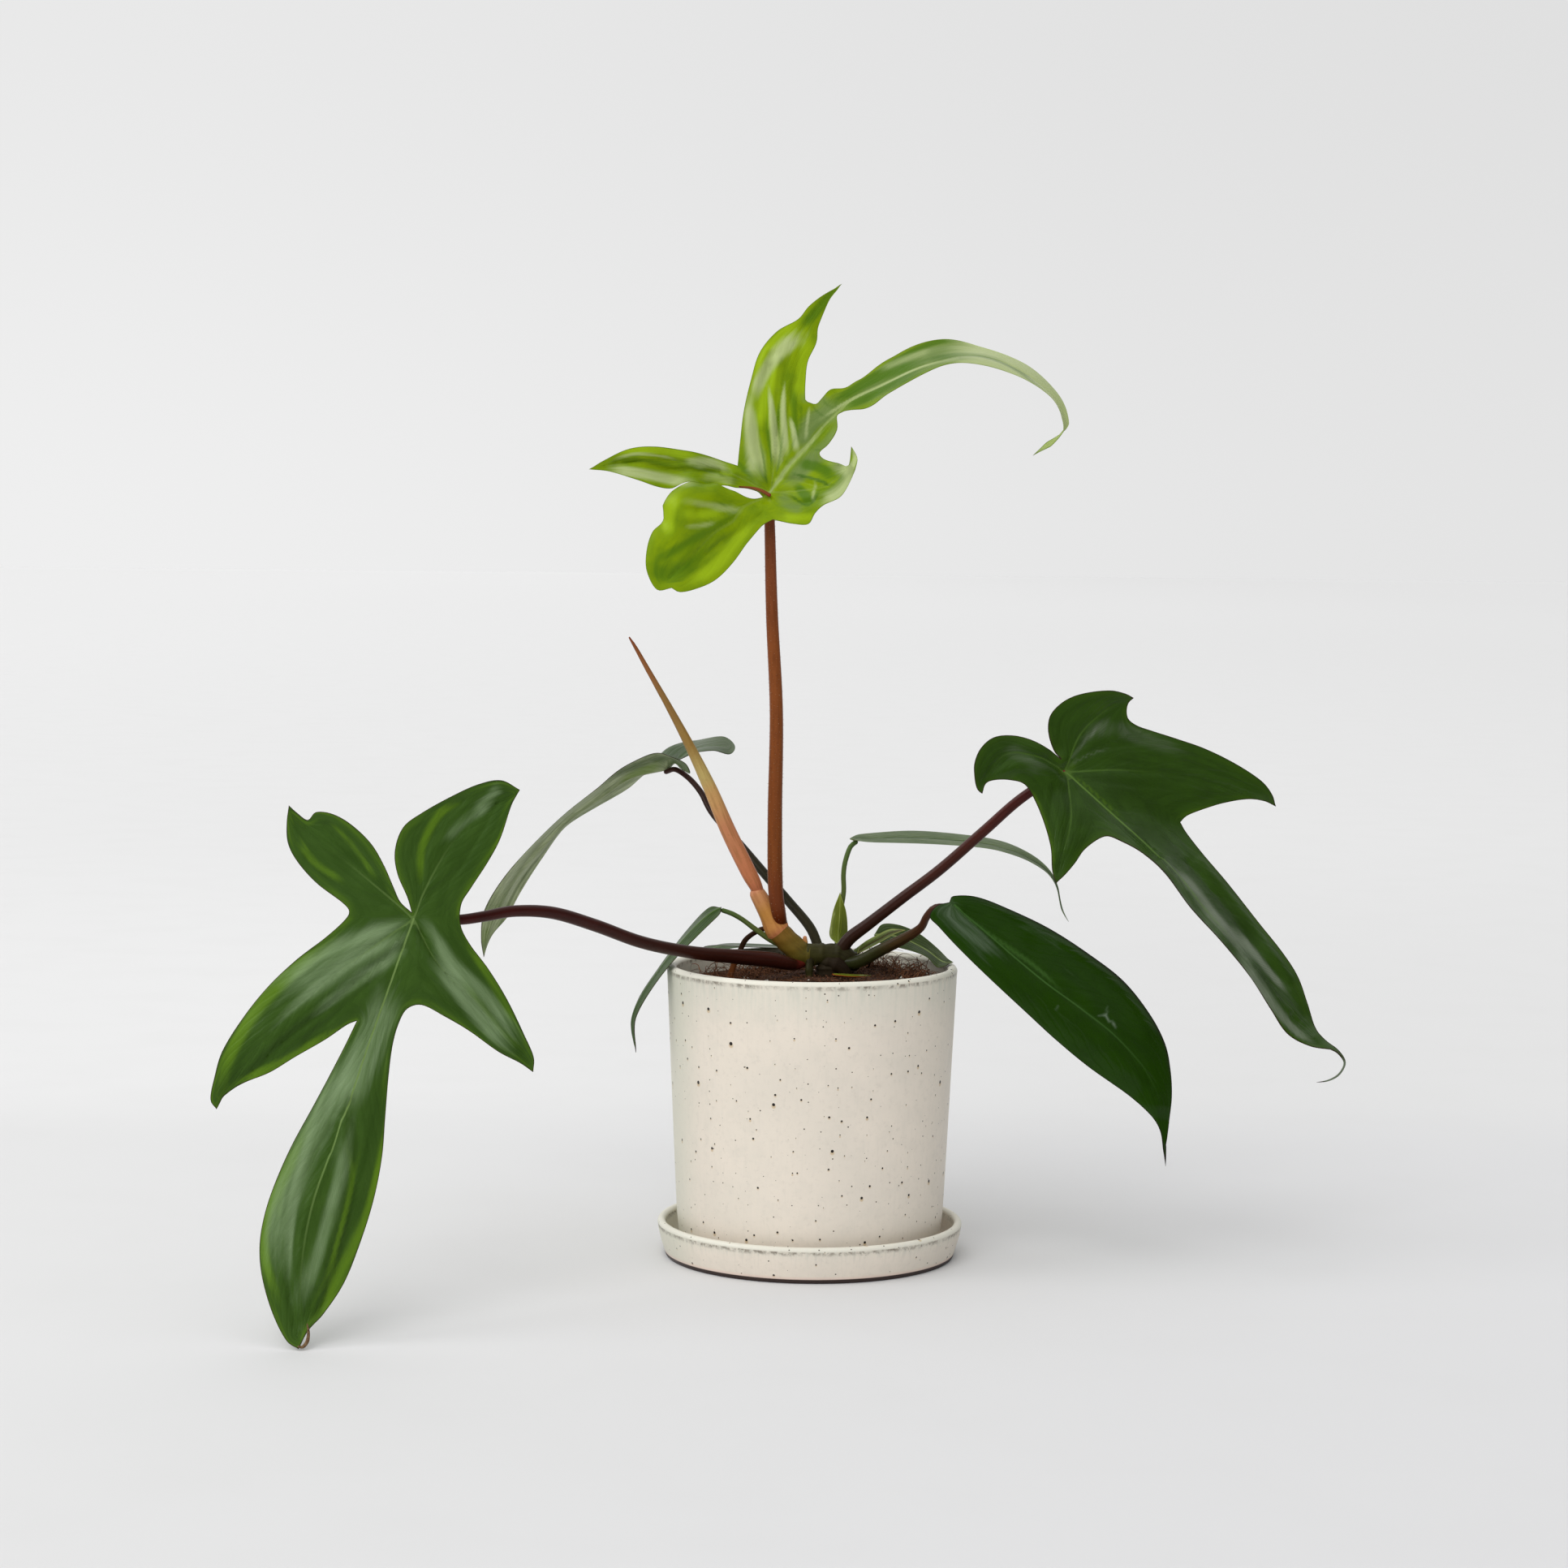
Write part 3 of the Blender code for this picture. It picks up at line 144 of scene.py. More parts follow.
LEFT_JUNCTION = (-192, 161, -165)
LEFT_EDGE = [
    [(-193, 164, -164), (-195, 171), (-200, 183, -161), (-201, 194), (-197, 205, -157),
     (-188, 212), (-174, 220, -151), (-161, 226), (-150, 228, -147)],
    [(-141, 223.5, -144), (-145, 216), (-150.3, 200, -153), (-156, 189), (-164.5, 175.7, -160),
     (-169, 168), (-169.3, 158, -162), (-165, 149), (-156, 137, -163), (-147, 122.5),
     (-138.5, 105.2, -163), (-133.7, 94)],
    [(-134, 86.8, -162), (-140.4, 91.2), (-151, 96.7, -168), (-165, 106.6), (-177, 113.6, -172),
     (-188, 119), (-195, 117), (-199, 110, -174), (-202, 99), (-204, 83, -179),
     (-205.5, 64), (-207, 45, -184), (-211, 24), (-217.4, 3, -191), (-225.3, -17),
     (-235, -32, -199), (-243, -41)],
    [(-247.5, -49.8, -208), (-253.5, -45.6), (-260.6, -31, -200), (-265.4, -13),
     (-266.2, 2, -188), (-263.6, 17), (-258.5, 32.3, -183), (-250.7, 50), (-240.4, 69.2, -178),
     (-232.3, 84.6), (-225, 99, -175)],
    [(-219.3, 111, -174), (-224, 109), (-234.4, 101.8, -176), (-249.3, 93), (-261.3, 85.5, -181),
     (-275, 79.6), (-283, 73.5, -186)],
    [(-287, 67.3, -188), (-290, 72), (-288, 83, -185), (-284, 96), (-273.4, 113, -176),
     (-261.5, 127.8), (-248, 140.7, -170), (-234, 151.6), (-225, 160, -167), (-223, 164),
     (-226, 168, -165), (-238.6, 177.5), (-248, 188, -158), (-252.5, 197), (-253, 207, -152)],
    [(-252, 215, -150), (-248, 211.4), (-243, 208, -151), (-239, 211.8), (-231, 211, -154),
     (-222, 206), (-212.4, 196.8, -159), (-206, 186), (-201.4, 175.3, -163), (-198.4, 169)],
]
LEFT_RIBS = [
    [LEFT_JUNCTION, (-197, 147, -168), (-205, 124, -173), (-214, 99, -178), (-221, 78, -182),
     (-231, 49, -187), (-241, 20, -191), (-246, -9, -197), (-247, -43, -205)],
    [LEFT_JUNCTION, (-186, 176, -162), (-174, 197, -156), (-158, 213, -150), (-144, 221, -145)],
    [LEFT_JUNCTION, (-205, 172, -163), (-222, 186, -158), (-238, 199, -154), (-250, 210, -151)],
    [LEFT_JUNCTION, (-214, 145, -171), (-238, 127, -176), (-262, 104, -182), (-284, 74, -187)],
    [LEFT_JUNCTION, (-182, 142, -170), (-166, 124, -170), (-150, 106, -167), (-136, 91, -163)],
]

RIGHT_JUNCTION = (121, 235, -34)
RIGHT_EDGE = [
    [(118.5, 241, -33), (115, 245), (112, 254, -30), (113, 262), (119.3, 268.6, -24), (128, 272.3),
     (141, 274, -18), (149, 272.5)],
    [(153, 270.5, -14), (150, 267), (150, 261, -16), (154, 257.5), (161, 255, -12),
     (173, 251.3), (187.2, 246.5, -6), (202.2, 239.3), (214.7, 231.2, 1), (220.2, 224.5)],
    [(222, 219, 3), (217, 221.5), (209, 222.5, -4), (197, 220.5), (186, 217, -14), (179, 214)],
    [(176, 211, -20), (179, 206), (187.5, 195.4, -26), (199.2, 182), (214.4, 163.2, -34),
     (226.5, 148.4), (234, 137, -42), (239, 124), (243, 113, -52), (248, 106.5), (254.5, 101.3),
     (257.9, 95.5, -60), (255.3, 89.6), (250, 86.4)],
    [(244, 85.6, -58), (250, 87.1), (254.7, 90.2), (257.0, 95.3, -61), (254, 99.8)],
    [(250.5, 101.8, -61), (239.8, 103.5), (229.4, 109.4, -66), (221.2, 121.5), (211, 137.2, -68),
     (197, 154), (182, 170, -64), (169, 187), (157.7, 196.6, -58), (146.7, 202.2),
     (141, 204, -54), (136, 202), (130, 197, -56), (126, 191), (121.5, 185.5, -62)],
    [(117, 181, -66), (115, 187), (114, 198, -58), (111, 209), (106, 221, -50), (101, 228.5),
     (94, 230.5, -49), (87, 230.5), (83, 229, -53)],
    [(81, 224, -58), (78.5, 226), (77, 233, -57), (77, 239), (80, 246, -50), (86, 251),
     (95, 252, -41), (104, 250), (112, 246, -36)],
]
RIGHT_RIBS = [
    [RIGHT_JUNCTION, (145, 214, -41), (160, 201, -46), (174, 187, -50), (188, 170, -53),
     (204, 152, -55), (220, 133.5, -57), (232, 118, -59), (242, 109, -60)],
    [RIGHT_JUNCTION, (127, 252, -26), (139, 264, -20), (151, 270, -15)],
    [RIGHT_JUNCTION, (150, 236, -25), (185, 232, -12), (219, 220.5, 1)],
    [RIGHT_JUNCTION, (124, 215, -50), (121, 197, -60), (117.5, 184, -65)],
    [RIGHT_JUNCTION, (108, 242, -41), (92, 243, -47), (81, 228, -56)],
]

LOWER_JUNCTION = (68, 170.5, -41)
LOWER_EDGE = [
    [(65.5, 171.5, -39), (67.5, 174.5), (79, 174, -36), (95, 168), (114, 159, -39),
     (133, 147), (150, 134, -47), (163, 118), (170.6, 103.8, -58), (173.5, 91), (174.5, 78, -68),
     (173.5, 65), (172.5, 53, -77)],
    [(172, 44, -79), (171, 52), (169.5, 61, -77), (165, 68), (154, 78, -72), (134, 92),
     (118, 105, -64), (103.3, 118.3), (84.6, 135.4, -55), (69.8, 149.7), (60.7, 159.4, -47),
     (56.3, 164.3), (59.5, 169.5, -43)],
]
LOWER_RIBS = [
    [LOWER_JUNCTION, (82, 159, -47), (98, 145, -54), (114, 132, -60), (131, 120, -64),
     (147, 107.5, -68), (162, 91, -72), (169.5, 74, -75), (172, 54, -78)],
]

BACK_JUNCTION = (-70, 236, 80)
BACK_STATIONS = [          # rib, near edge and far edge, from the junction to the tip
    ((-89, 230.5, 84), (-90, 235.8, 64), (-88, 225.6, 104)),
    ((-104, 220, 88), (-103, 225.4, 70), (-104.5, 215.5, 107)),
    ((-118.5, 209.5, 92), (-118, 213.4, 76), (-119, 206, 108)),
    ((-130.5, 196.5, 97), (-133, 199, 82), (-128.5, 193.4, 112)),
    ((-144, 180.5, 102), (-148, 182, 89), (-139.3, 176.5, 114)),
    ((-153, 164, 108), (-158.3, 164.3, 99), (-147.3, 161.7, 117)),
    ((-157.7, 152, 113), (-159.7, 151, 109), (-155, 152.4, 117)),
]
BACK_TIP = (-159, 143, 117)
BACK_NEAR_LOBE = [         # rows of five, its places pressed flat from the junction
    (-78, 241.4, 60, 10, 25), (-69, 240.2, 55, -6, 28), (-61.5, 237, 57, -16, 24),
    (-59.3, 232.5, 62, -19, 17), (-63.8, 234.9, 71, -12, 8)]
BACK_NOTCH = (-67, 238, 79, -4, 1)
BACK_FAR_LOBE = [
    (-58, 242, 84, -15, -4), (-48, 243.3, 89, -26, -7), (-40.7, 241.7, 95, -35, -12),
    (-38, 245.4, 100, -38, -20), (-42.9, 250, 105, -31, -26), (-55, 248.4, 107, -17, -28),
    (-71, 243.8, 108, 1, -28)]

# Leaves without lobes: the base, rows of rib, first and second edge, and the tip.
SMALL_LEFT = ((-43.5, 167, -2), [
    ((-47.5, 164.7, -4), (-49.5, 167.6, 5), (-45.4, 163.5, -12)),
    ((-57.2, 156, -7), (-59.2, 157.9, 5), (-55.2, 153.8, -17)),
    ((-65.2, 146.7, -10), (-66.6, 148.4, 0), (-63.6, 145.1, -20)),
    ((-73.7, 135.3, -14), (-75, 136.4, -5), (-72.4, 134.4, -23)),
    ((-81.5, 123.2, -17), (-82.8, 124, -11), (-80.1, 122.8, -24)),
    ((-85.7, 111.7, -20), (-86.6, 111.6, -17), (-84.7, 112, -24)),
], (-83.5, 97, -23))

BACK_RIGHT = ((17.5, 202.5, 20), [
    ((24, 202.3, 23), (24, 204, 33), (24, 200.4, 14)),
    ((44, 203, 31), (45, 205.6, 45), (42, 199.8, 18)),
    ((68, 201.7, 41), (70, 204.2, 56), (66, 199, 28)),
    ((90, 198.5, 51), (92, 200.6, 63), (88, 196.8, 40)),
    ((105, 192.8, 57), (107, 193.6, 63), (103.5, 191.8, 51)),
    ((115.2, 184.8, 61), (115.8, 185.1, 63), (114.7, 184.4, 59)),
    ((118.5, 178, 62.5), (118.9, 178.1, 63), (118.1, 177.9, 62)),
    ((120.7, 168.5, 63.5), (121.0, 168.6, 64), (120.4, 168.4, 63)),
], (124, 163, 64))

RIM_RIGHT = ((30, 156, 19), [
    ((32.5, 156, 20.5), (33.5, 160.4, 27), (31.3, 152, 15)),
    ((41, 155, 22), (41.5, 160.2, 29), (41, 149.4, 15)),
    ((50, 151.5, 21), (51.5, 156, 28), (49.5, 147.2, 13)),
    ((57, 147.5, 17), (59.3, 150, 23), (56, 144.3, 10)),
    ((61.5, 144, 11), (63.7, 145.8, 15), (60.3, 140, 6)),
], (67.3, 143.1, -2))

RIM_BACK = ((-5, 147.8, 40), [
    ((-12, 148.3, 46), (-7, 148.9, 54), (-17, 148.2, 38)),
    ((-24, 148.9, 56), (-17, 149.5, 67), (-31, 148.6, 46)),
    ((-36, 149.2, 68), (-28, 149.1, 80), (-44, 149.2, 58)),
    ((-46, 148.3, 80), (-40, 147.7, 87), (-52, 148.5, 72)),
], (-55, 144, 92))

SOIL_LEAF = ((31, 134.1, 0), [
    ((26, 134.6, -3.5), (27, 134.8, 0.5), (25, 134.5, -7)),
    ((19, 134.7, -6.5), (20, 134.9, -2.5), (18, 134.5, -10.5)),
    ((13, 135, -8), (14, 135.5, -5), (12.3, 134.9, -11)),
], (9.5, 134.9, -11))

# The bract round the foot of the back right leaf's stalk.
SHEATH_BACK = ((12.3, 150.1, 3.8), [
    ((12.2, 155, 7), (8.2, 154.3, 12), (16.5, 154.3, 11.5)),
    ((12.6, 161, 8.2), (8.6, 160.6, 13.5), (16.9, 160.7, 12.5)),
    ((12.8, 168, 10), (9.9, 167.5, 14), (15.8, 168.3, 13)),
], (12.9, 176, 12.8))

# The wing along the lower right leaf's stalk.
SHEATH_LOWER = ((20.8, 146.6, -2.6), [
    ((24.6, 149.5, -5), (23.6, 150.9, -2), (26, 148.4, -8.8)),
    ((31.5, 153.5, -9.5), (30.8, 155.3, -6), (32.5, 152, -12.8)),
    ((37.8, 156.9, -14), (37.4, 158.4, -11.5), (38.5, 155.6, -16.8)),
], (44, 158.4, -19))

# The stalks: a point and the radius there, from the stem out to the blade. The blade's own
# junction ends each stalk.
TOP_STALK = [((-15, 160, 0.5), 3.0), ((-16.2, 164.5, -4), 3.4), ((-18, 178, -5), 3.6),
             ((-18.6, 212, -2), 3.5), ((-18.4, 262, 0), 3.2), ((-20.9, 308, 2), 2.9),
             ((-22.2, 345, 2), 2.6), ((-22.6, 360, 0.5), 2.4)]
LEFT_STALK = [((-7.5, 140.4, -4), 2.6), ((-12, 141, -8.5), 3.3), ((-20, 142.6, -14), 3.7),
              ((-37, 144, -24), 3.5), ((-59, 146, -43), 3.0), ((-82, 150.5, -68), 2.9),
              ((-105, 158.6, -92), 2.9), ((-125, 164.3, -112), 2.8), ((-143, 165, -128), 2.6),
              ((-157, 162.5, -140), 2.4), ((-169, 160.6, -149), 2.3), ((-182, 160.5, -156), 2.2)]
RIGHT_STALK = [((14, 148, -1), 3.3), ((17.8, 153.3, -1.5), 3.2), ((26.6, 160.2, -3), 2.9),
               ((42.3, 172.6, -6), 2.7), ((61, 187.1, -11), 2.6), ((82, 206, -18), 2.5),
               ((97.1, 219.8, -24), 2.4), ((110, 229, -28), 2.3)]
LOWER_STALK = [((15.5, 141.5, -2), 3.0), ((23, 142.5, -6), 3.1), ((32.7, 147.7, -12), 2.9),
               ((44, 153.5, -20), 2.5), ((52, 158.8, -28), 2.0), ((55, 164.4, -33), 1.8),
               ((59.3, 168.7, -36), 1.7)]
BACK_STALK = [((3, 149, 4), 2.4), ((-1.3, 158.6, 11), 2.4), ((-11.3, 170.6, 21), 2.3),
              ((-24, 185, 31), 2.3), ((-36, 199, 43), 2.1), ((-48.7, 213.4, 56), 1.7),
              ((-54.2, 223.1, 64), 1.5), ((-60, 229.8, 70), 1.4), ((-66.5, 234, 75), 1.3)]
SMALL_LEFT_STALK = [((-13, 149, 0), 1.6), ((-20, 152.3, -1), 1.5), ((-27.6, 157.4, -1), 1.3),
                    ((-33.5, 161.8, -1), 1.2), ((-38.6, 164.7, -1.5), 1.2)]
BACK_RIGHT_STALK = [((11, 145.5, 3), 1.5), ((11.8, 148.5, 7.5), 1.5), ((12.4, 153, 11), 1.5),
                    ((13.4, 166, 14.5), 1.3), ((14.8, 176, 16), 1.2), ((14.6, 184, 17), 1.2),
                    ((15.4, 190.5, 18), 1.2), ((17.8, 197.6, 20), 1.2)]
RIM_RIGHT_STALK = [((14, 143, 4), 1.7), ((20, 146, 11), 1.6), ((26, 150.5, 17), 1.5)]
RIM_BACK_STALK = [((0, 144, 2), 1.6), ((-1, 144.5, 18), 1.5), ((-3, 146, 32), 1.4)]
AERIAL_ROOT = [((-16, 156.5, 4), 1.3), ((-23, 157.7, 5), 1.3), ((-28.4, 155.3, 5.5), 1.2),
               ((-32.3, 152, 6), 1.3), ((-34.5, 147.5, 6), 1.3), ((-37.4, 141, 6), 1.5),
               ((-39.6, 132.5, 6), 1.4), ((-40, 118, 6), 0.9)]

# The stem: a creeping piece above the soil, its foot in the soil and its rising tip.
STEM_CREEP = [((19.5, 142, 0), 4.6), ((14, 145, 0), 5.6), ((6, 145.6, 0), 5.2),
              ((-1.5, 145.4, 0), 5.4)]
STEM_RISE = [((0, 144.6, 0), 5.0), ((-5, 145.8, 0), 5.7), ((-10.5, 150.4, 0), 5.6),
             ((-15.4, 155.2, 0), 5.5), ((-16.8, 156.8, 0), 5.3)]
STEM_FOOT = [((8, 144, 0), 4.6), ((8.5, 137, 0), 6.8), ((8.5, 128, 0), 6.6), ((8, 112, 0), 4.0)]
STEM_SCAR = [((-3.5, 148, 0.5), 1.8), ((-3.6, 153.4, 0.5), 1.0)]
TIP_SEGMENT = [((-15.2, 155, 0), 4.6), ((-16.8, 156.7, 0), 6.2), ((-18.2, 159, 0), 5.6),
               ((-20.2, 163.6, 0), 5.1), ((-22.8, 168, 0), 4.5), ((-26.4, 174.2, 0), 3.9)]
NEW_LEAF = [((-25, 171.5, 0), 2.4), ((-27.6, 178.2, -0.5), 3.3), ((-30.8, 184.2, -1), 3.9),
            ((-41.2, 205, -4), 3.9), ((-49.9, 225, -7), 3.4), ((-59.5, 244.7, -10), 2.5),
            ((-69.2, 262.7, -13), 1.8), ((-79.5, 280.8, -16), 1.25), ((-86.2, 292.6, -18), 0.85),
            ((-89, 297, -19), 0.4)]

# Folds in the blades: how far a fold rises (or sinks, below nought), its half width and its line
# on the pressed leaf.
TOP_FOLDS = [
    (-1.4, 1.5, [(-23, 369), (-28, 386), (-29, 400), (-27, 416), (-23, 432)]),
    (-1.3, 1.4, [(-22, 371), (-23, 387), (-25, 400), (-25, 414), (-23, 427)]),
    (-1.3, 1.4, [(-20, 375), (-19, 390), (-20, 402), (-19, 414)]),
    (-0.9, 1.4, [(-16, 381), (-14, 393), (-14, 405), (-12, 418)]),
    (1.2, 2.0, [(-26, 374), (-32, 388), (-33, 402), (-30, 420), (-24, 434)]),
    (1.2, 1.7, [(-21, 376), (-22, 396), (-22, 412), (-19, 430)]),
    (-0.9, 1.3, [(-24, 363), (-36, 363), (-46, 364), (-55, 363)]),
    (-0.9, 1.3, [(-28, 360), (-39, 357), (-49, 354), (-55, 352)]),
    (-0.8, 1.3, [(-26, 356), (-40, 347), (-52, 338)]),
    (1.2, 4.0, [(-40, 353), (-52, 345), (-64, 334)]),
    (-1.0, 1.4, [(-17, 373), (-9, 373), (-3, 371), (5, 371)]),
    (-0.8, 1.4, [(-18, 366), (-8, 362), (2, 364)]),
    (-1.3, 1.4, [(-96, 380), (-85, 380), (-75, 378), (-62, 377), (-48, 377)]),
]
LEFT_FOLDS = [
    (-1.9, 1.8, [(-198, 147), (-215, 134), (-231, 119), (-248, 106), (-264, 91), (-276, 79)]),
    (-1.1, 1.6, [(-202, 141), (-217, 126), (-228, 116), (-244, 101)]),
    (-0.9, 1.5, [(-194, 163), (-209, 157), (-223, 150), (-238, 143)]),
    (-1.5, 1.7, [(-189, 155), (-178, 138), (-165, 125), (-152, 112), (-138, 97)]),
    (-1.1, 1.5, [(-194, 146), (-183, 130), (-170, 117), (-158, 107)]),
    (-1.1, 1.6, [(-189, 178), (-186, 195), (-178, 210), (-168, 219)]),
    (-0.9, 1.5, [(-184, 172), (-171, 184), (-160, 202), (-152, 217)]),
    (-1.1, 1.6, [(-202, 176), (-220, 192), (-234, 206)]),
    (-0.9, 1.5, [(-204, 168), (-226, 176), (-243, 190)]),
    (-1.5, 1.8, [(-222, 72), (-219, 48), (-222, 18), (-229, -10), (-238, -34)]),
    (1.5, 2.4, [(-226, 62), (-226, 40), (-231, 10), (-238, -18)]),
    (-1.3, 1.8, [(-232, 60), (-244, 36), (-251, 8), (-252, -18), (-249, -38)]),
    (1.1, 2.2, [(-232, 44), (-242, 20), (-247, -8), (-247, -32)]),
]
RIGHT_FOLDS = [
    (-0.7, 1.2, [(121, 237), (127, 246), (134, 254), (141, 262)]),
    (-0.6, 1.2, [(122, 237), (131, 243), (144, 247), (156, 249)]),
    (-0.4, 1.1, [(123, 236), (144, 240), (170, 240), (196, 234)]),
    (-0.4, 1.1, [(127, 232), (150, 229), (180, 227), (206, 224)]),
    (-0.7, 1.5, [(120, 236), (109, 241), (97, 242), (86, 236)]),
    (-0.7, 1.6, [(120, 236), (114, 220), (114, 205), (116, 189)]),
    (-0.7, 1.4, [(126, 226), (122, 212), (120, 198), (118, 187)]),
    (1.7, 3.5, [(118, 230), (110, 236), (100, 238), (90, 234)]),
    (-1.1, 1.6, [(162, 190), (178, 176), (194, 158), (208, 140), (222, 122), (236, 108)]),
    (1.3, 2.0, [(168, 192), (186, 174), (202, 154), (216, 137), (230, 120)]),
    (-1.1, 1.5, [(180, 192), (198, 172), (214, 151), (228, 134), (238, 118)]),
    (1.0, 1.7, [(186, 192), (203, 172), (218, 152), (230, 136)]),
]
LOWER_FOLDS = [
    (-0.8, 2.2, [(74, 167), (92, 152), (112, 138), (132, 121), (150, 106), (164, 84)]),
    (1.0, 4.0, [(78, 171), (100, 161), (124, 147), (146, 130), (162, 110)]),
]

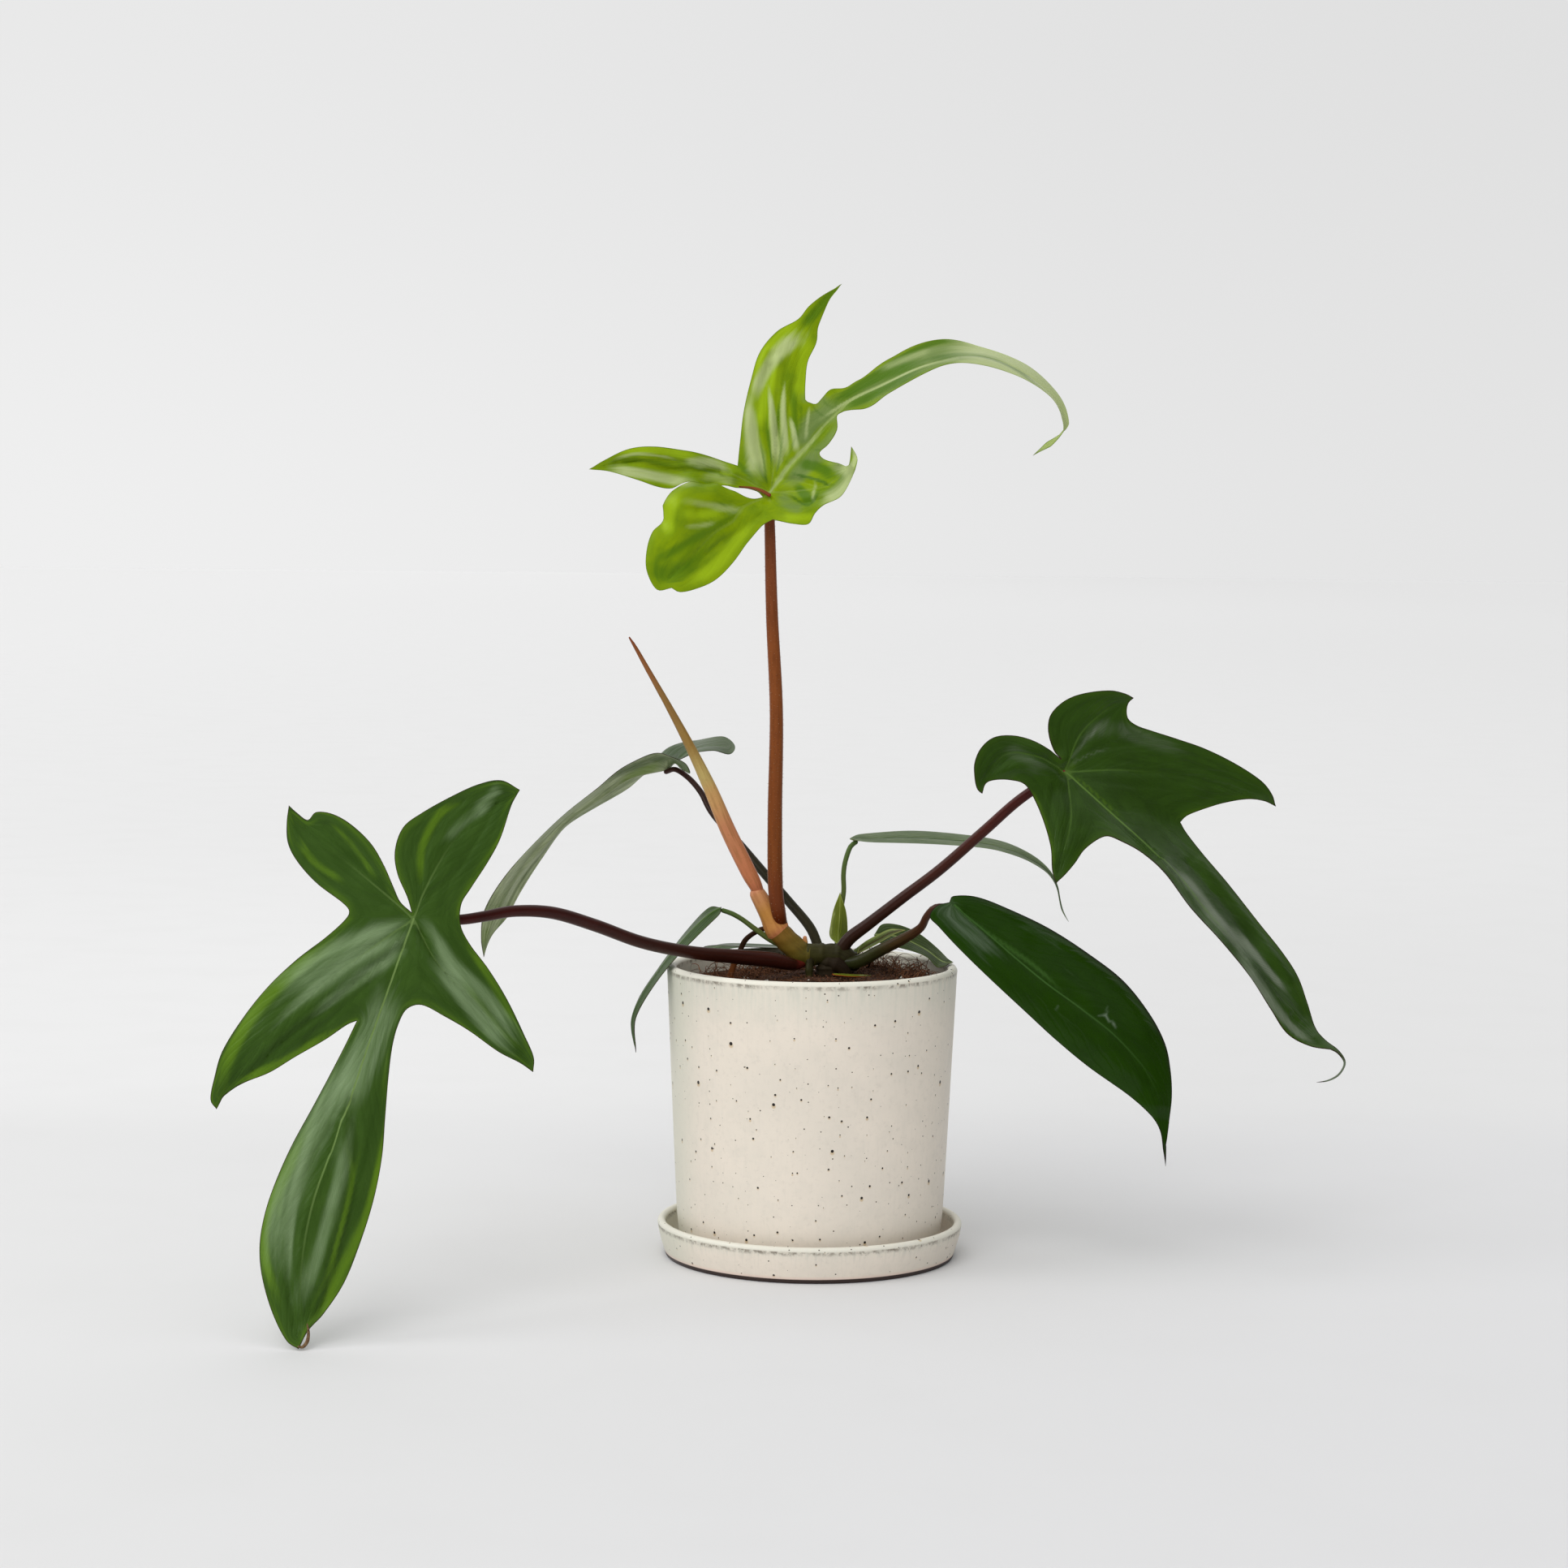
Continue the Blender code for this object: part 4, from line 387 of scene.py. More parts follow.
# Strokes of each tone on the upper side: how strong, the half width (or that at either end of
# the line) and the line on the elevation. Lime is the yellow-green of soft new tissue. Pale is
# mostly painted sheen where raised folds catch the light, with a few truly pale veins and
# scuffs. Deep is the saturated green between the sheens, partly painted shade in the grooves.
# The shade tone is painted shade, the duller green of what lies in shade, and wine the dark
# lines along veins and margins, partly painted shade in the creases.
TONES = ("pale", "lime", "deep", "shaded", "wine")
# The new leaf: its pale strokes are mostly painted sheen, its shade strokes painted shade, and its
# deep and wine strokes partly painted shade in its creases.
TOP_TONES = {"lime": [
    (0.8, 4.2, [(-8, 410), (-7, 422), (-5, 434), (-3, 442)]),
    (0.9, 5.0, [(-32, 420), (-24, 433), (-14, 443), (-8, 448)]),
    (0.9, 5.0, [(-29, 396), (-27, 412), (-19, 430)]),
    (0.7, 2.2, [(-22, 396), (-21, 408), (-19, 420)]),
    (0.7, 2.2, [(-17, 355), (-8, 355), (0, 356)]),
    (0.95, 2.4, [(-98, 385), (-84, 387), (-68, 385), (-56, 382)]),
    (0.8, 3.4, [(-70, 345), (-71, 356), (-66, 366)]),
    (0.7, 2.8, [(-66, 356), (-54, 356), (-44, 356)]),
    (0.8, 3.4, [(-62, 322), (-48, 332), (-38, 344), (-30, 354)]),
    (0.9, 1.8, [(118, 397), (112, 392), (106, 388)]),
], "pale": [
    (0.85, (5.6, 2.0), [(-28, 374), (-30.5, 388), (-32, 399), (-33, 412)]),
    (0.95, (2.6, 4.4), [(-31, 411), (-27, 421), (-18, 434), (-8, 442)]),
    (0.95, (0.8, 3.0), [(-23.5, 418), (-21.8, 404), (-20.5, 394), (-19, 379)]),
    (0.9, (0.8, 2.4), [(-16, 420), (-16.6, 406), (-16, 396), (-15, 384)]),
    (0.85, (0.9, 1.9), [(-13, 403), (-11, 394), (-10, 386)]),
    (0.65, (0.8, 1.2), [(-4, 408), (-5, 400), (-6, 392)]),
    (0.65, (1.6, 1.0), [(-23, 367), (-15, 378), (-7, 387), (3, 398)]),
    (0.75, 3.4, [(7, 380), (14, 378), (15, 373), (10, 367), (1, 362)]),
    (0.85, 1.6, [(14, 377), (18, 383), (17, 390)]),
    (0.55, 1.0, [(-1, 373), (-1.8, 368), (-2, 362)]),
    (0.6, 0.9, [(-98, 382), (-86, 384.5), (-72, 383), (-66, 381)]),
    (0.9, 2.6, [(-100, 377.5), (-84, 375), (-68, 372), (-58, 371)]),
    (0.6, 2.6, [(-60, 379), (-52, 380), (-46, 379), (-42, 377)]),
    (0.7, 2.0, [(-64, 381), (-55, 381.5), (-47, 380)]),
    (0.5, 2.2, [(-56, 374), (-46, 373), (-38, 371)]),
    (0.5, 2.2, [(-64, 362), (-52, 361), (-44, 359), (-34, 358)]),
    (0.42, 1.4, [(-64, 350), (-54, 351), (-48, 352)]),
    (0.5, 2.0, [(28, 424.5), (42, 431), (56, 435.5)]),
    (0.85, 0.9, [(0, 401), (14, 410.5), (30, 418.5), (50, 427.5), (66, 431)]),
    (1.0, 6.0, [(60, 436), (82, 433), (98, 425), (110, 414), (118, 402),
                (122, 388)]),
    (0.6, 1.4, [(56, 425.5), (70, 429), (88, 427), (103, 418), (113, 407)]),
], "deep": [
    (0.6, (0.8, 1.6), [(-24, 371), (-29, 380), (-34, 383)]),
    (0.7, (1.6, 0.9), [(-25, 407), (-23.5, 392), (-20.8, 377)]),
    (0.7, (1.3, 0.7), [(-19.4, 412), (-18.4, 398), (-17, 384)]),
    (0.8, (2.4, 1.2), [(-12, 418), (-11, 404), (-9.6, 388)]),
    (0.5, 1.0, [(-8, 411), (-8, 393)]),
    (0.55, 0.8, [(-23, 422), (-22, 430), (-19, 441)]),
    (0.9, (2.4, 4.0), [(-11, 443), (-4, 450), (3, 457), (10, 464), (17, 471)]),
    (1.0, (2.6, 3.2), [(-9, 381), (0, 379), (8, 375)]),
    (1.0, (2.2, 3.0), [(-11, 371), (-6, 366), (-3, 361)]),
    (0.55, 1.6, [(-99, 380), (-84, 381.5), (-74, 379.5), (-66, 377)]),
    (0.75, 1.6, [(-46, 382.5), (-39, 381), (-34, 377), (-29, 372)]),
    (0.7, 2.2, [(-80, 332), (-66, 340), (-54, 347), (-36, 357)]),
    (0.65, 4.0, [(-82, 332), (-70, 327), (-56, 334)]),
    (0.45, 8.0, [(-74, 328), (-58, 338), (-46, 345)]),
    (0.4, 2.5, [(-66, 368), (-54, 370.5), (-44, 367)]),
    (1.0, 2.3, [(5, 409), (14, 414), (22, 418.5), (34, 424), (50, 430)]),
    (0.95, 1.6, [(12, 414), (30, 425), (45, 434.5), (58, 439), (72, 439.5)]),
    (0.85, 2.8, [(9, 406), (22, 412), (38, 420), (50, 426)]),
], "wine": [
    (0.6, 0.8, [(-24, 369), (-26, 384), (-28, 394)]),
    (0.6, 0.8, [(-22, 371), (-22.4, 384), (-22.8, 396)]),
    (0.55, 0.8, [(-20, 373), (-17.6, 386), (-16.4, 398)]),
    (0.45, 0.8, [(-18, 376), (-13, 386), (-10, 396)]),
    (0.5, 0.8, [(-6, 413), (0, 405), (6, 402)]),
    (0.45, 0.8, [(1, 413), (5, 408), (11, 408)]),
    (0.95, 0.8, [(-12, 376), (-2, 373.7), (8, 371)]),
    (0.75, 0.8, [(-14, 367), (-9, 363), (-4, 361), (1.5, 369)]),
    (0.5, 0.8, [(-4, 388), (3, 387), (9, 390)]),
    (0.5, 0.8, [(-70, 377), (-62, 376), (-50, 376), (-40, 372)]),
    (0.5, 0.8, [(-54, 364), (-47, 362), (-40, 360)]),
    (0.35, 0.8, [(-34, 358), (-44, 356.5), (-50, 354), (-56, 352)]),
    (0.6, 1.2, [(48, 429.5), (66, 433), (82, 431.5), (96, 425), (108, 415.5)]),
], "shaded": [
    (0.95, (4.6, 5.0), [(-10, 387), (-4, 399), (3, 404), (11, 407)]),
    (0.8, 3.0, [(-9, 412), (-2, 412), (5, 409)]),
    (0.95, (4.0, 4.8), [(-15, 369), (-3, 382), (7, 391), (12, 400)]),
    (0.6, 3.4, [(-19, 367), (-13, 361), (-6, 358)]),
    (0.8, 4.0, [(5, 382), (13, 377), (12, 370), (3, 363)]),
    (1.0, 7.0, [(4, 405), (13, 410), (30, 419), (48, 430), (66, 434), (90, 429),
                (108, 417), (117, 404), (122, 396)]),
]}
# The grown leaf: its pale strokes are painted sheen, and its deep ones mostly painted shade in the
# furrows between its folds.
LEFT_TONES = {"lime": [
    (0.8, 2.2, [(-189, 178), (-188, 195), (-180, 211), (-170, 218)]),
    (0.7, 2.2, [(-166, 172), (-155, 187), (-147, 206)]),
    (0.6, 1.6, [(-210, 180), (-220, 194), (-232, 207)]),
    (0.6, 2.0, [(-225, 178), (-240, 188), (-248, 199)]),
    (0.8, 3.4, [(-228, 150), (-249, 135), (-269, 114), (-282, 90), (-286, 74)]),
    (0.9, 2.4, [(-278, 79), (-256, 90), (-240, 99), (-230, 106)]),
    (0.6, 2.6, [(-165, 147), (-152, 128), (-142, 108)]),
    (0.5, 2.0, [(-170, 133), (-160, 121), (-150, 108), (-138, 96)]),
    (0.8, 2.6, [(-240, 63), (-254, 36), (-263, 13), (-263, -7), (-256, -30)]),
    (0.75, 2.8, [(-207, 60), (-208, 42), (-213, 20), (-223, -3), (-236, -32), (-244, -43)]),
    (0.5, 1.6, [(-225, 55), (-222, 38), (-225, 18), (-230, -2), (-233, -20)]),
    (0.4, 1.6, [(-245, 46), (-254, 30), (-258, 10)]),
    (0.5, 1.4, [(-217, 52), (-224, 20), (-233, -10), (-243, -34)]),
], "pale": [
    (0.4, 3.2, [(-178, 198), (-168, 208), (-156, 216)]),
    (0.5, 10.0, [(-192, 154), (-214, 148), (-232, 137), (-254, 120)]),
    (0.55, 9.0, [(-203, 128), (-214, 96), (-228, 66)]),
    (0.7, 5.0, [(-182, 144), (-164, 119), (-144, 97)]),
    (0.45, 3.0, [(-196, 160), (-218, 152), (-233, 145), (-262, 126)]),
    (0.4, 2.4, [(-196, 153), (-221, 140), (-242, 125), (-264, 104)]),
    (0.5, 3.2, [(-197, 145), (-218, 131), (-240, 114)]),
    (0.6, 3.4, [(-187, 161), (-173, 140), (-158, 125), (-140, 103)]),
    (0.55, 7.5, [(-219, 98), (-236, 67), (-248, 40), (-257, 13), (-259, -16)]),
    (0.5, 4.5, [(-222, 62), (-231, 19), (-239, -5), (-250, -33)]),
    (0.36, 2.0, [(-236, 74), (-247, 38), (-252, 4), (-251, -26)]),
    (0.5, 3.2, [(-162, 212), (-156, 219), (-150, 226)]),
], "deep": [
    (0.5, 1.4, [(-188, 168), (-178, 190), (-165, 206)]),
    (0.5, 2.4, [(-213, 184), (-226, 194)]),
    (0.5, 2.4, [(-228, 118), (-246, 104), (-262, 92)]),
    (0.8, 1.0, [(-199, 154), (-217, 146), (-235, 135), (-258, 117)]),
    (0.8, 1.0, [(-199, 148), (-216, 136), (-238, 120), (-258, 102)]),
    (0.7, 1.0, [(-187, 153), (-177, 138), (-162, 123), (-146, 103)]),
    (0.75, 1.0, [(-211, 70), (-219, 31), (-228, 1), (-243, -31)]),
    (0.7, 0.9, [(-242, 60), (-252, 28), (-257, 1), (-256, -16)]),
    (0.7, 1.0, [(-188, 175), (-180, 194), (-166, 208), (-154, 218)]),
    (0.7, 1.0, [(-184, 168), (-168, 184), (-158, 202), (-150, 214)]),
    (0.7, 1.0, [(-205, 175), (-224, 192), (-238, 204)]),
    (0.35, 7.0, [(-268, 106), (-276, 96), (-282, 84)]),
    (0.4, 6.0, [(-176, 196), (-166, 184)]),
    (0.5, 2.6, [(-205, 85), (-210, 60), (-218, 30)]),
]}
# The leathery leaf: its pale strokes are painted sheen, and its deep ones partly painted shade
# between its folds.
RIGHT_TONES = {"lime": [
    (0.7, 1.0, [(121, 235), (130, 229), (140, 220), (148, 213)]),
    (0.5, 2.4, [(116, 238), (121, 235), (126, 240)]),
    (0.35, 3.0, [(196, 222), (180, 216), (172, 208)]),
    (0.6, 0.8, [(101, 229), (108, 219), (112, 208), (115, 195), (116.5, 183)]),
    (0.30, 4.0, [(130, 264), (142, 268)]),
], "pale": [
    (0.35, 0.9, [(121, 237), (127, 246), (134, 254), (138, 258)]),
    (0.35, 0.9, [(122, 237), (131, 243), (144, 247)]),
    (0.30, 4.5, [(91, 247), (102, 240), (110, 233)]),
    (0.3, 5.0, [(124, 252), (140, 256), (162, 250), (180, 244)]),
    (0.9, 3.0, [(257, 99), (257.8, 94), (254, 88), (246, 86)]),
    (0.75, 2.8, [(171, 191), (182, 180), (192, 167), (202, 156), (211, 145)]),
    (0.75, 2.2, [(203, 161), (221, 139), (231, 129)]),
    (0.75, 2.0, [(205, 148), (217, 131), (226, 119), (236, 109), (245, 103)]),
], "deep": [
    (0.5, 5.0, [(111, 234), (119, 225), (128, 213), (139, 208)]),
    (0.5, 6.0, [(134, 229), (150, 222), (172, 216)]),
    (0.7, 3.0, [(189, 181), (204, 163), (216, 149)]),
    (0.6, 2.0, [(212, 143), (222, 130), (228, 122)]),
]}
# The oldest leaf: its wider pale strokes are a painted reflection and the thin ones scuffs; the
# wine band along its upper edge is its dark margin, deepened by painted shade.
LOWER_TONES = {"lime": [
    (0.6, 1.3, [(65, 171), (78, 162), (92, 152), (109, 140), (123, 127)]),
    (0.35, 1.5, [(123, 127), (135, 117), (149, 106), (158, 94)]),
], "pale": [
    (0.3, 6.0, [(56, 176), (70, 162), (90, 143)]),
    (0.2, 2.4, [(98, 161), (110, 156), (122, 149)]),
    (0.5, 0.8, [(143, 122), (142, 117), (146, 113), (147, 110)]),
    (0.4, 0.8, [(137, 117), (142, 118)]),
    (0.6, 0.8, [(118, 121.5), (119, 120)]),
], "wine": [
    (0.8, 2.2, [(75, 174), (96, 168.5), (115, 159.5), (134, 147), (151, 134), (164, 118),
                (171.5, 103), (174, 85)]),
]}
# The leaf behind: as on the others, its pale strokes are partly painted sheen and its deep ones
# partly painted shade.
BACK_TONES = {"pale": [
    (0.8, 1.8, [(-98, 227), (-120, 212), (-140, 190), (-155, 166)]),
    (0.9, 1.4, [(-126, 200), (-140, 184), (-151, 164)]),
    (0.7, 5.0, [(-62, 243), (-52, 247), (-42, 246), (-30, 240)]),
], "deep": [
    (0.8, 1.0, [(-104, 224), (-122, 210), (-141, 187), (-154, 164)]),
    (0.7, 1.0, [(-122, 203), (-136, 187), (-146, 170), (-153, 152)]),
    (0.6, 0.8, [(-60, 242), (-50, 244.5), (-40, 243)]),
    (0.8, 2.2, [(-100, 229), (-88, 235), (-76, 239), (-66, 240)]),
    (1.0, 4.5, [(-70, 237), (-64, 236), (-59, 233), (-56, 231)]),
], "lime": [
    (0.8, 2.0, [(-73, 237), (-84, 233), (-94, 228)]),
    (0.5, 3.0, [(-157, 158), (-159, 148)]),
], "wine": [
    (0.5, 1.2, [(-88, 229), (-104, 218), (-120, 205), (-134, 190)]),
]}


def place(x, z, y):
    """Points of the elevation, moved along their lines of sight to the depth y, in metres."""
    reach = (y - SIGHT[1]) / -SIGHT[1]
    return np.stack([SIGHT[0] + (x - SIGHT[0]) * reach, y + 0 * reach,
                     SIGHT[2] + (z - SIGHT[2]) * reach], axis=-1) * MM


def smooth(points, step):
    """Points about a step apart on a smooth curve through the given ones, both ends kept."""
    points = np.asarray(points, dtype=float)
    padded = np.vstack([2 * points[0] - points[1], points, 2 * points[-1] - points[-2]])
    out = []
    for a, b, c, d in zip(padded, padded[1:], padded[2:], padded[3:]):
        count = max(1, round(float(np.linalg.norm(c - b)) / step))
        knots = np.cumsum([0.0] + [math.sqrt(float(np.linalg.norm(q - p))) + 1e-9
                                   for p, q in ((a, b), (b, c), (c, d))])
        slope_b = (c - a) / (knots[2] - knots[0])
        slope_c = (d - b) / (knots[3] - knots[1])
        width = knots[2] - knots[1]
        for i in range(count):
            t = i / count
            out.append((2 * t**3 - 3 * t**2 + 1) * b + (t**3 - 2 * t**2 + t) * width * slope_b
                       + (3 * t**2 - 2 * t**3) * c + (t**3 - t**2) * width * slope_c)
    return np.array(out + [points[-1]])


def thin_plate(places, values):
    """The smoothest surface through values given at places on the flat leaf."""
    places, values = np.asarray(places, float) / 100, np.asarray(values, float)

    def kernel(a, b):
        square = ((a[:, None] - b[None]) ** 2).sum(-1) + 1e-12
        return square * np.log(square)

    size = len(places)
    plane = np.hstack([np.ones((size, 1)), places])
    system = np.zeros((size + 3, size + 3))
    system[:size, :size] = kernel(places, places)
    system[:size, size:] = plane
    system[size:, :size] = plane.T
    weights = np.linalg.solve(system, np.vstack([values, np.zeros((3, values.shape[1]))]))

    def surface(flat):
        flat = np.atleast_2d(flat) / 100
        return kernel(flat, places) @ weights[:size] + np.hstack(
            [np.ones((len(flat), 1)), flat]) @ weights[size:]
    return surface


def flat_place(row):
    return (row[3], row[4]) if len(row) == 5 else (row[0], row[1])


def with_depths(loop):
    """A closed outline's rows, each with a depth: one that gives none takes it from the rest."""
    flat = np.array([flat_place(row) for row in loop])
    run = np.cumsum(np.linalg.norm(flat - np.roll(flat, 1, axis=0), axis=1))
    known = [i for i, row in enumerate(loop) if len(row) > 2]
    depths = np.interp(run, run[known], [loop[i][2] for i in known], period=run[-1])
    return [(row[0], row[1], depth, *spot) for row, depth, spot in zip(loop, depths, flat)]


def along_line(points, line):
    """For each point its distance from a line of points, how far along that is, and its side."""
    best = np.full(len(points), 1e9)
    run = np.zeros(len(points))
    side = np.ones(len(points))
    start = 0.0
    for a, b in zip(line, line[1:]):
        step = b - a
        length = max(float(np.linalg.norm(step)), 1e-9)
        t = np.clip((points - a) @ step / length**2, 0, 1)
        off = points - (a + t[:, None] * step)
        distance = np.linalg.norm(off, axis=1)
        nearer = distance < best
        best = np.where(nearer, distance, best)
        run = np.where(nearer, start + t * length, run)
        if points.shape[1] == 2:
            side = np.where(nearer, np.sign(step[0] * off[:, 1] - step[1] * off[:, 0]), side)
        start += length
    return best, run, side


def is_inside(points, loop):
    """Which points lie inside a closed loop."""
    inside = np.zeros(len(points), dtype=bool)
    for a, b in zip(loop, np.roll(loop, -1, axis=0)):
        crosses = (a[1] > points[:, 1]) != (b[1] > points[:, 1])
        rise = b[1] - a[1] if b[1] != a[1] else 1e-12
        inside ^= crosses & (points[:, 0] < (b[0] - a[0]) * (points[:, 1] - a[1]) / rise + a[0])
    return inside


def mesh_object(name, vertices, faces, **attributes):
    """A mesh piece at the origin, with a value of each named attribute at every vertex."""
    mesh = bpy.data.meshes.new(name)
    mesh.from_pydata([tuple(v) for v in vertices], [], faces)
    for title, values in attributes.items():
        layer = mesh.attributes.new(title, "FLOAT", "POINT")
        layer.data.foreach_set("value", np.asarray(values, dtype=np.float32))
    mesh.shade_smooth()
    piece = bpy.data.objects.new(name, mesh)
    bpy.context.scene.collection.objects.link(piece)
    return piece


class Blade:
    """A leaf blade: an outline with its ribs, pressed flat, and the surface it bends to.

    upper is 1 where the surface's own normal leaves the leaf's upper side, and -1 where it
    leaves the underside. folds and tones are as in the tables above, and step is the spacing of
    its mesh.
    """

    def __init__(self, runs, ribs, upper=1, folds=(), tones=(), step=FACE_STEP):
        self.upper, self.step = upper, step
        rows = with_depths([row for run in runs for row in run])
        rows += [row for rib in ribs for row in rib]
        unique = {tuple(float(c) for c in flat_place(row)): row[:3] for row in rows}
        self.drawn = thin_plate(list(unique), list(unique.values()))
        self.loop = []
        for run, after in zip(runs, runs[1:] + runs[:1]):
            corner_to_corner = [flat_place(row) for row in run] + [flat_place(after[0])]
            self.loop.extend(smooth(corner_to_corner, EDGE_STEP)[:-1])
        self.loop = np.array(self.loop)
        self.ribs = [smooth([flat_place(row) for row in rib], EDGE_STEP) for rib in ribs]
        self.folds = [(height, width, smooth(line, 2.0)) for height, width, line in folds]
        self.tones = [(tone, strength, width, smooth(line, 2.0))
                      for tone, strokes in dict(tones).items()
                      for strength, width, line in strokes]

    def middle(self, flat):
        """Where the middle of the blade's thickness lies."""
        return place(*self.drawn(flat).T)

    def face(self, flat):
        """The way the surface's normal points."""
        flat = np.atleast_2d(flat)
        along = self.middle(flat + (0.5, 0)) - self.middle(flat)
        across = self.middle(flat + (0, 0.5)) - self.middle(flat)
        normal = np.cross(along, across)
        return normal / np.linalg.norm(normal, axis=1)[:, None]

    def crease(self, near):
        """How far the blade dips at a distance from its nearest rib."""
        return -BLADE_CREASE * np.exp(-near / CREASE_REACH)

    def seat(self, flat, side, reach):
        """A point a reach away from the blade's middle, on one side of it, in metres."""
        point = np.atleast_2d(flat).astype(float)
        near = np.min([along_line(point, rib)[0] for rib in self.ribs], axis=0)
        out = self.crease(near) + side * reach
        return (self.middle(point) + self.face(point) * out[:, None] * MM)[0]

    def pressed_mesh(self):
        """The flat leaf's points and triangles, with its ribs among their edges."""
        low, high = self.loop.min(axis=0), self.loop.max(axis=0)
        rows = np.arange(low[1], high[1], self.step * ROW_SHARE)
        grid = np.array([(x + (i % 2) * self.step / 2, z) for i, z in enumerate(rows)
                         for x in np.arange(low[0], high[0], self.step)])
        grid = grid[is_inside(grid, self.loop)]
        closed = np.vstack([self.loop, self.loop[:1]])
        clear = along_line(grid, closed)[0] > RING_INSET + self.step * 0.45
        for rib in self.ribs:
            clear &= along_line(grid, rib)[0] > self.step * 0.45
        points, edges = [Vector(p) for p in self.loop], []
        for rib in self.ribs:
            inner = rib[is_inside(rib, self.loop) & (along_line(rib, closed)[0] > 0.6)]
            edges += [(len(points) + i, len(points) + i + 1) for i in range(len(inner) - 1)]
            points += [Vector(p) for p in inner]
        # A ring of points just inside the edge keeps the colour of the margin even.
        ahead = np.roll(self.loop, -1, axis=0) - np.roll(self.loop, 1, axis=0)
        ahead /= np.linalg.norm(ahead, axis=1)[:, None]
        for inward in (np.stack([-ahead[:, 1], ahead[:, 0]], axis=1),
                       np.stack([ahead[:, 1], -ahead[:, 0]], axis=1)):
            ring = self.loop + RING_INSET * inward
            kept = is_inside(ring, self.loop) & (along_line(ring, closed)[0] > 0.5)
            for rib in self.ribs:
                kept &= along_line(ring, rib)[0] > 0.5
            points += [Vector(p) for p in ring[kept]]
        points += [Vector(p) for p in grid[clear]]
        flat, _, faces, *_ = delaunay_2d_cdt(
            points, edges, [list(range(len(self.loop)))], 1, 1e-4)
        return np.array([tuple(p) for p in flat]), np.array([tuple(f) for f in faces])

    def piece(self, name, upper_material, under_material):
        """The blade as one thin closed mesh, with what its materials need at every vertex."""
        flat, faces = self.pressed_mesh()
        edge = along_line(flat, np.vstack([self.loop, self.loop[:1]]))[0]
        found = [along_line(flat, rib) for rib in self.ribs]
        nearest = np.argmin([f[0] for f in found], axis=0)
        rib, run, side = (np.choose(nearest, [f[k] for f in found]) for k in range(3))
        main, main_run, _ = found[0]
        share = main_run / max(main_run.max(), 1e-9)
        across = rib / (rib + edge + 0.2)

        relief = self.crease(rib) - GROOVE_DEPTH * np.exp(-(rib / GROOVE_REACH) ** 2)
        for height, width, line in self.folds:
            distance, _, _ = along_line(flat, line)
            reach = np.clip(edge / FOLD_MARGIN, 0, 1)
            relief += self.upper * height * np.exp(-(distance / width) ** 2) * reach
        shown = self.drawn(flat)[:, :2]
        tones = {tone: np.zeros(len(flat)) for tone in TONES}
        for tone, strength, width, line in self.tones:
            distance, along, _ = along_line(shown, line)
            length = float(np.linalg.norm(np.diff(line, axis=0), axis=1).sum())
            width = np.interp(along / length, (0, 1), np.broadcast_to(width, 2))
            fade = np.clip(np.minimum(along, length - along) / (0.2 * length), 0, 1)
            weight = strength * np.exp(-(distance / width) ** 3) * (0.3 + 0.7 * fade)
            weight *= np.where(fade > 0, 1, np.exp(-(distance / width) ** 2))
            tones[tone] = 1 - (1 - tones[tone]) * (1 - weight)

        middle = self.middle(flat) + self.face(flat) * relief[:, None] * MM
        normal = np.zeros_like(middle)
        corners = middle[faces]
        flats = np.cross(corners[:, 1] - corners[:, 0], corners[:, 2] - corners[:, 0])
        for k in range(3):
            np.add.at(normal, faces[:, k], flats)
        normal /= np.linalg.norm(normal, axis=1)[:, None]
        half = (MARGIN_THICKNESS + (BLADE_THICKNESS - MARGIN_THICKNESS)
                * (1 - np.exp(-edge / MARGIN_REACH))) / 2
        ridge = (RIDGE_HEIGHT * np.exp(-(main / RIDGE_REACH) ** 2) * (1 - 0.8 * share)
                 * np.clip(edge / 2, 0, 1))
        front = half + (ridge if self.upper < 0 else 0)
        back = half + (ridge if self.upper > 0 else 0)
        vertices = np.vstack([middle + normal * front[:, None] * MM,
                              middle - normal * back[:, None] * MM])
        shift = len(flat)
        sides = set()
        for f in faces.tolist():
            for a, b in zip(f, f[1:] + f[:1]):
                if (b, a) in sides:
                    sides.discard((b, a))
                else:
                    sides.add((a, b))
        skin = faces.tolist() + (faces[:, ::-1] + shift).tolist()
        skin += [(b, a, a + shift, b + shift) for a, b in sides]
        both = {"rib": rib, "edge": edge, "across": across, "flank": side * across, "run": run,
                "share": share, "main": main, **tones}
        made = mesh_object(name, vertices, skin,
                           **{title: np.tile(values, 2) for title, values in both.items()})
        made.data.materials.append(upper_material)
        made.data.materials.append(under_material)
        under = np.zeros(len(skin), dtype=np.int32)
        if self.upper > 0:
            under[len(faces):2 * len(faces)] = 1
        else:
            under[:len(faces)] = 1
        made.data.polygons.foreach_set("material_index", under)
        made.data.set_sharp_from_angle(angle=math.radians(60))
        return made


